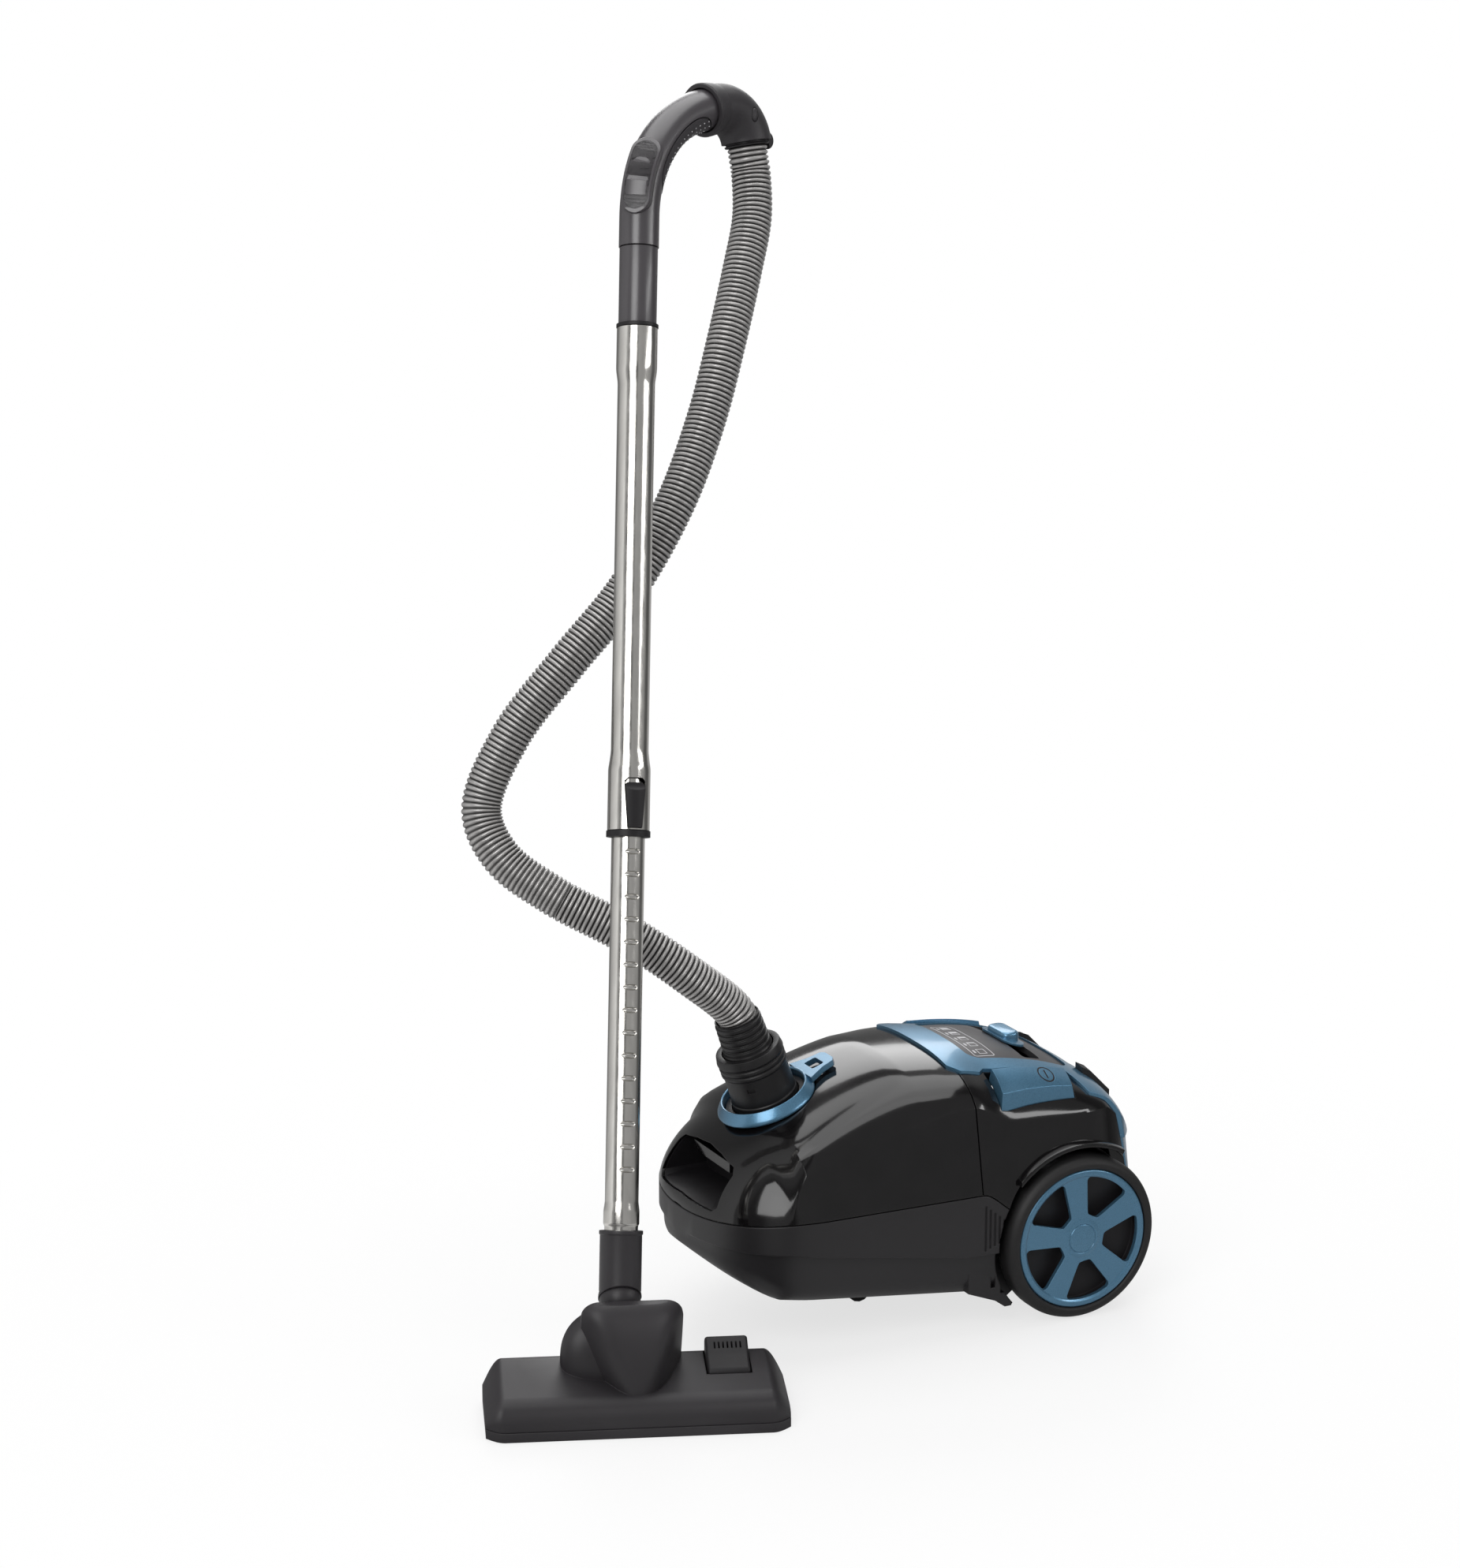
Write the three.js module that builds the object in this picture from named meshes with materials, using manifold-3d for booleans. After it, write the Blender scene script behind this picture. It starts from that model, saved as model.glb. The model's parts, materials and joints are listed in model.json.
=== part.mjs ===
// Canister vacuum cleaner with hose, telescopic tube and combination floor head.
// Millimetres, +Z up, the floor is Z = 0. The canister lies along X with its nose towards -X.
import * as THREE from 'three';
import { mergeVertices } from 'three/addons/utils/BufferGeometryUtils.js';
import Module from 'manifold-3d';

const wasm = await Module();
wasm.setup();

// ---------- driving dimensions ----------

const GAP = 0.35;                  // between neighbouring pieces
const RUN = 0.6;                   // around pieces that turn or slide

// where the two standing groups are
const CANISTER_AT = { x: 266, y: -6 };        // floor point under the rear axle
const HEAD_AT = { x: -242.8, y: -208.6 };    // floor point under the middle of the head's front edge
const HEAD_TURN = -21;                       // degrees about Z

// canister body
const NOSE_X = -372;
const TAIL_X = 102;
const BODY_HALF_WIDTH = 128;
const BODY_FLARE = 7;              // wider again over the rear wheels
const NOSE_LENGTH = 104;
const TAIL_LENGTH = 98;
const RIDGE_Z = 262;
const RIDGE_X = -165;
const NOSE_Z = 135;
const TAIL_Z = 60;
const SEAM_Z = 143;                // black upper shells over the matte chassis
const SEAM_DROP = 23;              // the seam falls ahead of the wheels
const SEAM_NOSE_DROP = 9;          // and a little round the nose
const SHELL = 3;
const GRIP_BACK_X = -308;          // back wall of the pocket in the nose
const LID_REAR_X = -109;
const FLOOR_Z = 34;                // underside of the chassis, rising towards the nose
const FLOOR_RISE = 22;
const SKIRT_INSET = 7;

// wheels
const WHEEL_RADIUS = 83;
const WHEEL_WIDTH = 30;
const WHEEL_FACE_Y = 141;
const RIM_RADIUS = 70.5;
const WELL_RADIUS = 91;
const WELL_Y = 104;
const AXLE_RADIUS = 5;
const SPOKES = 5;
const SPOKE_TURN = 44;              // of the first spoke, from the vertical
const HUB_RADIUS = 14;
const WHEEL_SIDES = 24;

// caster
const CASTER_X = -184;
const CASTER_RADIUS = 13;
const CASTER_SEAT_Z = 35;
const CASTER_WIDTH = 14;
const CASTER_TRAIL = 10;

// hose inlet
const INLET = { x: -275, z: 223 };
const INLET_LEAN = 20;             // degrees, towards the nose
const SOCKET_RADIUS = 37;
const SOCKET_LIP = 3.6;
const RING_RADIUS = 45.5;
const CUFF_RADIUS = 33;
const CUFF_LENGTH = 56;
const SLEEVE_RADIUS = 24;
const SLEEVE_LENGTH = 38;

// controls
const PANEL_HALF = 77;
const PANEL = { front: -117, halfFront: PANEL_HALF + 5, half: PANEL_HALF, rear: PANEL_HALF + 26,
  top: 3, bed: 5, deck: 6.9 };
const INSET = { front: -84, rear: 26, halfFront: PANEL_HALF - 17, halfRear: PANEL_HALF - 11, top: 1 };
const SLOT = { x: -12, width: 20, halfLength: 56 };
const SLIDER_HALF = 31;
const PEDAL_GAP = 2;               // between a pedal and the control frame
const PEDAL_WIDTH = 32;
const PEDAL = { front: -80, rear: 12, inner: PANEL.half + PEDAL_GAP,
  outer: PANEL.half + PEDAL_GAP + PEDAL_WIDTH, height: 8, slant: 7 };
const GRILLE = { front: 37, half: 44, low: 172, louvres: 9, slit: 3 };
const REAR_PANEL = { top: 165, bottom: 128 };
const PARKING_FOOT = { x: 56, length: 32, y: 60, width: 13, height: 6 };

// inside the canister
const MOTOR = { x0: -104, x1: 15, z: 100, radius: 50 };
const REEL = { x: 52, z: 82, radius: 33, half: 26, drum: 17 };
const BULKHEAD_X = -110;

// hose
const HOSE_RADIUS = 19.5;
const HOSE_SPLIT = 0.775;          // share of its length from the handle to the resting point
const HOSE_ROUTE = [               // free points between the handle and the canister
  [84.5, 213.9, 1050], [64, 194, 1002], [33.9, 168.1, 938], [1.9, 147, 868], [-42, 126, 792],
  [-98, 118, 714], [-161, 117, 650], [-218.7, 122.4, 582], [-250, 121, 514], [-240.3, 98.7, 473],
  [-201.7, 66.5, 438], [-139.7, 27.5, 400], [-89.5, 2, 361],
];

// telescopic tube, its axis starting at the rim of the neck
const TUBE_AT = { x: -217.7, y: -117.1, z: 165.5 };
const TUBE_AXIS = { x: 0.162, y: 0.288, z: 0.944 };
const TUBE_FRONT = { x: -0.1495, y: -0.9888 };
const TUBE_WALL = 1.2;
const INNER_RADIUS = 15.6;
const OUTER_RADIUS = 17.6;
const LOCK_RADIUS = 19.8;
const OUTER_START = 364;           // lower end of the outer tube
const OUTER_END = 844;
const LOCK_LENGTH = 58;
const INNER_OVERLAP = 70;
const DETENTS = 15;
const DETENT_PITCH = 21;
const NECK_RADIUS = 19.6;
const LOCK_TRAVEL = 4;             // of the lock button, up the tube

// handle
const HANDLE_TURN = 29;            // degrees about the tube
const HANDLE_RADIUS = 18;
const HANDLE_TUBE = 77;            // length of the lower handle tube
const GRIP_RADIUS = 19;
const GRIP_TWIST = 31;             // the grip's front, turned from the outside of the bend
const HANDLE_STRAIGHT = 107;       // to where the bend starts
const BEND_RADIUS = 126;
const BEND_ANGLE = 77;
const ELBOW_RADIUS = 24.5;
const ELBOW_REACH = 12;            // straight stretch before the elbow's own bend
const ELBOW_BEND = 34;
const ELBOW_END = 166;             // degrees turned in all where the hose leaves
const SWIVEL_LIP = 4;              // of the hose's collar, below the elbow

// floor head
const HEAD_WIDTH = 280;
const HEAD_DEPTH = 104;
const HEAD_HEIGHT = 47;
const SOLE_HEIGHT = 9;
const COWL_STEPS = 5;
const DRUM = { y: 72, z: 48, radius: 29, half: 27 };
const BARREL = { radius: 44, left: 56, right: 50 };
const COWL = { x: 10, half: 47, front: 14.5, ridge: 50, rear: 88, low: 36, top: 113, crown: 116 };
const NECK_DROP = 62;              // from the neck's rim to the swivel plane
const SWIVEL_LEAN = 50;            // degrees from the vertical, backwards
const BALL_RADIUS = 19.4;
const ROCKER = { x: 86.5, width: 40, y0: 45, y1: 87 };
const BRUSH = { front: 12, rear: 44, thick: 4, half: 112, drop: 4.5 };
const MOUTH = { y0: 19, y1: 37, half: 108 };
const ROLLER = { x: 108, y: 88, radius: 7, width: 13 };

const rad = THREE.MathUtils.degToRad;
const clamp01 = (t) => Math.min(1, Math.max(0, t));

// ---------- materials ----------

const finish = (color, roughness, metalness = 0) =>
  new THREE.MeshStandardMaterial({ color, roughness, metalness });
const GLOSS_BLACK = finish('#141214', 0.08);
const MATTE_BLACK = finish('#2b2a2c', 0.6);
const SATIN_GREY = finish('#383639', 0.45);
const BLUE = finish('#44809f', 0.3, 0.6);
const PANEL_GREY = finish('#55555a', 0.4);
const CHROME = finish('#c9c3ba', 0.12, 1);
const STEEL = finish('#9a9a9c', 0.35, 1);
const RUBBER = finish('#19191a', 0.85);
const HOSE_GREY = finish('#8d8f92', 0.35, 0.3);
const WHITE_FELT = finish('#dcdad2', 0.95);
const CARD = finish('#b9a583', 0.9);
const GREEN = finish('#2c6b45', 0.5);
const BRISTLE = finish('#222222', 0.9);

// ---------- solid helpers ----------

/** A manifold solid from a closed three.js geometry. */
function solid(geometry) {
  const bare = new THREE.BufferGeometry();
  bare.setAttribute('position', geometry.getAttribute('position').clone());
  if (geometry.index) bare.setIndex(geometry.index.clone());
  const merged = mergeVertices(bare, 1e-4);
  const index = merged.index.array;
  const kept = [];
  for (let i = 0; i < index.length; i += 3) {
    const [a, b, c] = [index[i], index[i + 1], index[i + 2]];
    if (a !== b && b !== c && c !== a) kept.push(a, b, c);
  }
  const made = new wasm.Manifold(new wasm.Mesh({
    numProp: 3,
    vertProperties: new Float32Array(merged.getAttribute('position').array),
    triVerts: new Uint32Array(kept),
  }));
  return made;
}

const join = (first, ...others) => others.reduce((a, b) => a.add(b), first);
const cut = (first, ...others) => others.reduce((a, b) => a.subtract(b), first);
const common = (first, ...others) => others.reduce((a, b) => a.intersect(b), first);

/** The three.js geometry of a solid, with flat faces. */
function geometryOf(body) {
  const mesh = body.getMesh();
  const geometry = new THREE.BufferGeometry();
  const stride = mesh.numProp;
  const points = new Float32Array(mesh.vertProperties.length / stride * 3);
  for (let i = 0; i < points.length / 3; i += 1) {
    for (let k = 0; k < 3; k += 1) points[3 * i + k] = mesh.vertProperties[stride * i + k];
  }
  geometry.setAttribute('position', new THREE.BufferAttribute(points, 3));
  geometry.setIndex(new THREE.BufferAttribute(mesh.triVerts, 1));
  geometry.computeVertexNormals();
  return geometry;
}

/** Adds one named sub-part to a group. */
function addPart(group, name, body, material) {
  const mesh = new THREE.Mesh(geometryOf(body), material);
  mesh.name = name;
  group.add(mesh);
  return mesh;
}

/** Box between two corners. */
function box(x0, x1, y0, y1, z0, z1) {
  const geometry = new THREE.BoxGeometry(x1 - x0, y1 - y0, z1 - z0);
  return solid(geometry.translate((x0 + x1) / 2, (y0 + y1) / 2, (z0 + z1) / 2));
}

/** Body of revolution about Z from points [radius, z]. */
function revolve(points, sides = 20) {
  const profile = points.map(([r, z]) => new THREE.Vector2(r, z));
  const geometry = new THREE.LatheGeometry(profile, sides);
  const body = solid(geometry.rotateX(Math.PI / 2));
  return body.volume() < 0 ? solid(flipped(geometry)) : body;
}

function flipped(geometry) {
  const index = geometry.index.array;
  for (let i = 0; i < index.length; i += 3) [index[i], index[i + 1]] = [index[i + 1], index[i]];
  return geometry;
}

const rod = (radius, z0, z1, sides = 12) =>
  revolve([[0, z0], [radius, z0], [radius, z1], [0, z1]], sides);

const pipe = (inner, outer, z0, z1, sides = 20) =>
  revolve([[inner, z0], [outer, z0], [outer, z1], [inner, z1], [inner, z0]], sides);

/** Turns a body made about Z so that it lies along X or Y. */
const alongX = (body) => body.rotate([0, 90, 0]);
const alongY = (body) => body.rotate([-90, 0, 0]);

/** Prism standing on an outline of [x, y] points. */
function prism(outline, z0, z1) {
  const shape = new THREE.Shape(outline.map(([x, y]) => new THREE.Vector2(x, y)));
  const geometry = new THREE.ExtrudeGeometry(shape, { depth: z1 - z0, bevelEnabled: false });
  return solid(geometry.translate(0, 0, z0));
}

/** Prism along X on an outline of [y, z] points. */
const prismX = (outline, x0, x1) =>
  prism(outline, x0, x1).transform([0, 1, 0, 0, 0, 0, 1, 0, 1, 0, 0, 0, 0, 0, 0, 1]);

/** Prism along Y on an outline of [x, z] points. */
const prismY = (outline, y0, y1) =>
  prism(outline, -y1, -y0).rotate([90, 0, 0]);

/** Outline of a rectangle with round corners. */
function roundedRect(x0, x1, y0, y1, radius, steps = 4) {
  const corners = [[x1 - radius, y1 - radius, 0], [x0 + radius, y1 - radius, 90],
    [x0 + radius, y0 + radius, 180], [x1 - radius, y0 + radius, 270]];
  return corners.flatMap(([x, y, start]) => arc(x, y, radius, start, start + 90, steps));
}

/** Points on an arc, angles in degrees. */
function arc(x, y, radius, from, to, steps) {
  return Array.from({ length: steps + 1 }, (_, i) => {
    const a = rad(from + (to - from) * i / steps);
    return [x + radius * Math.cos(a), y + radius * Math.sin(a)];
  });
}

/** Closed body through rings of Vector3 with equal counts, its ends capped from their middles. */
function loft(rings) {
  const count = rings[0].length;
  const positions = rings.flat().flatMap((p) => [p.x, p.y, p.z]);
  const index = [];
  for (let r = 0; r + 1 < rings.length; r += 1) {
    for (let i = 0; i < count; i += 1) {
      const a = r * count + i;
      const b = r * count + (i + 1) % count;
      index.push(a, b, a + count, b, b + count, a + count);
    }
  }
  [0, rings.length - 1].forEach((r) => {
    const middle = new THREE.Vector3();
    rings[r].forEach((p) => middle.addScaledVector(p, 1 / count));
    const centre = positions.length / 3;
    positions.push(middle.x, middle.y, middle.z);
    for (let i = 0; i < count; i += 1) {
      const a = r * count + i;
      const b = r * count + (i + 1) % count;
      if (r === 0) index.push(b, a, centre);
      else index.push(a, b, centre);
    }
  });
  const geometry = new THREE.BufferGeometry();
  geometry.setAttribute('position', new THREE.Float32BufferAttribute(positions, 3));
  geometry.setIndex(index);
  const body = solid(geometry);
  return body.volume() < 0 ? solid(flipped(geometry)) : body;
}

/** Body swept along an arc in the XZ plane that starts at the origin going up and bends to +X.
 *  section(angle) gives the ring as [outwards, sideways] points; outwards is away from the centre. */
function bentBody(bend, from, to, steps, section, spread = (t) => t) {
  const rings = [];
  for (let i = 0; i <= steps; i += 1) {
    const angle = from + (to - from) * spread(i / steps);
    const a = rad(angle);
    rings.push(section(angle).map(([out, side]) => {
      const r = bend + out;
      return new THREE.Vector3(bend - r * Math.cos(a), side, r * Math.sin(a));
    }));
  }
  return loft(rings);
}

const circle = (radius, sides = 20) =>
  Array.from({ length: sides }, (_, i) => {
    const a = 2 * Math.PI * i / sides;
    return [radius * Math.cos(a), radius * Math.sin(a)];
  });

// ---------- the canister's outer form ----------

/** Half the width at x, for a form drawn in by inset. */
function halfWidth(x, inset = 0) {
  const noseStart = NOSE_X + NOSE_LENGTH;
  const tailStart = TAIL_X - TAIL_LENGTH;
  const straight = BODY_HALF_WIDTH - inset + BODY_FLARE * clamp01((x - noseStart) / 220);
  if (x < noseStart) {
    const u = clamp01((noseStart - x) / (NOSE_LENGTH - inset));
    return (BODY_HALF_WIDTH - inset) * (1 - u ** 2.2) ** (1 / 2.2);
  }
  const u = clamp01((x - tailStart) / (TAIL_LENGTH - inset));
  return straight * (1 - u ** 2.2) ** (1 / 2.2);
}

/** Height of the ridge line at x. */
function ridge(x, inset = 0) {
  if (x < RIDGE_X) {
    const u = clamp01((RIDGE_X - x) / (RIDGE_X - NOSE_X - inset));
    return NOSE_Z + (RIDGE_Z - inset - NOSE_Z) * (1 - u ** 1.25) ** (1 / 1.9);
  }
  const u = clamp01((x - RIDGE_X) / (TAIL_X - inset - RIDGE_X));
  return TAIL_Z + (RIDGE_Z - inset - TAIL_Z) * (1 - u ** 3) ** (1 / 3);
}

/** Height of the seam between the upper shells and the chassis. */
function seam(x) {
  const t = clamp01((x - LID_REAR_X) / 40);
  const nose = clamp01((NOSE_X + 82 - x) / 82);
  return SEAM_Z - SEAM_DROP * t * t * (3 - 2 * t) - SEAM_NOSE_DROP * nose ** 1.5;
}

/** Height of the crease between the flat side and the domed roof. */
function crease(x, inset = 0) {
  const noseCorner = NOSE_X + 62;
  const start = clamp01((x - noseCorner) / 22);
  const climb = 48 * (1 - (1 - start) ** 2) + 36 * clamp01((x - noseCorner - 22) / 160);
  const cap = ridge(x, inset) - 18 * clamp01((x - noseCorner + 14) / 60) - 2;
  return Math.min(seam(x) + climb, cap);
}

const ROOF_START = rad(20);
const roofPower = (v) => v ** (2 / 2.6);

/** Upper half of a cross-section, as [y, z] from the near side over the roof to the far side. */
function upperSection(x, inset, base) {
  const width = Math.max(halfWidth(x, inset), 2);
  const low = base(x);
  const fold = Math.max(crease(x, inset), seam(x) + 1);
  const shoulder = Math.max(width - 0.2 * (fold - seam(x)), 1);
  const top = Math.max(ridge(x, inset), fold + 1);
  const across = shoulder / roofPower(Math.cos(ROOF_START));
  const rise = (top - fold) / (1 - roofPower(Math.sin(ROOF_START)));
  const middle = top - rise;
  const half = [];
  const steps = 4;
  for (let i = 0; i <= steps; i += 1) {
    const a = ROOF_START + (Math.PI / 2 - ROOF_START) * i / steps;
    half.push([across * roofPower(Math.max(Math.cos(a), 0)), middle + rise * roofPower(Math.sin(a))]);
  }
  const edge = [width, Math.max(low + 0.1, seam(x) + GAP)];
  const near = [[-width, low], [-edge[0], edge[1]], ...half.map(([y, z]) => [-y, z])];
  const far = [...half.slice(0, steps).reverse(), edge, [width, low]];
  return [...near, ...far];
}

/** Stations along X, closer together where the nose and the tail turn round. */
function stations(inset) {
  const front = NOSE_X + inset;
  const back = TAIL_X - inset;
  const nose = Array.from({ length: 6 }, (_, i) =>
    front + 0.4 + (RIDGE_X - front) * (1 - Math.cos(Math.PI / 2 * (i / 6) ** 1.15)));
  const middle = [RIDGE_X, LID_REAR_X, -70, -30];
  const tail = Array.from({ length: 5 }, (_, i) =>
    12 + (back - 0.4 - 12) * Math.sin(Math.PI / 2 * i / 4));
  return [...nose, ...middle, ...tail];
}

/** The whole upper form, drawn in by inset (drawn out where negative), down to base(x). */
function upperForm(inset, base = (x) => seam(x) + GAP) {
  return loft(stations(inset).map((x) =>
    upperSection(x, inset, base).map(([y, z]) => new THREE.Vector3(x, y, z))));
}

/** Underside of the chassis at x: level, then rising to the nose and a little to the tail. */
function keel(x) {
  const slope = FLOOR_RISE * clamp01((BULKHEAD_X - x) / 190);
  const front = 42 * clamp01((NOSE_X + 66 - x) / 66) ** 1.3;
  const back = 26 * clamp01((x - 62) / 46) ** 1.5;
  return FLOOR_Z + slope + front + back;
}

/** Lower edge of the chassis band, falling towards the wheels. */
const band = (x) => 112 - 30 * clamp01((x - NOSE_X - 66) / 180);

/** Chassis cross-section as [y, z], inset drawing in the walls and lifting the floor. */
function lowerSection(x, inset, top) {
  const width = Math.max(halfWidth(x, inset > 0 ? inset : 0), 6);
  const floor = Math.min(keel(x) + (inset > 0 ? SHELL : 0), top(x) - 6);
  const edge = Math.max(Math.min(band(x), top(x) - 3), floor + 4);
  const tub = Math.max(width - (inset > 0 ? 0 : SKIRT_INSET), 4);
  const drop = Math.min(26, (edge - floor) * 0.6);
  const half = [[width, top(x)], [width, edge], [tub, edge - 1], [tub - 4, floor + drop]];
  for (let i = 1; i <= 3; i += 1) {
    const a = rad(30 * i);
    half.push([Math.max(tub - 4 - drop * (1 - Math.cos(a)), 2), floor + drop * (1 - Math.sin(a))]);
  }
  return [...half, ...half.slice().reverse().map(([y, z]) => [-y, z])];
}

function lowerForm(inset, top) {
  return loft(stations(inset).map((x) =>
    lowerSection(x, inset, top).map(([y, z]) => new THREE.Vector3(x, y, z))));
}

/** Layer of the upper form between two offsets above its surface. */
const layer = (over, under) => cut(upperForm(-over), upperForm(-under, (x) => seam(x) - 20));

// ---------- shared cutters of the canister ----------

/** The cylinders in which the rear wheels stand. */
function wheelWells(radius = WELL_RADIUS, y = WELL_Y) {
  const well = alongY(rod(radius, 0, 60, 24));
  return join(well.translate([0, y, WHEEL_RADIUS]), well.translate([0, -y - 60, WHEEL_RADIUS]));
}

/** Outline of the blue panel seen from above, grown by extra. */
function panelOutline(extra = 0) {
  const side = (s) => [[PANEL.front - extra, s * (PANEL.halfFront - 12 + extra)],
    [PANEL.front + 10 - extra, s * (PANEL.halfFront + extra)],
    [PEDAL.front - 6, s * (PANEL.halfFront + extra)], [PEDAL.front, s * (PANEL.half + extra)],
    [PEDAL.rear + 2, s * (PANEL.half + extra)], [PEDAL.rear + 14, s * (PANEL.rear + extra)],
    [TAIL_X + 20, s * (PANEL.rear + extra)]];
  return [...side(-1), ...side(1).reverse()];
}

const panelColumn = (extra, z0 = REAR_PANEL.bottom - extra) => prism(panelOutline(extra), z0, 300);

const insetColumn = (extra) => prism([
  [INSET.front - extra, -INSET.halfFront + 8 - extra], [INSET.front + 8 - extra, -INSET.halfFront - extra],
  [INSET.rear - 8 + extra, -INSET.halfRear - extra], [INSET.rear + extra, -INSET.halfRear + 8 - extra],
  [INSET.rear + extra, INSET.halfRear - 8 + extra], [INSET.rear - 8 + extra, INSET.halfRear + extra],
  [INSET.front + 8 - extra, INSET.halfFront + extra], [INSET.front - extra, INSET.halfFront - 8 + extra],
], 150, 300);

const grilleColumn = (extra) => box(GRILLE.front - extra, TAIL_X + 10,
  -GRILLE.half - extra, GRILLE.half + extra, GRILLE.low - extra, 300);

function pedalOutline(side, extra) {
  const [y0, y1] = [PEDAL.inner - extra, PEDAL.outer + extra];
  const points = [[PEDAL.front - extra, y0], [PEDAL.rear + extra, y0],
    [PEDAL.rear + extra - 5, y1 - 4], [PEDAL.front - extra + 2, y1]];
  return side > 0 ? points : points.map(([x, y]) => [x, -y]).reverse();
}

// ---------- canister pieces ----------

/** Places a body made about Z on the tilted axis of the hose inlet. */
const onInlet = (body) => body.rotate([0, -INLET_LEAN, 0]).translate([INLET.x, 0, INLET.z]);

/** Front outline of the grip recess in the nose, as [y, z]. */
function gripOutline(extra = 0) {
  const half = [[54 + extra, 144 - extra], [60 + extra, 149], [58 + extra, 178], [52 + extra, 184 + extra],
    [26, 189 + extra]];
  return [[0, 147 - extra], ...half, [0, 191 + extra], ...half.slice().reverse().map(([y, z]) => [-y, z])];
}

function lidShell() {
  const shell = cut(upperForm(0), upperForm(SHELL, (x) => seam(x) - 20));
  const front = common(shell, box(NOSE_X - 10, LID_REAR_X - GAP, -200, 200, 0, 300));
  const flange = onInlet(pipe(SOCKET_RADIUS + 2, SOCKET_RADIUS + 8, -14, 2));
  const collar = common(flange, upperForm(0.5));
  const grip = prismX(gripOutline(), NOSE_X - 10, -300);
  const seat = onInlet(join(rod(SOCKET_RADIUS + 2 * GAP, -40, 60, 20), rod(RING_RADIUS + 2, 1, 60, 20)));
  return cut(join(front, collar), seat, grip, panelColumn(GAP));
}

/** Matte pocket behind the opening in the nose, open to the front. */
function gripPocket() {
  const block = prismX(gripOutline(SHELL), NOSE_X - 10, GRIP_BACK_X);
  const hollow = prismX(gripOutline(), NOSE_X - 20, GRIP_BACK_X - SHELL);
  return cut(common(block, upperForm(SHELL + GAP)), hollow);
}

function latchLever() {
  const x = GRIP_BACK_X - SHELL;
  const half = 38;
  const bar = box(x - 21, x - 3, -half, half, 179, 182);
  const lip = box(x - 24, x - 20, -half, half, 173, 183);
  const pin = alongY(rod(2.6, -half, half)).translate([x - 2.6 - GAP, 0, 180.5]);
  return join(bar, lip, pin);
}

function inletSocket() {
  const body = revolve([[SOCKET_RADIUS - 7, -26], [SOCKET_RADIUS - 3, -26], [SOCKET_RADIUS, -20],
    [SOCKET_RADIUS, 1], [SOCKET_RADIUS + SOCKET_LIP, 3], [SOCKET_RADIUS + SOCKET_LIP, 7],
    [CUFF_RADIUS + 0.8, 7], [CUFF_RADIUS + 0.8, -16], [SOCKET_RADIUS - 7, -18], [SOCKET_RADIUS - 7, -26]], 20);
  return onInlet(body);
}

/** Ring lever round the inlet with its rear tab and rectangular window. */
function inletRing() {
  const inner = SOCKET_RADIUS + SOCKET_LIP + RUN;
  const ring = revolve([[inner, 3], [RING_RADIUS - 1, 1.5], [RING_RADIUS + 1, 6],
    [RING_RADIUS - 0.5, 12], [inner + 1, 13.5], [inner, 12], [inner, 3]], 20);
  const tab = prism([[RING_RADIUS - 3, -23], [60, -15], [73, -13], [76, -8], [76, 8], [73, 13],
    [60, 15], [RING_RADIUS - 3, 23]], 7.5, 13.5);
  const window = box(52, 65, -9, 9, 0, 20);
  const bore = rod(inner + 0.2, 0, 20, 20);
  return onInlet(cut(join(ring, cut(tab, bore)), window));
}

/** Cuff that plugs into the inlet, with two grip ridges round it. */
function hoseCuff() {
  const r = CUFF_RADIUS;
  const top = 8 + CUFF_LENGTH;
  const body = revolve([[r - 5, -14], [r, -14], [r, 12], [r - 1, 13], [r - 1.5, top - 22], [r, top - 21],
    [r, top - 18], [r - 1.5, top - 17], [r, top - 15], [r, top - 12], [r - 1.5, top - 11],
    [r + 0.6, top - 8], [r - 1, top], [SLEEVE_RADIUS + 2, top], [SLEEVE_RADIUS + 2, top - 6],
    [r - 5, top - 10], [r - 5, -14]], 18);
  const slit = box(r - 3, r + 4, -4, 4, top - 34, top - 30).rotate([0, 0, -130]);
  return onInlet(cut(body, slit));
}

/** Ribbed bend relief between cuff and hose. */
function cuffSleeve() {
  const start = 8 + CUFF_LENGTH - 6 + GAP;
  const ribs = 5;
  const pitch = (SLEEVE_LENGTH - 6) / ribs;
  const outside = Array.from({ length: ribs }, (_, i) => {
    const z = start + 7 + pitch * i;
    const r = SLEEVE_RADIUS - 0.25 * i;
    return [[r, z], [r, z + pitch * 0.55], [r - 1.4, z + pitch * 0.75]];
  }).flat();
  const top = start + SLEEVE_LENGTH + 2;
  const bore = HOSE_RADIUS + 2 * RUN;
  return onInlet(revolve([[bore, start], [SLEEVE_RADIUS + 1, start], [SLEEVE_RADIUS + 1, start + 5],
    ...outside, [SLEEVE_RADIUS - 1.6, top], [bore, top], [bore, start]], 16));
}

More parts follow.
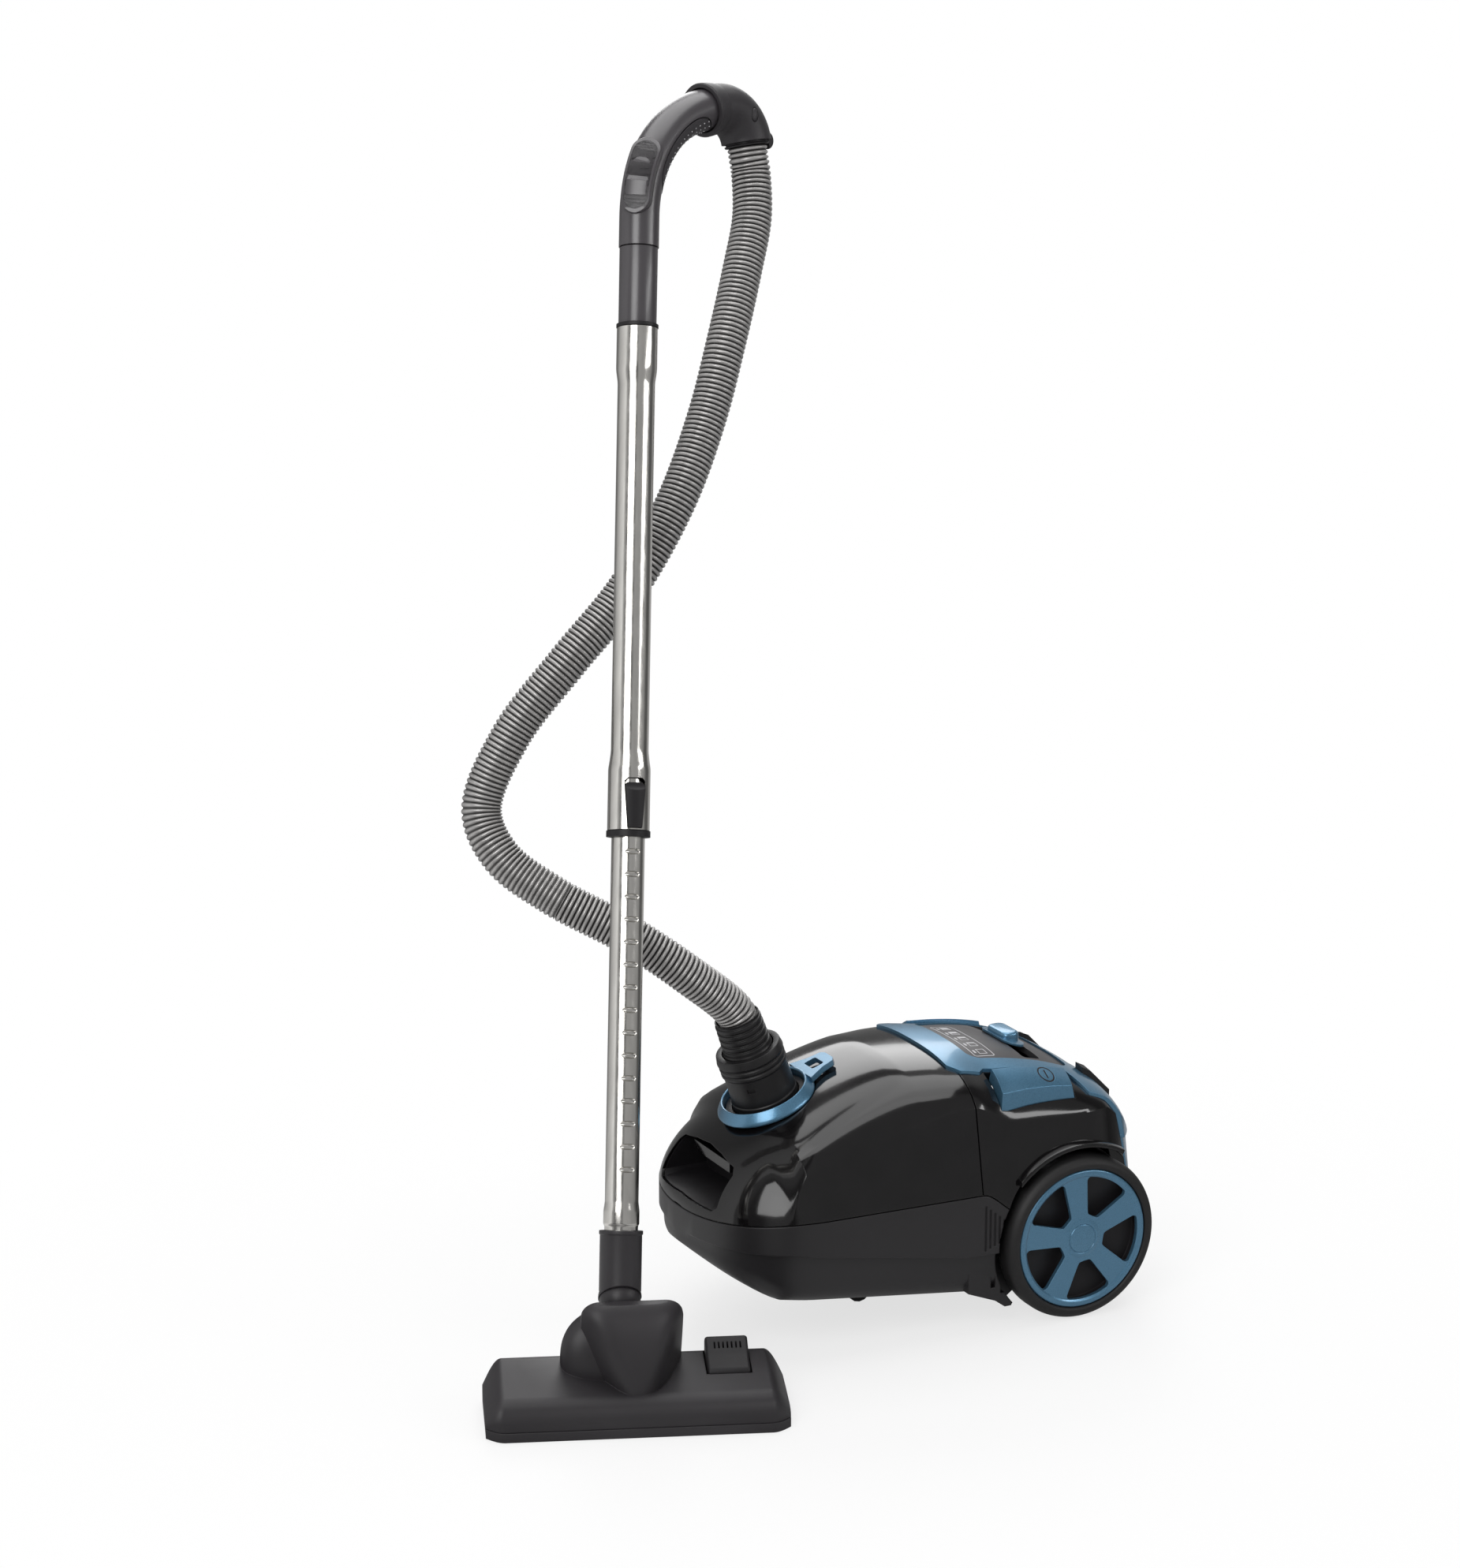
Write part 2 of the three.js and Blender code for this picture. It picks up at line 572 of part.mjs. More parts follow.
/** The matte chassis: open tub with skirt, bulkhead, motor cradle, reel post and axle bosses. */
function chassis() {
  const outer = lowerForm(0, (x) => seam(x));
  const hollowTop = (x) => seam(x) + 20;
  const bay = common(lowerForm(SHELL + 6, hollowTop), box(NOSE_X, BULKHEAD_X - 4, -200, 200, 0, 300));
  const engine = common(lowerForm(SHELL + 6, hollowTop), box(BULKHEAD_X, TAIL_X, -100, 100, 0, 300));
  const window = box(BULKHEAD_X - 10, BULKHEAD_X + 10, -46, 46, 62, 124);
  const bore = alongY(rod(AXLE_RADIUS + GAP, -150, 150)).translate([0, 0, WHEEL_RADIUS]);
  const boss = alongY(pipe(AXLE_RADIUS + GAP, 12, -WELL_Y - 3, -90)).translate([0, 0, WHEEL_RADIUS]);
  const bosses = join(boss, boss.mirror([0, 1, 0]));
  const cradle = cut(box(-74, 0, -34, 34, FLOOR_Z + 1, 72), alongX(rod(MOTOR.radius + 2 * GAP, -90, 20, 16))
    .translate([0, 0, MOTOR.z]));
  const post = join(box(REEL.x - 12, REEL.x + 12, REEL.half + 3, REEL.half + 7, FLOOR_Z + 1, REEL.z + 12),
    alongY(rod(AXLE_RADIUS, -REEL.half - 2, REEL.half + 5)).translate([REEL.x, 0, REEL.z]));
  const casterHole = rod(4 + GAP, 0, CASTER_SEAT_Z + 18).translate([CASTER_X, 0, 0]);
  const casterBoss = rod(17, CASTER_SEAT_Z, CASTER_SEAT_Z + 22).translate([CASTER_X, 0, 0]);
  const cordOutlet = alongX(rod(6, 0, 60)).translate([TAIL_X - 40, -52, 104]);
  const tub = cut(outer, bay, engine, wheelWells(), window);
  return cut(join(tub, bosses, cradle, post, casterBoss, skirts()), bore, casterHole, cordOutlet,
    ...grooves());
}

/** Mudguards ahead of the wheels, each with three slots. */
function skirts() {
  const y0 = WELL_Y - 2;
  const profile = [[-118, 40], [-84, 30], [-60, 20], [-48, 14], [-46, 30], [-80, 92], [-118, 92]];
  const slots = [0, 1, 2].map((i) => box(-93 + 11 * i, -88 + 11 * i, 116, 140, 42 - 7 * i, 55 - 8 * i));
  const guard = cut(prismY(profile, y0, 122),
    alongY(rod(WELL_RADIUS, y0 - 5, 140, 24)).translate([0, 0, WHEEL_RADIUS]), ...slots);
  return join(guard, guard.mirror([0, 1, 0]));
}

/** Five upright grooves on each side, ahead of the wheels. */
function grooves() {
  return [-1, 1].flatMap((side) => Array.from({ length: 5 }, (_, i) => {
    const x = -107 + 5 * i;
    const y = side * halfWidth(x);
    return box(x, x + 2, y - 1.2, y + 1.2, 86 + 2 * i, 132 - 4 * i);
  }));
}

/** Seal lying on the rim of the dust-bag bay. */
function lidSeal() {
  const high = (x) => seam(x) + 3;
  const outer = lowerForm(SHELL + 3, high);
  const inner = common(lowerForm(SHELL + 6, (x) => seam(x) + 6),
    box(NOSE_X, BULKHEAD_X - 7, -200, 200, 0, 300));
  const front = box(NOSE_X, BULKHEAD_X - 4, -200, 200, SEAM_Z - SEAM_NOSE_DROP - 5, 300);
  return cut(common(outer, front), inner, lowerForm(0, (x) => seam(x) + GAP));
}

function rearCover() {
  const shell = cut(upperForm(0), upperForm(SHELL, (x) => seam(x) - 20));
  const skin = cut(shell, panelColumn(GAP));
  const step = cut(common(layer(0, -PANEL.deck - SHELL), panelColumn(GAP + 2.5)), panelColumn(GAP));
  const deck = common(layer(-PANEL.deck, -PANEL.deck - SHELL), panelColumn(GAP + 2));
  const vent = box(GRILLE.front + 8, TAIL_X, -GRILLE.half + 8, GRILLE.half - 8, GRILLE.low + 8, 300);
  const slot = box(SLOT.x - 8, SLOT.x + 8, -SLOT.halfLength, SLOT.halfLength, 150, 300);
  const behind = box(LID_REAR_X, TAIL_X + 10, -200, 200, 0, 300);
  const posts = [[-58, -34], [-58, 34], [-30, -34], [-30, 34]].map(([x, y]) =>
    common(rod(3, 219 + GAP, 300, 12).translate([x, y, 0]), upperForm(PANEL.deck + 1)));
  const body = cut(join(skin, step, cut(deck, vent, slot)), wheelWells(),
    ...[-1, 1].map((side) => prism(pedalOutline(side, RUN), 150, 300)));
  return common(join(body, ...posts, ...springSeats()), behind);
}

/** Shelves under the pedals that carry their springs. */
function springSeats() {
  const x = (PEDAL.front + PEDAL.rear) / 2;
  return [-1, 1].map((side) => {
    const y = side * (PEDAL.inner + 12);
    const shelf = box(x - 10, x + 10, Math.min(y - 9, side * 74), Math.max(y + 9, side * 74), 196, 199);
    const hanger = box(x - 10, x + 10, Math.min(side * 73, side * 76), Math.max(side * 73, side * 76),
      196, 234);
    return join(shelf, hanger);
  });
}

function controlFrame() {
  const body = common(layer(PANEL.top, -PANEL.bed), panelColumn(0),
    box(-200, 200, -200, 200, REAR_PANEL.top + GAP, 300));
  return cut(body, insetColumn(GAP), grilleColumn(GAP));
}

function controlInset() {
  const body = common(layer(INSET.top, -PANEL.bed), insetColumn(0));
  return cut(body, prism(roundedRect(SLOT.x - SLOT.width / 2, SLOT.x + SLOT.width / 2,
    -SLOT.halfLength, SLOT.halfLength, 4), 150, 300));
}

const rearPanel = () => common(layer(1, -PANEL.bed), panelColumn(0),
  box(0, 200, -200, 200, REAR_PANEL.bottom, REAR_PANEL.top));

/** Speed slider: base plate, thumb knob and the stem through the slot. */
function powerSlider() {
  const base = common(layer(3.4, 1.9), prism(roundedRect(SLOT.x - 12, SLOT.x + 12,
    -SLIDER_HALF, SLIDER_HALF, 6), 150, 300));
  const knob = prism(roundedRect(SLOT.x - 7, SLOT.x + 7, -12, 12, 5), 248, ridge(SLOT.x) + 9);
  const stem = common(layer(4, -7), box(SLOT.x - 3, SLOT.x + 3, -6, 6, 150, 300));
  return join(base, common(knob, layer(9, 2)), stem);
}

/** Foot pedal with slanted sides, following the cover's curve. */
function pedal(side) {
  const taper = (extra, z) => pedalOutline(side, extra).map(([x, y]) => new THREE.Vector3(x, y, z));
  const column = loft([taper(0, 200), taper(0, 216), taper(-PEDAL.slant, 262)]);
  return common(cut(upperForm(-PEDAL.height), upperForm(4, (x) => seam(x) - 20)), column);
}

/** Helical spring standing on its seat. */
function pedalSpring(side) {
  const turns = 3;
  const steps = 6 * turns;
  const low = 199 + 1.5;
  const high = 214;
  const points = Array.from({ length: steps + 1 }, (_, i) => {
    const a = 2 * Math.PI * turns * i / steps;
    return new THREE.Vector3(5 * Math.cos(a), 5 * Math.sin(a), low + (high - low) * i / steps);
  });
  const wire = new THREE.Shape(circle(0.9, 4).map(([x, y]) => new THREE.Vector2(x, y)));
  const coil = solid(new THREE.ExtrudeGeometry(wire, {
    steps, bevelEnabled: false, extrudePath: new THREE.CatmullRomCurve3(points) }));
  return coil.translate([(PEDAL.front + PEDAL.rear) / 2, side * (PEDAL.inner + 12), 0]);
}

/** Louvred exhaust grille following the tail's curve. */
function exhaustGrille() {
  const body = common(layer(PANEL.top - 1, -3.5), grilleColumn(0));
  const slits = Array.from({ length: GRILLE.louvres }, (_, i) => {
    const angle = 20 + 50 * i / (GRILLE.louvres - 1);
    return box(60, 220, -GRILLE.half + 6, GRILLE.half - 6, -GRILLE.slit / 2, GRILLE.slit / 2)
      .rotate([0, -angle, 0]).translate([-45, 0, 132]);
  });
  return cut(body, ...slits);
}

const exhaustFilter = () => common(layer(-PANEL.deck - SHELL - GAP, -PANEL.deck - SHELL - 8),
  box(GRILLE.front + 4, TAIL_X - 20, -GRILLE.half + 4, GRILLE.half - 4, GRILLE.low + 2, 300));

function parkingFoot(side) {
  const { x, length, y, width, height } = PARKING_FOOT;
  return common(layer(PANEL.top + height, PANEL.top + GAP), box(x - length / 2, x + length / 2,
    side * y - width / 2, side * y + width / 2, 150, 300));
}

/** Motor casing with its intake eye, bearing wall and rear vent. */
function motorHousing() {
  const { x0, x1, radius } = MOTOR;
  const wall = x0 + 34;
  const casing = revolve([[18, x0], [radius, x0], [radius, x1], [AXLE_RADIUS + GAP, x1],
    [AXLE_RADIUS + GAP, x1 - 5], [radius - 3, x1 - 5], [radius - 3, wall + 4], [AXLE_RADIUS + GAP, wall + 4],
    [AXLE_RADIUS + GAP, wall], [radius - 3, wall], [radius - 3, x0 + 3], [18, x0 + 3], [18, x0]], 16);
  const vents = [-1, 1].map((side) => box(-12, 12, side * 30 - 6, side * 30 + 6, x1 - 8, x1 + 2));
  const eyes = [-1, 1].map((side) => box(side * 30 - 5, side * 30 + 5, -9, 9, wall - 2, wall + 6));
  return alongX(cut(casing, ...vents, ...eyes)).translate([0, 0, MOTOR.z]);
}

/** Impeller with back plate, curved blades and its shaft. */
function motorFan() {
  const { x0, x1, radius } = MOTOR;
  const start = x0 + 7;
  const shaft = rod(AXLE_RADIUS - 0.5, start, x1 - 1, 10);
  const plate = rod(radius - 7, start + 14, start + 17, 16);
  const blades = Array.from({ length: 7 }, (_, i) =>
    box(10, radius - 9, -1, 1, start + 2, start + 15).rotate([0, 0, 12]).translate([0, -4, 0])
      .rotate([0, 0, 360 / 7 * i]));
  const hub = rod(13, start, start + 16, 12);
  return alongX(join(shaft, plate, hub, ...blades)).translate([0, 0, MOTOR.z]);
}

/** Empty cord reel with two flanges. */
function cordReel() {
  const { radius, half, drum } = REEL;
  const bore = AXLE_RADIUS + GAP;
  const body = revolve([[bore, -half], [radius, -half], [radius, -half + 3], [drum, -half + 3],
    [drum, half - 3], [radius, half - 3], [radius, half], [bore, half], [bore, -half]], 16);
  return alongY(body).translate([REEL.x, 0, REEL.z]);
}

const circuitBoard = () => box(-64, -24, -40, 40, 217.4, 219);

const motorFilter = () => box(BULKHEAD_X - 10, BULKHEAD_X - 4 - GAP, -54, 54, FLOOR_Z + SHELL + 3, 132);

/** Holder for the bag's collar, standing on the floor of the bay. */
function bagHolder() {
  const plate = onInlet(cut(box(-44, 44, -58, 58, -34, -31), rod(24, -50, 0, 16)));
  const x = INLET.x - 18;
  const low = keel(x) + SHELL + 2;
  const legs = [-1, 1].map((side) => box(x - 5, x + 5, side * 56 - 2, side * 56 + 2, low, 190));
  return cut(join(plate, ...legs), onInlet(box(-90, 90, -90, 90, -31, 90)));
}

/** Filled dust bag, resting on the floor of the bay. */
function dustBag() {
  const ball = new THREE.SphereGeometry(1, 10, 6);
  const position = ball.getAttribute('position');
  const swell = (t) => Math.sign(t) * Math.abs(t) ** 0.7;
  for (let i = 0; i < position.count; i += 1) {
    const [x, y, z] = [position.getX(i), position.getY(i), position.getZ(i)];
    position.setXYZ(i, 70 * swell(x), 80 * swell(y), 46 * swell(z));
  }
  const floor = CASTER_SEAT_Z + 22 + GAP;
  return common(solid(ball).translate([-206, 0, 102]), box(-400, 0, -200, 200, floor, 300));
}

const axle = (side) => alongY(rod(AXLE_RADIUS, 91, WHEEL_FACE_Y - 9)).rotate([0, 0, side > 0 ? 0 : 180])
  .translate([0, 0, WHEEL_RADIUS]);

// ---------- wheels ----------

/** Turns a wheel piece, made about Z with its outer face up, to its side of the canister. */
const onAxle = (body, side) => alongY(body).rotate([0, 0, side > 0 ? 0 : 180])
  .translate([0, 0, WHEEL_RADIUS]);

function tyre(side) {
  const face = WHEEL_FACE_Y;
  const back = face - WHEEL_WIDTH;
  const r = WHEEL_RADIUS;
  const inner = RIM_RADIUS + GAP;
  return onAxle(revolve([[inner, back + 1], [inner + 6, back], [r, back + 6],
    [r, face - 9], [r - 2, face - 4], [r - 6, face - 0.5], [inner + 2, face], [inner, face - 2],
    [inner, back + 1]], WHEEL_SIDES), side);
}

/** Black core: hub tube, dished web and the band under the tyre. */
function wheelCore(side) {
  const face = WHEEL_FACE_Y - 8;
  const r = RIM_RADIUS;
  const bore = AXLE_RADIUS + GAP;
  return onAxle(revolve([[bore, 107], [14, 107], [14, 117], [r - 5, 121], [r - 5, 114], [r, 114],
    [r, face], [r - 5, face], [r - 5, 125], [14, 121], [14, face], [bore, face], [bore, 107]], WHEEL_SIDES), side);
}

/** Blue rim cover: ring, five spokes that widen outwards and a hub disc. */
function wheelRim(side) {
  const outer = RIM_RADIUS;
  const windowOut = outer - 7.5;
  const windowIn = 24;
  const pitch = 360 / SPOKES;
  const halfOut = pitch / 2 - 14.5;
  const halfIn = pitch / 2 - 22;
  const shape = new THREE.Shape(circle(outer, WHEEL_SIDES).map(([x, y]) => new THREE.Vector2(x, y)));
  for (let i = 0; i < SPOKES; i += 1) {
    const middle = 90 + SPOKE_TURN + pitch * (i + 0.5);
    const at = (r, a) => arc(0, 0, r, middle + a, middle + a, 1)[0];
    const outline = [...arc(0, 0, windowOut, middle - halfOut, middle + halfOut, 4),
      at(windowOut - 3, halfOut + 2.2), at(windowIn + 5, halfIn + 3), at(windowIn + 1, halfIn),
      at(windowIn, 0), at(windowIn + 1, -halfIn), at(windowIn + 5, -halfIn - 3),
      at(windowOut - 3, -halfOut - 2.2)];
    shape.holes.push(new THREE.Path(outline.map(([x, y]) => new THREE.Vector2(x, y))));
  }
  const face = WHEEL_FACE_Y - 1.5;
  const plate = solid(new THREE.ExtrudeGeometry(shape, { depth: 6, bevelEnabled: false }).translate(0, 0, face - 6));
  return onAxle(plate, side);
}

// ---------- caster ----------

/** Fork with its swivel pin, trailing cheeks and wheel axle. */
function casterFork() {
  const z = CASTER_RADIUS;
  const half = CASTER_WIDTH / 2;
  const top = CASTER_SEAT_Z - GAP;
  const plate = rod(15, top - 4, top, 16);
  const pin = rod(4, top - 4, top + 17);
  const outline = [[-8, top - 3], [-2, z + 2], [CASTER_TRAIL - 5, z - 5], [CASTER_TRAIL + 5, z - 5],
    [CASTER_TRAIL + 6, z + 4], [9, top - 3]];
  const cheek = prism(outline, 0, 2.6).rotate([90, 0, 0]);
  const cheeks = join(cheek.translate([0, half + RUN + 2.6, 0]), cheek.translate([0, -half - RUN, 0]));
  const bolt = alongY(rod(2.5, -half - RUN - 1, half + RUN + 1, 16)).translate([CASTER_TRAIL, 0, z]);
  return join(plate, pin, cheeks, bolt).translate([CASTER_X, 0, 0]);
}

function casterWheel() {
  const half = CASTER_WIDTH / 2;
  const r = CASTER_RADIUS;
  const wheel = revolve([[2.5 + GAP, -half], [r - 3, -half], [r, -half + 3], [r, half - 3], [r - 3, half],
    [2.5 + GAP, half], [2.5 + GAP, -half]], 14);
  return alongY(wheel).translate([CASTER_X + CASTER_TRAIL, 0, r]);
}

// ---------- telescopic tube, about Z in its own frame ----------

function innerTube() {
  const r = INNER_RADIUS;
  const top = OUTER_START + INNER_OVERLAP;
  const wall = r - TUBE_WALL;
  const flare = r + 1.1;
  const tube = revolve([[wall, -24], [r, -24], [r, 4], [flare, 6], [flare, 18], [r, 26], [r, top],
    [wall, top], [wall, -24]], 18);
  const detents = Array.from({ length: DETENTS }, (_, i) => {
    const lens = alongX(rod(1, -8, 8, 6)).scale([1, 2, 2.4]);
    return lens.translate([0, -r - 1, OUTER_START - 14 - DETENT_PITCH * i]);
  });
  return cut(tube, ...detents);
}

/** Outer tube: flared ends, the lower one the housing of the lock. */
function outerTube() {
  const r = OUTER_RADIUS;
  const wall = TUBE_WALL;
  const lock = LOCK_RADIUS;
  const top = r + 1.7;
  const start = OUTER_START + 6;
  const shoulder = start + LOCK_LENGTH;
  const tube = revolve([[lock - wall, start], [lock, start], [lock, shoulder], [lock - 1, shoulder + 6],
    [r, shoulder + 16], [r, OUTER_END - 52], [top, OUTER_END - 40], [top, OUTER_END],
    [top - wall, OUTER_END], [top - wall, OUTER_END - 40], [r - wall, OUTER_END - 52],
    [r - wall, shoulder + 16], [lock - wall, shoulder + 4], [lock - wall, start]], 18);
  return cut(tube, prismY(lockOutline(RUN), -lock - 5, -5).translate([0, 0, start]));
}

/** Outline of the lock button, wider at its upper end, with the travel under it. */
function lockOutline(extra) {
  const top = extra > 0 ? LOCK_TRAVEL + extra : 0;
  return [[-6.5 - extra, 2 - extra], [6.5 + extra, 2 - extra], [9.5 + extra, 41], [9.5 + extra, 41 + top],
    [7, 44 + top], [-7, 44 + top], [-9.5 - extra, 41 + top], [-9.5 - extra, 41]];
}

function lockButton() {
  const inner = INNER_RADIUS + RUN;
  const height = OUTER_START + 6;
  const ring = cut(rod(LOCK_RADIUS + 3.4, 0, 60, 24), rod(inner, -1, 61, 24));
  const scoop = alongX(rod(9, -30, 30, 24)).translate([0, -LOCK_RADIUS - 8.6, 44]);
  return cut(common(ring, prismY(lockOutline(0), -40, -5)), scoop).translate([0, 0, height]);
}

const endRing = () => pipe(INNER_RADIUS + GAP, LOCK_RADIUS + 0.9, OUTER_START, OUTER_START + 6 - GAP);

const tubeCollar = () => pipe(HANDLE_RADIUS - 0.6, OUTER_RADIUS + 2.3, OUTER_END + GAP,
  OUTER_END + 3.4);

/** Neck: socket for the tube above, round end of the oblique swivel joint below. */
function neck(swivel) {
  const r = NECK_RADIUS;
  const low = -NECK_DROP + 6;
  const tube = revolve([[0, low], [r, low], [r, -4], [r + 0.8, -3.5], [r + 0.8, 0], [0, 0]], 16);
  const ball = solid(new THREE.SphereGeometry(r + 0.6, 14, 8)).translate([0, 0, -NECK_DROP]);
  const socket = rod(INNER_RADIUS + GAP, -25, 5, 16);
  const airway = rod(INNER_RADIUS - 2, -NECK_DROP - 12, 0, 12);
  return cut(join(tube, ball), socket, airway,
    halfSpace(swivel, GAP / 2).translate([0, 0, -NECK_DROP]));
}

/** Everything up to offset on the lower side of a plane through the origin. */
function halfSpace(normal, offset) {
  const block = new THREE.BoxGeometry(200, 200, 100).translate(0, 0, -50 + offset);
  const turn = new THREE.Quaternion().setFromUnitVectors(new THREE.Vector3(0, 0, 1), normal);
  return solid(block.applyQuaternion(turn));
}

// ---------- handle, bending towards +X of its own frame ----------

/** Lower tube of the handle, its spigot inside the chrome tube. */
function handleTube() {
  const r = HANDLE_RADIUS;
  const spigot = OUTER_RADIUS + 1.7 - TUBE_WALL - GAP;
  const top = HANDLE_TUBE - GAP;
  return revolve([[14, -34], [spigot, -34], [spigot, -1], [r - 1.2, GAP], [r - 1.2, 3.4 + GAP],
    [r, 3.4 + GAP], [r + 0.2, top], [14, top], [14, -34]], 20);
}

const gripRadius = (angle) => GRIP_RADIUS + 1.6 * clamp01((angle - 40) / 36) ** 2;

/** Turns a section's points from the outside of the bend to the grip's own front. */
function twisted(points) {
  const a = rad(GRIP_TWIST);
  return points.map(([out, side]) => [out * Math.cos(a) + side * Math.sin(a),
    side * Math.cos(a) - out * Math.sin(a)]);
}

/** Closed body along the grip's path between two angles. */
const alongGrip = (from, to, steps, section, spread) =>
  bentBody(BEND_RADIUS, from, to, steps, section, spread).translate([0, 0, HANDLE_STRAIGHT]);

/** Stations closer together towards both ends, for shapes with round ends. */
const roundEnds = (t) => (1 - Math.cos(Math.PI * t)) / 2;

/** Half width of a racetrack between two angles, with round ends. */
function racetrack(angle, from, to, half) {
  const perDegree = rad(BEND_RADIUS + GRIP_RADIUS);
  const reach = Math.min(angle - from, to - angle) * perDegree;
  return reach >= half ? half : Math.sqrt(Math.max(half ** 2 - (half - reach) ** 2, 1));
}

const VALVE = { from: 2.2, to: 21.5, half: 10.6, low: -0.5, high: 31 };

const slab = (half, low, high) => twisted([[low, -half], [high - 1.5, -half], [high, -half + 1.5],
  [high, half - 1.5], [high - 1.5, half], [low, half]]);

function handleGrip() {
  const start = HANDLE_TUBE + GAP;
  const outer = alongGrip(0, BEND_ANGLE, 9, (a) => circle(gripRadius(a), 16));
  const foot = rod(GRIP_RADIUS, start, HANDLE_STRAIGHT + 0.1, 16);
  const bore = alongGrip(-0.5, BEND_ANGLE + 1, 5, () => circle(12.5, 8));
  const mouth = rod(12.5, start - 1, HANDLE_STRAIGHT + 2, 8);
  const boss = alongGrip(VALVE.low, VALVE.high, 6, (a) =>
    slab(racetrack(a, VALVE.low, VALVE.high, 14.5), 8, GRIP_RADIUS + 3.2), roundEnds);
  const bed = alongGrip(VALVE.low + 1.6, VALVE.high - 1.6, 6, (a) =>
    slab(racetrack(a, VALVE.low + 1.6, VALVE.high - 1.6, VALVE.half + 2 * RUN), GRIP_RADIUS - 2.4,
      GRIP_RADIUS + 12), roundEnds);
  return cut(join(outer, foot, boss), bore, mouth, bed, insertBody(4 * GAP));
}

/** Rubber pad along the inner side of the bend. */
function insertBody(extra) {
  const from = 10 - extra / 2;
  const to = 70 + extra / 2;
  return alongGrip(from, to, 8, (a) => {
    const t = 2 * (a - from) / (to - from) - 1;
    const reach = 88 * Math.sqrt(Math.max(1 - t ** 6, 0.1)) + 2 * extra;
    const over = gripRadius(a) + 0.5 + (extra > 0 ? 5 : 0);
    const under = gripRadius(a) - 1.8 - extra;
    const sector = (r, turn) => [-r * Math.cos(rad(turn)), r * Math.sin(rad(turn))];
    const turns = [-1, -0.67, -0.33, 0, 0.33, 0.67, 1].map((t) => t * reach);
    return twisted([...turns.map((t) => sector(over, t)), ...turns.reverse().map((t) => sector(under, t))]);
  });
}

/** Suction slider: thumb ramp up to a step, then a hollowed top. */
function valveSlider() {
  const { from, to, half } = VALVE;
  const step = (from + to) / 2;
  return alongGrip(from, to, 10, (a) => {
    const rise = a <= step ? 2.6 + 3 * ((a - from) / (step - from)) ** 2
      : 4.4 - 2 * Math.sin(Math.PI * Math.min((a - step) / (to - step), 1));
    return slab(racetrack(a, from - 0.4, to + 0.4, half), GRIP_RADIUS - 2.4 + GAP, GRIP_RADIUS + rise);
  }, roundEnds);
}

/** Shift from the elbow's own bend to the handle's frame. */
function elbowShift() {
  const a = rad(BEND_ANGLE);
  const inward = BEND_RADIUS - ELBOW_BEND;
  return [inward - inward * Math.cos(a) + ELBOW_REACH * Math.sin(a), 0,
    HANDLE_STRAIGHT + inward * Math.sin(a) + ELBOW_REACH * Math.cos(a)];
}

const alongElbow = (from, to, steps, section) =>
  bentBody(ELBOW_BEND, from, to, steps, section).translate(elbowShift());

/** Straight rod that carries on from the grip's end into the elbow's bend. */
function elbowLead(radius, sides) {
  const a = rad(BEND_ANGLE);
  return rod(radius, -2, ELBOW_REACH + 1, sides).rotate([0, BEND_ANGLE, 0])
    .translate([BEND_RADIUS - BEND_RADIUS * Math.cos(a), 0, HANDLE_STRAIGHT + BEND_RADIUS * Math.sin(a)]);
}

/** Elbow: collar over the grip's end, full outer corner and the rounded ear beside the hose. */
function hoseElbow() {
  const body = alongElbow(BEND_ANGLE - 2, ELBOW_END, 6, () => circle(ELBOW_RADIUS, 14));
  const collar = alongGrip(BEND_ANGLE - 6, BEND_ANGLE + 1, 2, (a) => {
    const t = clamp01((a - BEND_ANGLE + 6) / 7);
    return circle(ELBOW_RADIUS + 1.6 - 1.4 * t ** 2, 16);
  });
  const ear = alongY(revolve([[0, -12], [7, -12], [9, -10], [9, 10], [7, 12], [0, 12]], 12))
    .translate([2 * ELBOW_BEND + ELBOW_RADIUS - 10, 0, 16]).translate(elbowShift());
  const socket = alongGrip(BEND_ANGLE - 8, BEND_ANGLE + 0.3, 2, () =>
    circle(gripRadius(BEND_ANGLE) + 3 * GAP, 16));
  const airway = alongElbow(BEND_ANGLE, ELBOW_END, 3, () => circle(13, 8));
  const outlet = swivelBody(join(rod(HOSE_RADIUS + 1.6, -22, 4, 20), rod(HOSE_RADIUS + 3.4, 1, 60, 20)));
  const whole = join(body, elbowLead(ELBOW_RADIUS - 0.2, 14), collar, ear);
  return cut(whole, socket, airway, elbowLead(12.8, 8), outlet);
}

/** Places a body made about Z where the hose leaves the elbow, +Z along the hose. */
function swivelBody(body) {
  const a = rad(ELBOW_END);
  const [x, , z] = elbowShift();
  return body.rotate([0, 180 - (180 - ELBOW_END), 0])
    .translate([x + ELBOW_BEND - ELBOW_BEND * Math.cos(a), 0, z + ELBOW_BEND * Math.sin(a)]);
}

/** Sleeve that turns in the elbow and holds the hose. */
const hoseSwivel = () => swivelBody(revolve([[15, -21], [HOSE_RADIUS + 1, -21], [HOSE_RADIUS + 1, 2],
  [HOSE_RADIUS + 2.6, 2.4], [HOSE_RADIUS + 2, SWIVEL_LIP], [15, SWIVEL_LIP], [15, -21]], 16));

// ---------- floor head, in its own frame: X along its width, Y from front to rear ----------

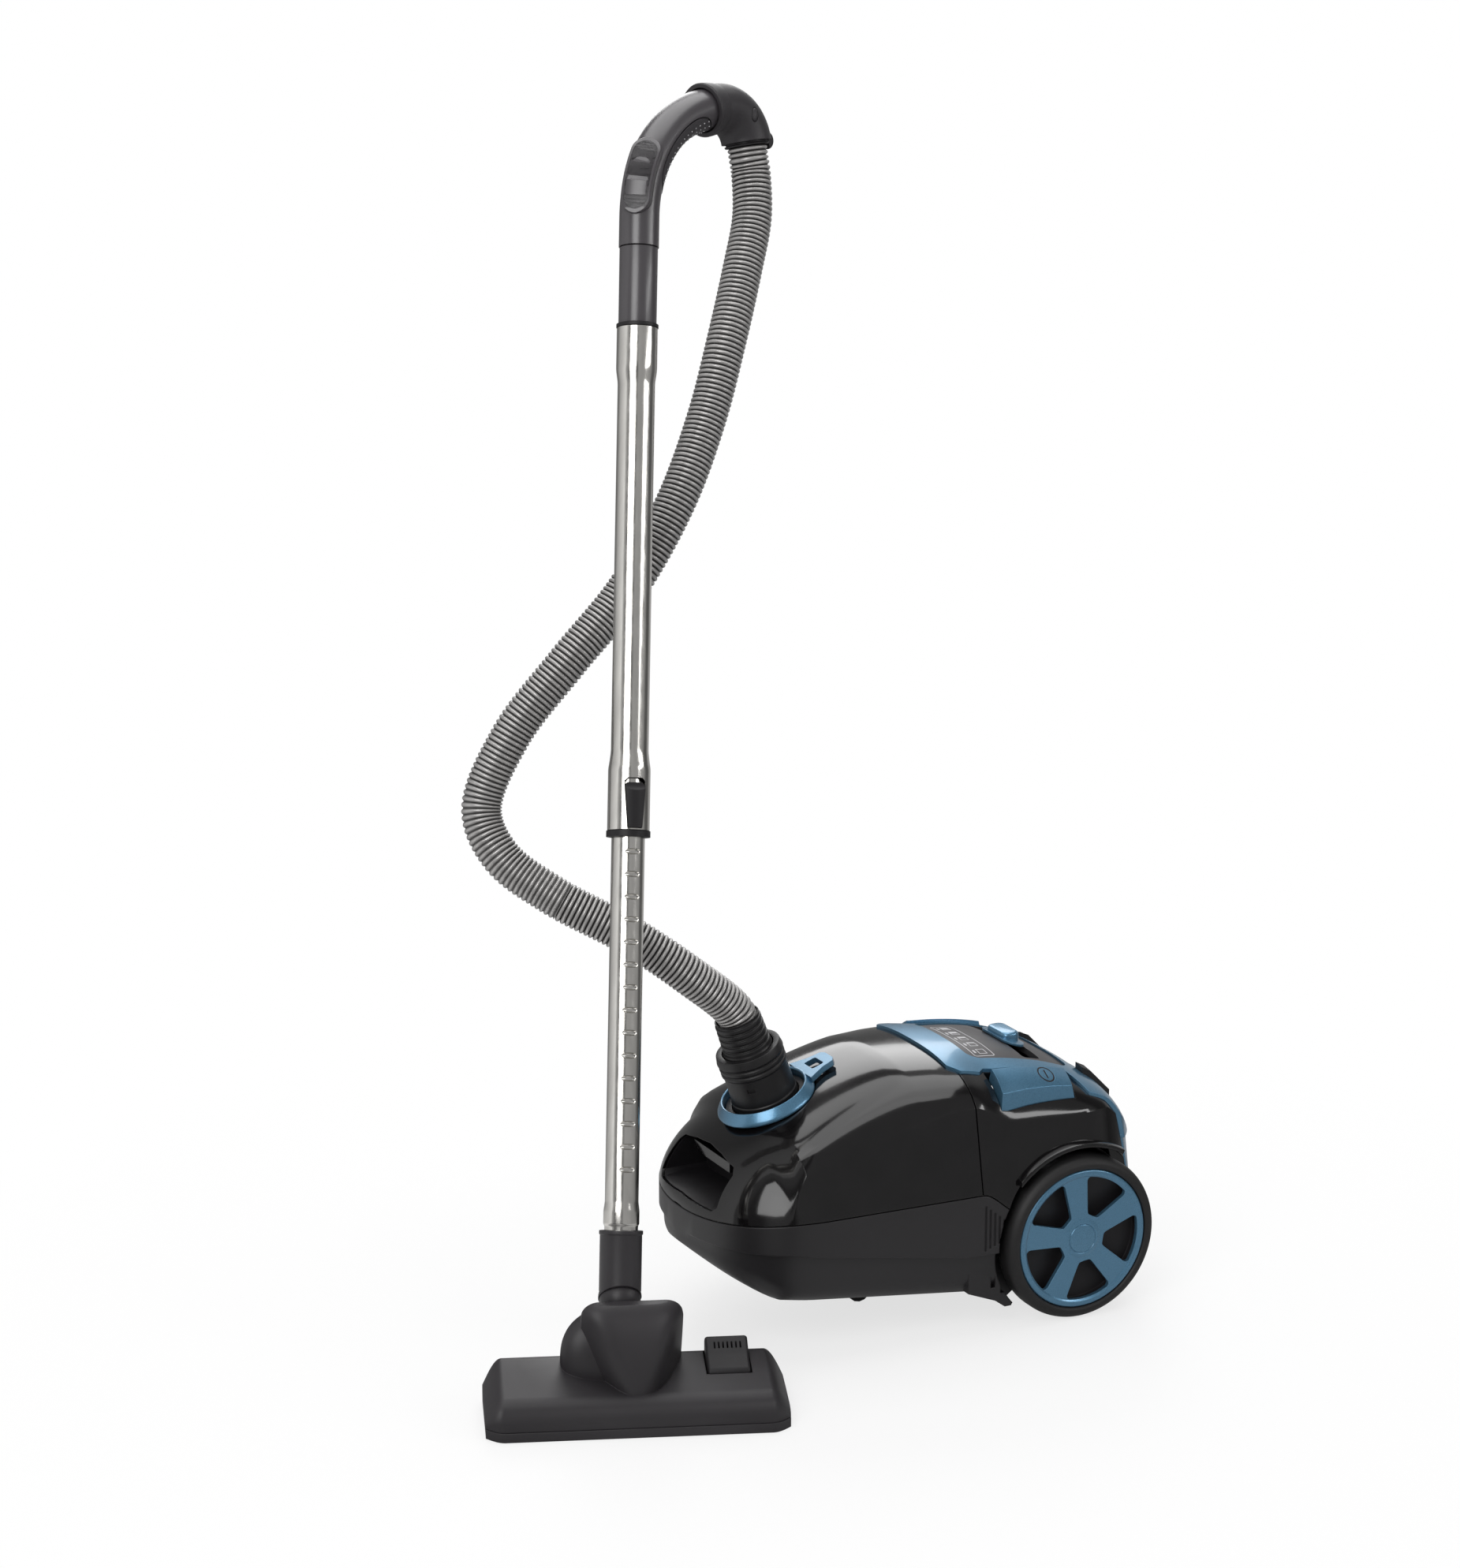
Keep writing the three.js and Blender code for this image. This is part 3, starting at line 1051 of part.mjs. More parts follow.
/** Outline of the head at one station of its width, as [y, z]. */
function headSection(x, inset) {
  const half = HEAD_WIDTH / 2;
  const t = clamp01((half - Math.abs(x)) / 18);
  const round = Math.sin(t * Math.PI / 2);
  const front = 12 * (1 - round) + inset;
  const back = 8 * (1 - round) + inset;
  const low = SOLE_HEIGHT + GAP;
  const lift = (0.32 + 0.68 * round) * (HEAD_HEIGHT - inset - low) / (HEAD_HEIGHT - low);
  const profile = [[0, low], [0.5, 20], [5, 29], [14, 35], [50, 42], [86, 47], [97, 42], [102, 30],
    [HEAD_DEPTH, low]];
  return profile.map(([y, z]) => {
    const depth = front + y * (HEAD_DEPTH - front - back) / HEAD_DEPTH;
    return [depth, z === low ? low - (inset > 0 ? 8 : 0) : low + (z - low) * lift];
  });
}

function headForm(inset) {
  const half = HEAD_WIDTH / 2 - inset;
  const places = [1, 0.983, 0.95, 0.91, 0.87, 0.3].map((f) => f * half);
  const xs = [...places.map((x) => -x), ...places.slice().reverse()];
  return loft(xs.map((x) => headSection(x, inset).map(([y, z]) => new THREE.Vector3(x, y, z))));
}

/** Level outline of the cowl: a nose that is pointed at its foot and broad at its top. */
function cowlSection(z) {
  const { half, front, ridge: crest, rear, low, top, crown } = COWL;
  const t = clamp01((z - low) / (crown - low));
  const tip = crest - (crest - front) * Math.sqrt(1 - t * t);
  const back = rear - (rear - crest - 1) * clamp01((z - low - 11) / (top - low - 11));
  const reach = Math.min((rear - front) * (1 - t) ** 0.8 + 4 * t, back - tip - 1);
  const wide = half * (1 - 0.22 * clamp01((z - top + 14) / 14) ** 2);
  const nose = Array.from({ length: 2 * COWL_STEPS + 1 }, (_, i) => {
    const s = i / COWL_STEPS - 1;
    return [wide * s, tip + reach * Math.abs(s) ** (1.43 + 3.5 * t)];
  });
  return [[-wide, back], ...nose, [wide, back]];
}

/** Cowl in front of the drum, its top edge hiding the neck's joint. */
function cowl(drumX) {
  const levels = [34, 46, 58, 70, 82, 92, 101, 108, COWL.top];
  return loft(levels.map((z) => cowlSection(z).map(([x, y]) => new THREE.Vector3(drumX + COWL.x + x, y, z))));
}

/** Body about the drum's axis, which lies along X. */
const onDrum = (body, drumX) => alongX(body).translate([drumX, DRUM.y, DRUM.z]);

/** Barrel over the drum, rounded off towards both ends. */
function barrelBody() {
  const { left, right, radius } = BARREL;
  const steps = 6;
  const profile = Array.from({ length: steps + 1 }, (_, i) => {
    const t = -Math.cos(Math.PI * i / steps);
    return [radius * (1 - Math.abs(t) ** 2.4) ** (1 / 2.4), t * (t < 0 ? left : right)];
  });
  return revolve(profile, 16);
}

function headHousing(drumX) {
  const above = box(-200, 200, -50, 200, SOLE_HEIGHT + GAP, 200);
  const barrel = onDrum(barrelBody(), drumX);
  const solidHead = common(join(headForm(0), cowl(drumX), barrel), above);
  const hollow = cut(headForm(SHELL), box(drumX - 48, drumX + 44, 48, 200, 0, 200));
  const cavity = onDrum(rod(DRUM.radius + 1, -DRUM.half - RUN, DRUM.half + RUN, 20), drumX);
  const slotHalf = BALL_RADIUS + 1.8;
  const slot = box(drumX - slotHalf, drumX + slotHalf, DRUM.y - BALL_RADIUS - 1, 140, DRUM.z - 2, 140);
  const rocker = box(ROCKER.x - ROCKER.width / 2 - RUN, ROCKER.x + ROCKER.width / 2 + RUN,
    ROCKER.y0 - RUN, ROCKER.y1 + RUN, 24, 80);
  const throat = box(drumX - 20, drumX + 20, 20, DRUM.y, SOLE_HEIGHT - 2, 30);
  const ears = [-1, 1].map((side) => rockerEar(side));
  return join(cut(solidHead, hollow, cavity, slot, rocker, throat), ...ears);
}

/** Pivot stubs of the rocker, standing out from the sides of its recess. */
function rockerEar(side) {
  const x = ROCKER.x + side * (ROCKER.width / 2 + RUN);
  const plate = box(x - (side < 0 ? 2.5 : 0), x + (side > 0 ? 2.5 : 0), 58, 74, 28, 43);
  const stub = alongX(rod(2.5, -2.5, 2.5, 14)).translate([x, 66, 34]);
  return join(plate, stub);
}

/** Rocker with two facets that works the brush strips. */
function brushRocker() {
  const half = ROCKER.width / 2;
  const outline = [[ROCKER.y0, 30], [ROCKER.y0, 37], [ROCKER.y0 + 4, 46], [64, 50], [ROCKER.y1 - 2, 60],
    [ROCKER.y1, 58], [ROCKER.y1, 44], [72, 30]];
  const body = prismX(outline, ROCKER.x - half, ROCKER.x + half);
  const pivot = alongX(rod(3, -60, 60, 16)).translate([ROCKER.x, 66, 34]);
  return cut(body, pivot);
}

/** Sole: runners, suction mouth, brush slots and the pockets of the rollers. */
function solePlate() {
  const half = HEAD_WIDTH / 2;
  const outline = roundedRect(-half, half, 0, HEAD_DEPTH - 1, 9);
  const inner = roundedRect(-half + 3, half - 3, 3, HEAD_DEPTH - 4, 7);
  const plate = prism(outline, 0, SOLE_HEIGHT);
  const mouth = box(-MOUTH.half, MOUTH.half, MOUTH.y0, MOUTH.y1, -1, 20);
  const relief = cut(prism(inner, 3, SOLE_HEIGHT + 1), box(-half, half, MOUTH.y0 - 3, MOUTH.y1 + 3, 0, 20));
  const slots = [BRUSH.front, BRUSH.rear].map((y) => box(-BRUSH.half - RUN, BRUSH.half + RUN,
    y - BRUSH.thick / 2 - RUN, y + BRUSH.thick / 2 + RUN, -1, 20));
  const { x, y, radius, width } = ROLLER;
  const pockets = [-x, x].map((at) => join(
    box(at - width / 2 - RUN, at + width / 2 + RUN, y - radius - RUN, y + radius + RUN, -1, 20),
    box(at - width / 2 - 4, at + width / 2 + 4, y - 2.4, y + 2.4, radius - 2.4, 20)));
  return cut(plate, mouth, relief, ...slots, ...pockets);
}

/** Two brush strips hanging from one carrier. */
function brushStrips() {
  const { half, thick, front, rear } = BRUSH;
  const bars = [front, rear].map((y) => join(
    box(-half, half, y - thick / 2, y + thick / 2, 1, 18),
    box(-half, half, y - thick / 2 - 0.5, y + thick / 2 + 0.5, 15, 19)));
  const links = [-70, 70].map((x) => box(x - 4, x + 4, front, rear, 16, 19));
  return join(...bars, ...links);
}

function headRoller(side) {
  const { radius, width, x, y } = ROLLER;
  const body = revolve([[0, -width / 2 - 3.4], [2, -width / 2 - 3.4], [2, -width / 2], [radius - 1, -width / 2],
    [radius, -width / 2 + 1], [radius, width / 2 - 1], [radius - 1, width / 2], [2, width / 2],
    [2, width / 2 + 3.4], [0, width / 2 + 3.4]], 12);
  return alongX(body).translate([side * x, y, radius]);
}

/** Elbow of the neck: drum, stub, ball end and the spigot of the swivel. */
function neckElbow(drumX, swivelAt, swivel) {
  const drum = onDrum(rod(DRUM.radius, -DRUM.half, DRUM.half, 20), drumX);
  const foot = new THREE.Vector3(drumX, DRUM.y, DRUM.z);
  const up = swivelAt.clone().sub(foot);
  const length = up.length();
  const along = (body) => {
    const turn = new THREE.Quaternion().setFromUnitVectors(new THREE.Vector3(0, 0, 1), up.clone().normalize());
    return placed(body, turn, foot);
  };
  const stub = along(rod(BALL_RADIUS - 1.2, 0, length, 16));
  const ball = solid(new THREE.SphereGeometry(BALL_RADIUS, 14, 8)).translate(swivelAt.toArray());
  const above = cut(box(-300, 300, -300, 300, -300, 300), halfSpace(swivel, -GAP / 2))
    .translate(swivelAt.toArray());
  const tilt = new THREE.Quaternion().setFromUnitVectors(new THREE.Vector3(0, 0, 1), swivel);
  const spigot = placed(pipe(8, 11, -12, 4, 12), tilt, swivelAt);
  const airway = join(along(rod(10, 6, length - 4, 10)), placed(rod(8, -14, 10, 12), tilt, swivelAt),
    onDrum(rod(12, -14, 14, 10), drumX), box(drumX - 12, drumX + 12, DRUM.y - 40, DRUM.y, DRUM.z - 22, DRUM.z));
  return cut(join(cut(join(drum, stub, ball), above), spigot), airway);
}

/** A body turned by a quaternion and moved. */
function placed(body, turn, at) {
  const e = new THREE.Matrix4().compose(at, turn, new THREE.Vector3(1, 1, 1)).elements;
  return body.transform([...e]);
}

// ---------- hose ----------

/** Stretch of a longer curve, between two shares of its length. */
class Stretch extends THREE.Curve {
  constructor(whole, from, to) {
    super();
    Object.assign(this, { whole, from, to });
  }

  getPoint(t, target = new THREE.Vector3()) {
    return target.copy(this.whole.getPointAt(this.from + (this.to - this.from) * t));
  }
}

/** Plain tube along a stretch of the hose. */
function hoseTube(curve) {
  const section = new THREE.Shape(circle(HOSE_RADIUS, 10).map(([x, y]) => new THREE.Vector2(x, y)));
  const steps = Math.round(curve.getLength() / (2.4 * HOSE_RADIUS));
  return solid(new THREE.ExtrudeGeometry(section, { steps, bevelEnabled: false, extrudePath: curve }));
}

// ---------- assembly ----------

const SIDES = [['left', 1], ['right', -1]];

function buildCanister() {
  const group = new THREE.Group();
  group.position.set(CANISTER_AT.x, CANISTER_AT.y, 0);
  addPart(group, 'chassis', chassis(), MATTE_BLACK);
  addPart(group, 'lid_shell', lidShell(), GLOSS_BLACK);
  addPart(group, 'grip_pocket', gripPocket(), MATTE_BLACK);
  addPart(group, 'latch_lever', latchLever(), GLOSS_BLACK);
  addPart(group, 'inlet_socket', inletSocket(), MATTE_BLACK);
  addPart(group, 'inlet_ring', inletRing(), BLUE);
  addPart(group, 'hose_cuff', hoseCuff(), MATTE_BLACK);
  addPart(group, 'cuff_sleeve', cuffSleeve(), MATTE_BLACK);
  addPart(group, 'lid_seal', lidSeal(), RUBBER);
  addPart(group, 'rear_cover', rearCover(), GLOSS_BLACK);
  addPart(group, 'control_frame', controlFrame(), BLUE);
  addPart(group, 'control_inset', controlInset(), PANEL_GREY);
  addPart(group, 'rear_panel', rearPanel(), BLUE);
  addPart(group, 'power_slider', powerSlider(), BLUE);
  addPart(group, 'exhaust_grille', exhaustGrille(), MATTE_BLACK);
  addPart(group, 'exhaust_filter', exhaustFilter(), WHITE_FELT);
  addPart(group, 'motor_housing', motorHousing(), MATTE_BLACK);
  addPart(group, 'motor_fan', motorFan(), STEEL);
  addPart(group, 'cord_reel', cordReel(), MATTE_BLACK);
  addPart(group, 'circuit_board', circuitBoard(), GREEN);
  addPart(group, 'motor_filter', motorFilter(), WHITE_FELT);
  addPart(group, 'bag_holder', bagHolder(), CARD);
  addPart(group, 'dust_bag', dustBag(), WHITE_FELT);
  addPart(group, 'caster_fork', casterFork(), MATTE_BLACK);
  addPart(group, 'caster_wheel', casterWheel(), RUBBER);
  SIDES.forEach(([name, side]) => {
    addPart(group, `pedal_${name}`, pedal(side), BLUE);
    addPart(group, `pedal_spring_${name}`, pedalSpring(side), STEEL);
    addPart(group, `parking_foot_${name}`, parkingFoot(side), RUBBER);
    addPart(group, `axle_${name}`, axle(side), STEEL);
    addPart(group, `tyre_${name}`, tyre(side), RUBBER);
    addPart(group, `wheel_core_${name}`, wheelCore(side), MATTE_BLACK);
    addPart(group, `wheel_rim_${name}`, wheelRim(side), BLUE);
  });
  return group;
}

/** Turns +Z to the tube's axis and -Y to its front. */
function tubeTurn() {
  const up = new THREE.Vector3(TUBE_AXIS.x, TUBE_AXIS.y, TUBE_AXIS.z).normalize();
  const back = new THREE.Vector3(-TUBE_FRONT.x, -TUBE_FRONT.y, 0);
  const right = back.cross(up).normalize();
  return new THREE.Quaternion().setFromRotationMatrix(
    new THREE.Matrix4().makeBasis(right, up.clone().cross(right), up));
}

/** The swivel's axis in the world: back from the head and up. */
function swivelAxis() {
  const lean = rad(SWIVEL_LEAN);
  return new THREE.Vector3(0, Math.sin(lean), Math.cos(lean)).applyAxisAngle(
    new THREE.Vector3(0, 0, 1), rad(HEAD_TURN));
}

function buildTube() {
  const group = new THREE.Group();
  group.position.set(TUBE_AT.x, TUBE_AT.y, TUBE_AT.z);
  group.quaternion.copy(tubeTurn());
  const swivel = swivelAxis().applyQuaternion(group.quaternion.clone().invert());
  addPart(group, 'neck', neck(swivel), SATIN_GREY);
  addPart(group, 'inner_tube', innerTube(), CHROME);
  addPart(group, 'outer_tube', outerTube(), CHROME);
  addPart(group, 'tube_end_ring', endRing(), MATTE_BLACK);
  addPart(group, 'lock_button', lockButton(), MATTE_BLACK);
  addPart(group, 'tube_collar', tubeCollar(), MATTE_BLACK);
  const handle = new THREE.Group();
  handle.name = 'handle';
  handle.position.z = OUTER_END;
  handle.rotation.z = rad(HANDLE_TURN);
  group.add(handle);
  addPart(handle, 'handle_tube', handleTube(), SATIN_GREY);
  addPart(handle, 'handle_grip', handleGrip(), SATIN_GREY);
  addPart(handle, 'grip_insert', insertBody(0), RUBBER);
  addPart(handle, 'valve_slider', valveSlider(), SATIN_GREY);
  addPart(handle, 'hose_elbow', hoseElbow(), SATIN_GREY);
  addPart(handle, 'hose_swivel', hoseSwivel(), MATTE_BLACK);
  return group;
}

/** Point on the hose's axis below the elbow, in the handle's frame. */
function belowElbow(distance) {
  const a = rad(ELBOW_END);
  const [x, , z] = elbowShift();
  return new THREE.Vector3(x + ELBOW_BEND - ELBOW_BEND * Math.cos(a) + distance * Math.sin(a), 0,
    z + ELBOW_BEND * Math.sin(a) + distance * Math.cos(a));
}

/** Point on the inlet's axis, in the canister's frame. */
function overInlet(distance) {
  const lean = rad(INLET_LEAN);
  return new THREE.Vector3(INLET.x - distance * Math.sin(lean), 0, INLET.z + distance * Math.cos(lean));
}

/** Whole line of the hose, from below the handle's swivel to inside the canister's sleeve. */
function hoseLine(tube, canister) {
  const handle = tube.getObjectByName('handle');
  const first = [SWIVEL_LIP + GAP, 16, 30].map((d) => handle.localToWorld(belowElbow(d)));
  const seat = 8 + CUFF_LENGTH - 6 + 2 * GAP;
  const last = [seat + 44, seat + 20, seat].map((d) => canister.localToWorld(overInlet(d)));
  const free = HOSE_ROUTE.map(([x, y, z]) => new THREE.Vector3(x, y, z));
  return new THREE.CatmullRomCurve3([...first, ...free, ...last]);
}

function buildHose(line) {
  const group = new THREE.Group();
  const half = GAP / line.getLength() / 2;
  addPart(group, 'hose_upper', hoseTube(new Stretch(line, 0, HOSE_SPLIT - half)), HOSE_GREY);
  addPart(group, 'hose_lower', hoseTube(new Stretch(line, HOSE_SPLIT + half, 1)), HOSE_GREY);
  return group;
}

function buildHead() {
  const group = new THREE.Group();
  group.position.set(HEAD_AT.x, HEAD_AT.y, 0);
  group.rotation.z = rad(HEAD_TURN);
  group.updateMatrixWorld();
  const axis = new THREE.Vector3(TUBE_AXIS.x, TUBE_AXIS.y, TUBE_AXIS.z).normalize();
  const swivelAt = new THREE.Vector3(TUBE_AT.x, TUBE_AT.y, TUBE_AT.z).addScaledVector(axis, -NECK_DROP);
  group.worldToLocal(swivelAt);
  const swivel = swivelAxis().applyQuaternion(group.quaternion.clone().invert());
  const drumX = swivelAt.x;
  addPart(group, 'head_housing', headHousing(drumX), SATIN_GREY);
  addPart(group, 'sole_plate', solePlate(), MATTE_BLACK);
  addPart(group, 'neck_elbow', neckElbow(drumX, swivelAt, swivel), SATIN_GREY);
  addPart(group, 'brush_rocker', brushRocker(), SATIN_GREY);
  addPart(group, 'brush_strips', brushStrips(), BRISTLE);
  SIDES.forEach(([name, side]) => addPart(group, `head_roller_${name}`, headRoller(-side), MATTE_BLACK));
  return group;
}

const vacuum = new THREE.Group();
const canister = buildCanister();
const tube = buildTube();
vacuum.add(canister, tube, buildHead());
vacuum.updateMatrixWorld(true);
vacuum.add(buildHose(hoseLine(tube, canister)));

export default vacuum;
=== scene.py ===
"""Looks of the canister vacuum cleaner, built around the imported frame.

Shapes are made in millimetres in the frames of the canister, the tube, the handle and the floor
head, and are turned to metres in the row frame when they become pieces.
"""

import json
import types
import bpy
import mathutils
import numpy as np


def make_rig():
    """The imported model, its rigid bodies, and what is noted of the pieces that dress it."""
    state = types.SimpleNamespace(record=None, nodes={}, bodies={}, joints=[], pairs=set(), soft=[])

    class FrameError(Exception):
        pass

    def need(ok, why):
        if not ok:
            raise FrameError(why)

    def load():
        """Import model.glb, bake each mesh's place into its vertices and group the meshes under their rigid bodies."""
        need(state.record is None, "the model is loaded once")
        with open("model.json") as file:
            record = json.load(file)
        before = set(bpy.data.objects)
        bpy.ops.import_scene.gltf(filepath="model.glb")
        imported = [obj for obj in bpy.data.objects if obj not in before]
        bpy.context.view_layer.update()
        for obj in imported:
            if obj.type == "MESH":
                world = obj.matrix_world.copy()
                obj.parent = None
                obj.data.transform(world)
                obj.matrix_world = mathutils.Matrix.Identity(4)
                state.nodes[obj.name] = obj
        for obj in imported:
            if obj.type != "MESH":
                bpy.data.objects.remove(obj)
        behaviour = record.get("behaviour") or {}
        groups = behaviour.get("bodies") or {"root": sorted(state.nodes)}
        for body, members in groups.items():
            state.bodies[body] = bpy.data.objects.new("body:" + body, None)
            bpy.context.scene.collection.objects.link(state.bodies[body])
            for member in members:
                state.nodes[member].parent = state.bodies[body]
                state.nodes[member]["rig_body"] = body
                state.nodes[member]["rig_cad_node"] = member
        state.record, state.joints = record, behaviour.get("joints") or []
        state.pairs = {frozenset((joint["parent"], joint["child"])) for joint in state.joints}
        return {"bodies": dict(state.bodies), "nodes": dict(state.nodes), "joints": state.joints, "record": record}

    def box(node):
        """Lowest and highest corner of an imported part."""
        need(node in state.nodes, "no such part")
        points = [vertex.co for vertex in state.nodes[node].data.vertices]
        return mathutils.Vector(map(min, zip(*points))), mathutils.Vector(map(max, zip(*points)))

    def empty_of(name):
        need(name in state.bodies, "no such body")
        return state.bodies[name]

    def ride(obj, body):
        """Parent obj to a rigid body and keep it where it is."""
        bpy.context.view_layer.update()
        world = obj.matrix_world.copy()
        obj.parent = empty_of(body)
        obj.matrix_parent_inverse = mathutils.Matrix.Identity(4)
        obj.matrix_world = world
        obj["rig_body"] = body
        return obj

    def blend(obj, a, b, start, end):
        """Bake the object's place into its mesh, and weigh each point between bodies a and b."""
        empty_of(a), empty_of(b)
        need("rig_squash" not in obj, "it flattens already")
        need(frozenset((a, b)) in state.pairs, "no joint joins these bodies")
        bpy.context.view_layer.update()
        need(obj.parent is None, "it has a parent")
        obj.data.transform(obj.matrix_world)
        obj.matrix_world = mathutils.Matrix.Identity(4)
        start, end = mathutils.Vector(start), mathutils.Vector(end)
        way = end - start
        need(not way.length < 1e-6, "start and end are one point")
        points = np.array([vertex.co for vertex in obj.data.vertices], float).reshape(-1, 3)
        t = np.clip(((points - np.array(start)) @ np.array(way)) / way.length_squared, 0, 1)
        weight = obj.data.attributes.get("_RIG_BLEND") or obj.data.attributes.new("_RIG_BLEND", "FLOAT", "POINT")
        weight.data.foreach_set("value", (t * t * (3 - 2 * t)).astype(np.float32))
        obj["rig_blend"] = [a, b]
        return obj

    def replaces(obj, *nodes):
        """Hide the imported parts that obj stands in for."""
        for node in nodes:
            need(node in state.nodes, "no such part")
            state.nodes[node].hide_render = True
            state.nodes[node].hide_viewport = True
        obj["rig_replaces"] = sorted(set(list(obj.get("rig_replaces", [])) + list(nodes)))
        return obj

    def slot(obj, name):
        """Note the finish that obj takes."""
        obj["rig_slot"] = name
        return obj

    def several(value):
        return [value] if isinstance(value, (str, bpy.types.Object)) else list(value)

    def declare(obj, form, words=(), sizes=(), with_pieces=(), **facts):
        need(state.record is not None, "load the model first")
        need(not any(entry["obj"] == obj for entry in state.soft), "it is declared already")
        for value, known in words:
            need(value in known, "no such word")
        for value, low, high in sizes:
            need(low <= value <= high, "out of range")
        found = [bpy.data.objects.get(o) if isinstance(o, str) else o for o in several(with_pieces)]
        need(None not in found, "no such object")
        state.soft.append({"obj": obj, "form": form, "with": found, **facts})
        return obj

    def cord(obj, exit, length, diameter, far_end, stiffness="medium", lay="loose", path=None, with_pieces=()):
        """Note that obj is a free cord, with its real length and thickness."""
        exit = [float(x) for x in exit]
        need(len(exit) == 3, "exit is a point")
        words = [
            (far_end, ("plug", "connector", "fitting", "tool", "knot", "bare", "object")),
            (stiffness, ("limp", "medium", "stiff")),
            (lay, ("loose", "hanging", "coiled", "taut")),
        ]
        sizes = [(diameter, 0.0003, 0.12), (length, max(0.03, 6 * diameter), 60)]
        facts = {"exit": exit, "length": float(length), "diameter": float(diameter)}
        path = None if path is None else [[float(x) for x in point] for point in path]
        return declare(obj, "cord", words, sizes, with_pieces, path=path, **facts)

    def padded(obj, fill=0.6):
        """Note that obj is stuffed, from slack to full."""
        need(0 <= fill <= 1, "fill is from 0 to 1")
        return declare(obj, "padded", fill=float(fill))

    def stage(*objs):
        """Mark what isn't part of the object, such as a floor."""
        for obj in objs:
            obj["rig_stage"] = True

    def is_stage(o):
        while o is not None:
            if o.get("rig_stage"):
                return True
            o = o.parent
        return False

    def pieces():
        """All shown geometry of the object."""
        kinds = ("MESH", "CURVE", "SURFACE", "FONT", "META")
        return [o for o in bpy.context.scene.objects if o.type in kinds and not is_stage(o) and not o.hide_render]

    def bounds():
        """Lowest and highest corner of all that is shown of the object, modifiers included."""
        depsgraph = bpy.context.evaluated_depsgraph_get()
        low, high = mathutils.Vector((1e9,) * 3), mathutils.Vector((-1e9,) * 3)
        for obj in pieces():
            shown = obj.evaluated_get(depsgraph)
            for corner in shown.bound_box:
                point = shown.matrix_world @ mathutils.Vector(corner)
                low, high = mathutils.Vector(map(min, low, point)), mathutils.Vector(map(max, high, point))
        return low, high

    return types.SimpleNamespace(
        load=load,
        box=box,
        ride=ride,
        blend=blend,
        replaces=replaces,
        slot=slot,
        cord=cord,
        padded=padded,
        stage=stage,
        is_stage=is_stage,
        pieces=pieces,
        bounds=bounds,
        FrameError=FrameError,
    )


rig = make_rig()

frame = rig.load()

import json
from math import copysign, cos, degrees, exp, pi, radians, sin, sqrt
from types import SimpleNamespace as Sizes

import bmesh
import bpy
from mathutils import Matrix, Vector
from mathutils.bvhtree import BVHTree
from mathutils.geometry import barycentric_transform

CAD_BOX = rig.bounds()
NODES = frame["nodes"]

# ---------- sizes, as in the part's source, in millimetres ----------

METRE = 1000
GAP = 0.35
RUN = 0.6
CANISTER_AT = (266, -6, 0)
HEAD_AT = (-242.8, -208.6, 0)
HEAD_TURN = -21

NOSE_X, TAIL_X = -372, 102
BODY_HALF_WIDTH, BODY_FLARE = 128, 7
NOSE_LENGTH, TAIL_LENGTH = 104, 98
RIDGE_Z, RIDGE_X = 262, -165
NOSE_Z, TAIL_Z = 135, 60
SEAM_Z, SEAM_DROP, SEAM_NOSE_DROP = 143, 23, 9
SHELL = 3
SEAM_LINE = 1.3
GRIP_BACK_X = -308
LID_REAR_X = -109
FLOOR_Z, FLOOR_RISE = 34, 22
SKIRT_INSET = 7
BULKHEAD_X = -110

CASTER = Sizes(x=-184, pin=4, top=53, boss=17, boss_low=35, boss_high=57)
CORD_OUTLET = Sizes(radius=6, y=-52, z=104)
BAG_WINDOW = (46, 62, 124)

WHEEL_RADIUS, WHEEL_WIDTH, WHEEL_FACE_Y = 83, 30, 141
RIM_RADIUS, WELL_RADIUS, WELL_Y = 70.5, 91, 104
AXLE_RADIUS = 5
SPOKES, SPOKE_TURN, HUB_RADIUS = 5, 44, 14

INLET = (-275, 0, 223)
INLET_LEAN = 20
SOCKET_RADIUS, SOCKET_LIP, RING_RADIUS = 37, 3.6, 45.5
CUFF_RADIUS, CUFF_TOP, CUFF_SEAT = 33, 64, 6
SLEEVE_RADIUS, SLEEVE_LENGTH = 24, 38

PANEL = Sizes(front=-117, half_front=82, half=77, rear=103, top=3, bed=5, deck=6.9)
DECK_LOW = -PANEL.deck - SHELL
INSET = Sizes(front=-84, rear=26, half_front=60, half_rear=66, top=1)
SLOT = Sizes(x=-12, width=20, half=56)
SLIDER_HALF = 31
PEDAL = Sizes(front=-80, rear=12, inner=79, outer=111, height=8, slant=7)
GRILLE = Sizes(front=37, half=44, low=172, louvres=9, slit=3)
REAR_PANEL = Sizes(top=165, bottom=128)

HOSE_RADIUS = 19.5
HOSE_SPLIT = 0.775
HOSE_ROUTE = [
    (84.5, 213.9, 1050), (64, 194, 1002), (33.9, 168.1, 938), (1.9, 147, 868), (-42, 126, 792),
    (-98, 118, 714), (-161, 117, 650), (-218.7, 122.4, 582), (-250, 121, 514),
    (-240.3, 98.7, 473), (-201.7, 66.5, 438), (-139.7, 27.5, 400), (-89.5, 2, 361)]
HOSE_HELD = 42
RIB_PITCH = 4.9
RIB_DEPTH = 2.5
RIB_STEPS, SPAN_STEPS, HOSE_SIDES = 8, 60, 40

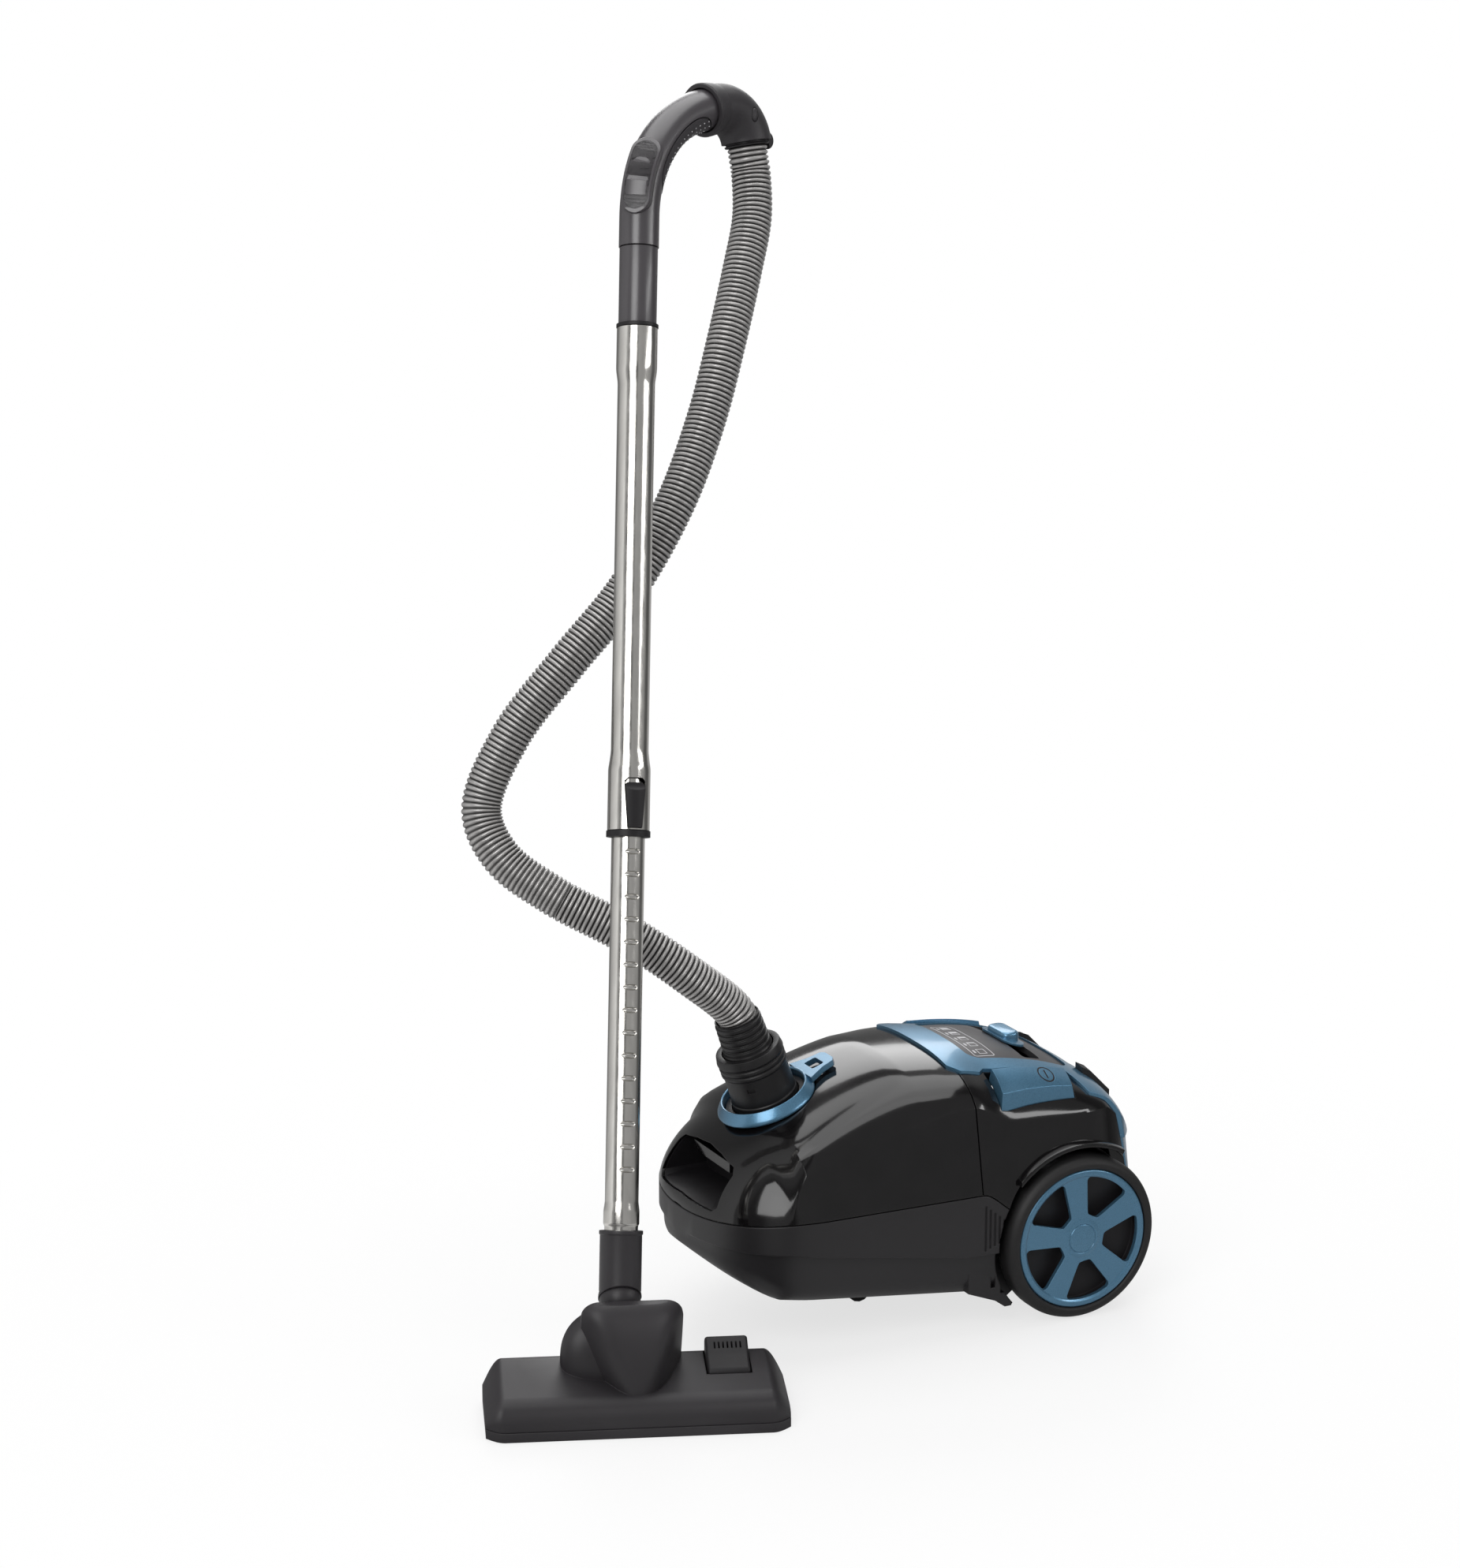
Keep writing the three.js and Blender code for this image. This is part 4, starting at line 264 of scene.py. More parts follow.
BAG = Sizes(at=(-206, 0, 102), half=(70, 80, 46), rows=72, columns=96, squareness=0.7,
            folds=0.045, slack=0.018, tuck=0.1, tuck_height=0.09)
FOAM = Sizes(wide=72, tall=60, edge=5, weld=4, pitch_y=36, pitch_z=31)
PLEATS = Sizes(count=8, pitch=4.5, gap=1.6, thick=7.6)
TUFT_PITCH = 3.5
QUAD = ((-1, -1), (1, -1), (1, 1), (-1, 1))

# Blocks and columns that reach past the canister's skin: half their width, and their heights.
FAR, HIGH = 200, 300
COLUMN = (150, HIGH)
PAST_COLUMN = (149, 301)

TUBE_AT = Vector((-217.7, -117.1, 165.5))
TUBE_AXIS = Vector((0.162, 0.288, 0.944)).normalized()
TUBE_FRONT = Vector((-0.1495, -0.9888, 0))
TUBE_WALL = 1.2
INNER_RADIUS, OUTER_RADIUS, LOCK_RADIUS = 15.6, 17.6, 19.8
OUTER_START, LOCK_START, OUTER_END, OUTER_FLARE = 364, 370, 844, 1.7
LOCK_LENGTH, INNER_OVERLAP, LOCK_TRAVEL = 58, 70, 4
DETENTS, DETENT_PITCH = 15, 21
NECK_RADIUS, NECK_DROP = 19.6, 62

HANDLE_TURN = 29
HANDLE_RADIUS, HANDLE_TUBE = 18, 77
GRIP_RADIUS, GRIP_TWIST, GRIP_BORE = 19, 31, 12.5
GRIP_SWELL = Sizes(by=1.6, start=40, length=36)
HANDLE_STRAIGHT = 107
BEND_RADIUS, BEND_ANGLE = 126, 77
ELBOW_RADIUS, ELBOW_REACH, ELBOW_BEND, ELBOW_END = 24.5, 12, 34, 166
SWIVEL_LIP = 4
VALVE = Sizes(start=2.2, end=21.5, half=10.6, low=-0.5, high=31)
INSERT = Sizes(start=10, end=70, turn=88, over=0.5, under=1.8, near=1.25, steps=12)
DOTS = Sizes(turns=(-88, -70, -52, -34, -16, 2), count=15, start=17, pitch=3.4, radius=0.6)

HEAD_HALF, HEAD_DEPTH, HEAD_HEIGHT, SOLE_HEIGHT = 140, 104, 47, 9
HEAD_CORNER, HEAD_END, ROUND_FRONT, ROUND_BACK, LOW_END = 18, 0.13, 12, 8, 0.32
DRUM = Sizes(y=72, z=48, radius=29, half=27)
BARREL = Sizes(radius=44, left=56, right=50, power=2.4, tall=1.16, deep=0.76)
COWL = Sizes(x=10, half=47, front=14.5, ridge=50, rear=88, low=36, top=113, crown=116,
             corner=17, ease=0.02, eased=0.1414, span=0.86865)
BRUSH = Sizes(front=12, rear=44, thick=4, half=112)
MOUTH = Sizes(y0=19, y1=37, half=108)
ROLLER = Sizes(x=108, y=88, radius=7, width=13)
SWIVEL_LEAN = 50
BALL_RADIUS = 19.4
ROCKER = Sizes(x=86.5, width=40, y0=45, y1=87, pin_y=66, pin_z=34, pin=2.5)


def clamp01(t):
    return min(1.0, max(0.0, t))


# ---------- frames of the standing groups ----------

CANISTER = Matrix.Translation(CANISTER_AT)
HEAD = Matrix.Translation(HEAD_AT) @ Matrix.Rotation(radians(HEAD_TURN), 4, "Z")


def tube_frame():
    back = -TUBE_FRONT
    right = back.cross(TUBE_AXIS).normalized()
    turn = Matrix((right, TUBE_AXIS.cross(right), TUBE_AXIS)).transposed().to_4x4()
    return Matrix.Translation(TUBE_AT) @ turn


TUBE = tube_frame()
HANDLE = (TUBE @ Matrix.Translation((0, 0, OUTER_END))
          @ Matrix.Rotation(radians(HANDLE_TURN), 4, "Z"))
ON_INLET = Matrix.Translation(INLET) @ Matrix.Rotation(radians(-INLET_LEAN), 4, "Y")
SWIVEL_AT = HEAD.inverted() @ (TUBE_AT - TUBE_AXIS * NECK_DROP)
DRUM_X = SWIVEL_AT.x

# ---------- solids ----------


def linked(mesh):
    made = bpy.data.objects.new("solid", mesh)
    bpy.context.scene.collection.objects.link(made)
    return made


def solid(verts, faces):
    """A closed mesh object with its faces turned outwards."""
    mesh = bpy.data.meshes.new("solid")
    mesh.from_pydata([tuple(v) for v in verts], [], faces)
    bm = bmesh.new()
    bm.from_mesh(mesh)
    bmesh.ops.remove_doubles(bm, verts=bm.verts, dist=1e-4)
    bmesh.ops.recalc_face_normals(bm, faces=bm.faces)
    bm.to_mesh(mesh)
    bm.free()
    return linked(mesh)


def drop(obj):
    mesh = obj.data
    bpy.data.objects.remove(obj)
    bpy.data.meshes.remove(mesh)


def copy(obj):
    return linked(obj.data.copy())


def gathered(objects):
    """Several separate solids in one mesh object."""
    bm = bmesh.new()
    for obj in objects:
        bm.from_mesh(obj.data)
        drop(obj)
    mesh = bpy.data.meshes.new("gathered")
    bm.to_mesh(mesh)
    bm.free()
    return linked(mesh)


def applied(obj, *operands):
    """A solid with its modifiers applied; it and the operands are used up."""
    graph = bpy.context.evaluated_depsgraph_get()
    made = linked(bpy.data.meshes.new_from_object(obj.evaluated_get(graph)))
    for used in (obj, *operands):
        drop(used)
    return made


def boolean(operation, first, others):
    for other in others:
        step = first.modifiers.new("step", "BOOLEAN")
        step.solver, step.operation, step.object = "MANIFOLD", operation, other
    return applied(first, *others)


def cut(first, *others):
    return boolean("DIFFERENCE", first, others)


def join(first, *others):
    return boolean("UNION", first, others)


def common(first, *others):
    return boolean("INTERSECT", first, others)


def rounded(obj, width, steps, angle=35):
    """The same solid with its edges rounded off."""
    edge = obj.modifiers.new("edge", "BEVEL")
    edge.width, edge.segments = width, steps
    edge.limit_method, edge.angle_limit = "ANGLE", radians(angle)
    return applied(obj)


def moved(obj, matrix):
    obj.data.transform(matrix)
    if matrix.to_3x3().determinant() < 0:
        obj.data.flip_normals()
    return obj


def shifted(obj, x, y, z):
    return moved(obj, Matrix.Translation((x, y, z)))


def turned(obj, angle, axis):
    return moved(obj, Matrix.Rotation(radians(angle), 4, axis))


def mirrored(obj):
    """The same solid on the other side of the middle plane."""
    return moved(obj, Matrix.Scale(-1, 4, (0, 1, 0)))


def both_sides(obj):
    return [obj, mirrored(copy(obj))]


def along_x(obj):
    return turned(obj, 90, "Y")


def along_y(obj):
    return turned(obj, -90, "X")


def at_axle(obj):
    """From upright at the origin to level on the wheels' axle."""
    return shifted(along_y(obj), 0, 0, WHEEL_RADIUS)


def scaled_ball(sides, *radii):
    return moved(ball(1, sides), Matrix.Diagonal((*radii, 1)))


def box(x0, x1, y0, y1, z0, z1):
    corners = [(x, y, z) for x in (x0, x1) for y in (y0, y1) for z in (z0, z1)]
    faces = [(0, 1, 3, 2), (4, 6, 7, 5), (0, 4, 5, 1), (2, 3, 7, 6), (0, 2, 6, 4), (1, 5, 7, 3)]
    return solid(corners, faces)


def across(x0, x1, half=FAR, low=0, high=HIGH):
    """Block over the middle plane, between two places along it."""
    return box(x0, x1, -half, half, low, high)


def soft(points, radius, steps=3):
    """A profile with its inner corners rounded."""
    out = [points[0]]
    for before, corner, after in zip(points, points[1:], points[2:]):
        a, c, b = Vector(before), Vector(corner), Vector(after)
        reach = min(radius, (a - c).length * 0.45, (b - c).length * 0.45)
        start, end = c + (a - c).normalized() * reach, c + (b - c).normalized() * reach
        for i in range(steps + 1):
            t = i / steps
            out.append(tuple(start * (1 - t) ** 2 + c * 2 * t * (1 - t) + end * t * t))
    return [*out, points[-1]]


def soft_loop(points, radius, steps=3):
    """A closed outline with its corners rounded."""
    return soft([points[-1], *points, points[0]], radius, steps)[1:-1]


def on_circle(radius, i, sides):
    angle = 2 * pi * i / sides
    return radius * cos(angle), radius * sin(angle)


def revolve(points, sides):
    """Body of revolution about Z from points (radius, z), from axis to axis or closed."""
    closed = points[0] == points[-1]
    profile = points[:-1] if closed else points
    verts, rings = [], []
    for r, z in profile:
        start = len(verts)
        if r < 1e-6:
            verts.append((0, 0, z))
            rings.append([start])
            continue
        rings.append(list(range(start, start + sides)))
        verts += [(*on_circle(r, i, sides), z) for i in range(sides)]
    faces = []
    for a, b in zip(rings, rings[1:] + ([rings[0]] if closed else [])):
        for i in range(sides):
            j = (i + 1) % sides
            corners = [a[i % len(a)], a[j % len(a)], b[j % len(b)], b[i % len(b)]]
            face = list(dict.fromkeys(corners))
            if len(face) > 2:
                faces.append(face)
    return solid(verts, faces)


def rod(radius, z0, z1, sides=64):
    return revolve([(0, z0), (radius, z0), (radius, z1), (0, z1)], sides)


def pipe(inner, outer, z0, z1, sides=72):
    return revolve([(inner, z0), (outer, z0), (outer, z1), (inner, z1), (inner, z0)], sides)


def prism(outline, z0, z1):
    n = len(outline)
    verts = [(x, y, z) for z in (z0, z1) for x, y in outline]
    sides = [(i, (i + 1) % n, n + (i + 1) % n, n + i) for i in range(n)]
    return solid(verts, [*sides, tuple(range(n)), tuple(range(n, 2 * n))])


def prism_x(outline, x0, x1):
    """Prism along X on an outline of (y, z) points."""
    swap = Matrix(((0, 0, 1, 0), (1, 0, 0, 0), (0, 1, 0, 0), (0, 0, 0, 1)))
    return moved(prism(outline, x0, x1), swap)


def prism_y(outline, y0, y1):
    """Prism along Y on an outline of (x, z) points."""
    return turned(prism(outline, -y1, -y0), 90, "X")


def arc(x, y, radius, start, end, steps):
    angles = [radians(start + (end - start) * i / steps) for i in range(steps + 1)]
    return [(x + radius * cos(a), y + radius * sin(a)) for a in angles]


def rounded_rect(x0, x1, y0, y1, radius):
    corners = ((x1 - radius, y1 - radius, 0), (x0 + radius, y1 - radius, 90),
               (x0 + radius, y0 + radius, 180), (x1 - radius, y0 + radius, 270))
    return [p for x, y, a in corners for p in arc(x, y, radius, a, a + 90, 8)]


def loft(rings):
    """Closed body through rings with equal counts, capped at both ends."""
    n = len(rings[0])
    verts = [v for ring in rings for v in ring]
    faces = []
    for r in range(len(rings) - 1):
        for i in range(n):
            a, b = r * n + i, r * n + (i + 1) % n
            faces.append((a, b, b + n, a + n))
    for r in (0, len(rings) - 1):
        middle = sum((Vector(v) for v in rings[r]), Vector()) / n
        verts.append(middle)
        faces += [(r * n + i, r * n + (i + 1) % n, len(verts) - 1) for i in range(n)]
    return solid(verts, faces)


def circle(radius, sides):
    return [on_circle(radius, i, sides) for i in range(sides)]


def bent_body(bend, start, end, steps, section, spread=lambda t: t):
    """Body along an arc in XZ from the origin upwards, bending to +X."""
    rings = []
    for i in range(steps + 1):
        angle = start + (end - start) * spread(i / steps)
        a = radians(angle)
        rings.append([(bend - (bend + out) * cos(a), side, (bend + out) * sin(a))
                      for out, side in section(angle)])
    return loft(rings)


# ---------- the canister's outer form ----------


PLAN_POWER, FLARE_LENGTH = 2.2, 220
NOSE_POWER, NOSE_ROOT, TAIL_POWER = 1.25, 1.9, 3
SEAM_STEP, SEAM_NOSE, SEAM_NOSE_POWER = 40, 82, 1.5
CREASE = Sizes(start=62, steep=22, climb=48, then=36, length=160, under=18, ramp=60)
ROOF_START, ROOF_STEPS, ROOF_POWER = radians(20), 18, 2.6
NOSE_STEPS, MIDDLE_STEPS, TAIL_STEPS, TAIL_FROM, END_STEP = 34, 30, 22, 12, 0.15
KEEL = Sizes(slope=190, front=66, front_rise=42, back=62, back_length=46, back_rise=26)
BAND = Sizes(z=112, drop=30, start=66, length=180)
SKIRT_STEPS, SKIRT_BEND, SKIRT_LEAN, SKIRT_FADE = 9, 26, 4, 34


def half_width(x, inset=0):
    nose, tail = NOSE_X + NOSE_LENGTH, TAIL_X - TAIL_LENGTH
    width, length, u = BODY_HALF_WIDTH - inset, NOSE_LENGTH, nose - x
    if x >= nose:
        width += BODY_FLARE * clamp01((x - nose) / FLARE_LENGTH)
        length, u = TAIL_LENGTH, x - tail
    return width * (1 - clamp01(u / (length - inset)) ** PLAN_POWER) ** (1 / PLAN_POWER)


def ridge(x, inset=0):
    if x < RIDGE_X:
        u = clamp01((RIDGE_X - x) / (RIDGE_X - NOSE_X - inset))
        return NOSE_Z + (RIDGE_Z - inset - NOSE_Z) * (1 - u ** NOSE_POWER) ** (1 / NOSE_ROOT)
    u = clamp01((x - RIDGE_X) / (TAIL_X - inset - RIDGE_X))
    return TAIL_Z + (RIDGE_Z - inset - TAIL_Z) * (1 - u ** TAIL_POWER) ** (1 / TAIL_POWER)


def seam(x):
    t = clamp01((x - LID_REAR_X) / SEAM_STEP)
    nose = clamp01((NOSE_X + SEAM_NOSE - x) / SEAM_NOSE)
    return SEAM_Z - SEAM_DROP * t * t * (3 - 2 * t) - SEAM_NOSE_DROP * nose ** SEAM_NOSE_POWER


def seam_gap(x):
    return seam(x) + SEAM_LINE


def crease(x, inset):
    """Height of the fold between the body's side and its roof."""
    along = x - NOSE_X - CREASE.start
    steep, slow = clamp01(along / CREASE.steep), clamp01((along - CREASE.steep) / CREASE.length)
    climb = CREASE.climb * (1 - (1 - steep) ** 2) + CREASE.then * slow
    cap = ridge(x, inset) - CREASE.under * clamp01((along + 14) / CREASE.ramp) - 2
    return min(seam(x) + climb, cap)


def roof_power(v):
    return max(v, 0) ** (2 / ROOF_POWER)


def with_mirror(half, signs=(1, -1)):
    """Half of an outline and its mirror image, in reverse."""
    return half + [(u * signs[0], v * signs[1]) for u, v in reversed(half)]


def upper_section(x, inset, base):
    width = max(half_width(x, inset), 2)
    low = base(x)
    fold = max(crease(x, inset), seam(x) + 1)
    shoulder = max(width - 0.2 * (fold - seam(x)), 1)
    top = max(ridge(x, inset), fold + 1)
    reach = shoulder / roof_power(cos(ROOF_START))
    rise = (top - fold) / (1 - roof_power(sin(ROOF_START)))
    middle = top - rise
    half = []
    for i in range(ROOF_STEPS + 1):
        a = ROOF_START + (pi / 2 - ROOF_START) * i / ROOF_STEPS
        half.append((reach * roof_power(cos(a)), middle + rise * roof_power(sin(a))))
    half[-1] = (0.0, half[-1][1])
    edge = (width, max(low + 0.1, seam(x) + GAP))
    near = [(-width, low), (-edge[0], edge[1]), *[(-y, z) for y, z in half]]
    return near + list(reversed(half[:-1])) + [edge, (width, low)]


def stations(inset):
    """Places of the sections, closest together at the nose and the tail."""
    front, back = NOSE_X + inset, TAIL_X - inset
    nose = [front + END_STEP + (RIDGE_X - front) * (1 - cos(pi / 2 * (i / NOSE_STEPS) ** 1.15))
            for i in range(NOSE_STEPS)]
    middle = [RIDGE_X + (TAIL_FROM - RIDGE_X) * i / MIDDLE_STEPS for i in range(MIDDLE_STEPS)]
    tail = [TAIL_FROM + (back - END_STEP - TAIL_FROM) * sin(pi / 2 * i / TAIL_STEPS)
            for i in range(TAIL_STEPS + 1)]
    return nose + middle + tail


def upper_form(inset, base=seam_gap):
    return loft([[(x, y, z) for y, z in upper_section(x, inset, base)] for x in stations(inset)])


def keel(x):
    slope = FLOOR_RISE * clamp01((BULKHEAD_X - x) / KEEL.slope)
    front = KEEL.front_rise * clamp01((NOSE_X + KEEL.front - x) / KEEL.front) ** 1.3
    back = KEEL.back_rise * clamp01((x - KEEL.back) / KEEL.back_length) ** 1.5
    return FLOOR_Z + slope + front + back


def band(x):
    return BAND.z - BAND.drop * clamp01((x - NOSE_X - BAND.start) / BAND.length)


def lower_section(x, inset, top):
    width = max(half_width(x, max(inset, 0)), 6)
    floor = min(keel(x) + (SHELL if inset > 0 else 0), top(x) - 6)
    edge = max(min(band(x), top(x) - 3), floor + 4)
    tub = width - (0 if inset > 0 else SKIRT_INSET * clamp01((width - 6) / SKIRT_FADE))
    fall = min(SKIRT_BEND, (edge - floor) * 0.6)
    half = [(width, top(x)), (width, edge), (tub, edge - 1), (tub - SKIRT_LEAN, floor + fall)]
    for i in range(1, SKIRT_STEPS + 1):
        a = radians(90 * i / SKIRT_STEPS)
        half.append((max(tub - SKIRT_LEAN - fall * (1 - cos(a)), 2), floor + fall * (1 - sin(a))))
    return with_mirror(half, (-1, 1))


def lower_form(inset, top):
    return loft([[(x, y, z) for y, z in lower_section(x, inset, top)] for x in stations(inset)])


def below_seam(x):
    return seam(x) - 20


def above_seam(x):
    return seam(x) + 20


def layer(over, under):
    """What lies between two heights over the upper form; a negative height is inside it."""
    return cut(upper_form(-over), upper_form(-under, below_seam))


def wheel_wells():
    return both_sides(at_axle(rod(WELL_RADIUS, WELL_Y, WELL_Y + 60, 128)))


def panel_outline(extra):
    front, narrow = PANEL.front - extra, -PANEL.half_front - extra
    wide, rear = -PANEL.half - extra, -PANEL.rear - extra
    return with_mirror([
        (front, narrow + 12), (front + 10, narrow), (PEDAL.front - 6, narrow), (PEDAL.front, wide),
        (PEDAL.rear + 2, wide), (PEDAL.rear + 14, rear), (TAIL_X + 20, rear)])


def panel_column(extra):
    return prism(panel_outline(extra), REAR_PANEL.bottom - extra, HIGH)


def inset_outline(extra):
    front, rear = INSET.front - extra, INSET.rear + extra
    a, b = -INSET.half_front - extra, -INSET.half_rear - extra
    half = [(front, a + 8), (front + 8, a), (rear - 8, b), (rear, b + 8)]
    return soft_loop(with_mirror(half), 7, 4)


def grille_column(extra):
    return across(GRILLE.front - extra, TAIL_X + 10, GRILLE.half + extra, GRILLE.low - extra)


def pedal_outline(side, extra):
    y0, y1 = PEDAL.inner - extra, PEDAL.outer + extra
    points = [(PEDAL.front - extra, y0), (PEDAL.rear + extra, y0),
              (PEDAL.rear + extra - 5, y1 - 4), (PEDAL.front - extra + 2, y1)]
    return points if side > 0 else [(x, -y) for x, y in points][::-1]


def grip_outline(extra=0):
    half = [(54 + extra, 144 - extra), (60 + extra, 149), (58 + extra, 178),
            (52 + extra, 184 + extra), (26, 189 + extra)]
    low, high = (0, 147 - extra), (0, 191 + extra)
    return [low, *half, high, *[(-y, z) for y, z in reversed(half)]]


# ---------- materials ----------


class Graph:
    """Short ways to add and link the nodes of a material or a world."""

    def __init__(self, owner):
        owner.use_nodes = True
        self.tree = owner.node_tree

    def feed(self, socket, value):
        """Links a socket to another one or sets it to a plain value."""
        if isinstance(value, bpy.types.NodeSocket):
            self.tree.links.new(value, socket)
        else:
            socket.default_value = value

    def node(self, kind, **inputs):
        made = self.tree.nodes.new("ShaderNode" + kind)
        for key, value in inputs.items():
            self.feed(made.inputs[key.replace("_", " ")], value)
        return made

    def maths(self, operation, *values, kind="Math"):
        made = self.node(kind)
        made.operation = operation
        for socket, value in zip(made.inputs, values):
            self.feed(socket, value)
        return made.outputs["Value"]

    def ranged(self, value, low, high, start=0.3, end=0.7):
        """A value between low and high, as the given one goes from start to end."""
        made = self.node("MapRange", From_Min=start, From_Max=end, To_Min=low, To_Max=high)
        self.feed(made.inputs["Value"], value)
        return made.outputs["Result"]

    def mixed(self, share, first, second):
        """A colour between two."""
        made = self.node("Mix")
        made.data_type = "RGBA"
        for socket, value in (("Factor", share), (6, first), (7, second)):
            self.feed(made.inputs[socket], value)
        return made.outputs[2]

    def both(self, share, first, second):
        """A shader between two."""
        made = self.node("MixShader", Fac=share)
        self.feed(made.inputs[1], first.outputs[0])
        self.feed(made.inputs[2], second.outputs[0])
        return made


class Shader(Graph):
    """A principled material and the effects that procedural noise has on it."""

    def __init__(self, name, color, roughness, metallic=0.0, **inputs):
        self.material = bpy.data.materials.new(name)
        super().__init__(self.material)
        self.main = self.tree.nodes["Principled BSDF"]
        self.color = color
        inputs.update(Base_Color=(*color, 1), Roughness=roughness, Metallic=metallic)
        for key, value in inputs.items():
            self.main.inputs[key.replace("_", " ")].default_value = value

    def noise(self, scale, detail, stretch=(1, 1, 1)):
        place = self.node("TexCoord").outputs["Object"]
        vector = self.node("Mapping", Vector=place, Scale=stretch).outputs["Vector"]
        return self.node("TexNoise", Vector=vector, Scale=scale, Detail=detail).outputs["Fac"]

    def rough(self, value, low, high, start=0.3, end=0.7):
        self.feed(self.main.inputs["Roughness"], self.ranged(value, low, high, start, end))

    def tint(self, value, dark, light, start=0.3, end=0.7):
        """Base colour from dark to light times the plain colour."""
        shades = [(*[min(c * times, 1) for c in self.color], 1) for times in (dark, light)]
        share = self.ranged(value, 0, 1, start, end)
        self.feed(self.main.inputs["Base Color"], self.mixed(share, *shades))

    def bumps(self, value, distance, strength, edge=0.0):
        """Bumps on the surface, and edges that catch the light as if they were rounded."""
        made = self.node("Bump", Strength=strength, Distance=distance, Height=value)
        if edge:
            bevel = self.node("Bevel", Radius=edge)
            bevel.samples = 4
            self.feed(made.inputs["Normal"], bevel.outputs["Normal"])
        self.feed(self.main.inputs["Normal"], made.outputs["Normal"])


# Name, colour, roughness, metallic and further inputs. Then the noise that acts on the roughness,
# on the colour and on the bumps, each with the range of what it does.
LOOKS = (
    ("piano_black", (0.0038, 0.0034, 0.0038), 0.06, 0,
     dict(Coat_Weight=0.3, Coat_Roughness=0.05, Specular_IOR_Level=0.36),
     ((14, 4), (0.09, 0.16, 0.35, 0.75)), ((30, 2), (0.8, 1.3)), ((60, 2), (0.00004, 0.5, 0.0009))),
    ("matte_black", (0.0105, 0.0095, 0.011), 0.5, 0, dict(Specular_IOR_Level=0.34),
     ((9, 4), (0.42, 0.56)), ((5, 3), (0.88, 1.14)), ((1600, 2), (0.00006, 0.5, 0.0007))),
    ("cuff_black", (0.009, 0.0085, 0.0092), 0.4, 0, dict(Specular_IOR_Level=0.4),
     ((14, 3), (0.34, 0.46)), ((9, 2), (0.9, 1.12)), ((1800, 2), (0.00002, 0.4))),
    ("satin_black", (0.0115, 0.0105, 0.012), 0.4, 0, {},
     ((9, 4), (0.34, 0.44)), ((5, 3), (0.88, 1.14)), ((1600, 2), (0.00005, 0.5, 0.002))),
    ("soft_black", (0.025, 0.0228, 0.0255), 0.42, 0, dict(Specular_IOR_Level=0.4),
     ((12, 4), (0.4, 0.52)), ((8, 3), (0.9, 1.12)), ((2100, 2), (0.00006, 0.6, 0.0012))),
    ("satin_grey", (0.044, 0.0395, 0.0445), 0.36, 0,
     dict(Specular_IOR_Level=0.6, Coat_Weight=0.5, Coat_Roughness=0.24),
     ((12, 4), (0.3, 0.42)), ((8, 3), (0.9, 1.12)), ((2100, 2), (0.00005, 0.55, 0.0008))),
    ("blue_lacquer", (0.092, 0.222, 0.345), 0.3, 0.7, dict(Coat_Weight=0.5, Coat_Roughness=0.1),
     ((2600, 2), (0.24, 0.4)), ((2600, 2), (0.8, 1.22)), ((1500, 2), (0.00003, 0.4, 0.0008))),
    ("panel_grey", (0.052, 0.05, 0.053), 0.36, 0.2, {},
     ((20, 4), (0.3, 0.44)), ((12, 3), (0.9, 1.12)), ((1800, 2), (0.00003, 0.5, 0.0006))),
    ("chrome", (0.68, 0.665, 0.635), 0.16, 1.0, {},
     ((220, 3, (1, 1, 0.02)), (0.13, 0.22)), ((90, 3, (1, 1, 0.03)), (0.9, 1.06)),
     ((400, 2, (1, 1, 0.01)), (0.00002, 0.3))),
    ("steel", (0.5, 0.5, 0.51), 0.35, 1.0, {},
     ((300, 3), (0.28, 0.42)), None, ((500, 2), (0.00002, 0.3))),
    ("soft_rubber", (0.0085, 0.008, 0.0085), 0.5, 0, dict(Specular_IOR_Level=0.45),
     ((25, 4), (0.46, 0.62)), ((10, 3), (0.85, 1.15)), ((1400, 2), (0.00006, 0.5, 0.0008))),
    ("grip_rubber", (0.034, 0.031, 0.035), 0.55, 0, dict(Specular_IOR_Level=0.4),
     ((25, 4), (0.5, 0.62)), ((10, 3), (0.9, 1.12)), ((700, 1), (0.0002, 0.6, 0.0008))),
    ("hose_plastic", (0.36, 0.352, 0.346), 0.28, 0.6, {},
     ((40, 3), (0.32, 0.44)), None, ((900, 2), (0.00003, 0.4))),
    ("felt", (0.62, 0.6, 0.55), 0.95, 0, dict(Sheen_Weight=0.3),
     None, ((600, 4), (0.82, 1.1)), ((1500, 4), (0.0004, 0.8))),
    ("holder_plastic", (0.42, 0.33, 0.21), 0.7, 0, {},
     None, ((200, 4), (0.85, 1.1)), ((900, 3), (0.0001, 0.5))),
    ("board", (0.012, 0.09, 0.04), 0.45, 0, {},
     None, ((120, 1), (0.7, 1.5, 0.48, 0.52)), ((300, 1), (0.0001, 0.4))),
    ("bristle", (0.013, 0.013, 0.014), 0.8, 0, {},
     None, ((900, 2, (1, 1, 0.1)), (0.6, 1.6)), ((1500, 2, (1, 1, 0.05)), (0.0004, 0.8))),
    # The light grey that follows serves as the print of the panel's signs, and as a painted highlight on the grip
    # insert's dots.
    ("marks", (0.5, 0.5, 0.52), 0.4, 0, {}, None, ((80, 2), (0.9, 1.05)), None))


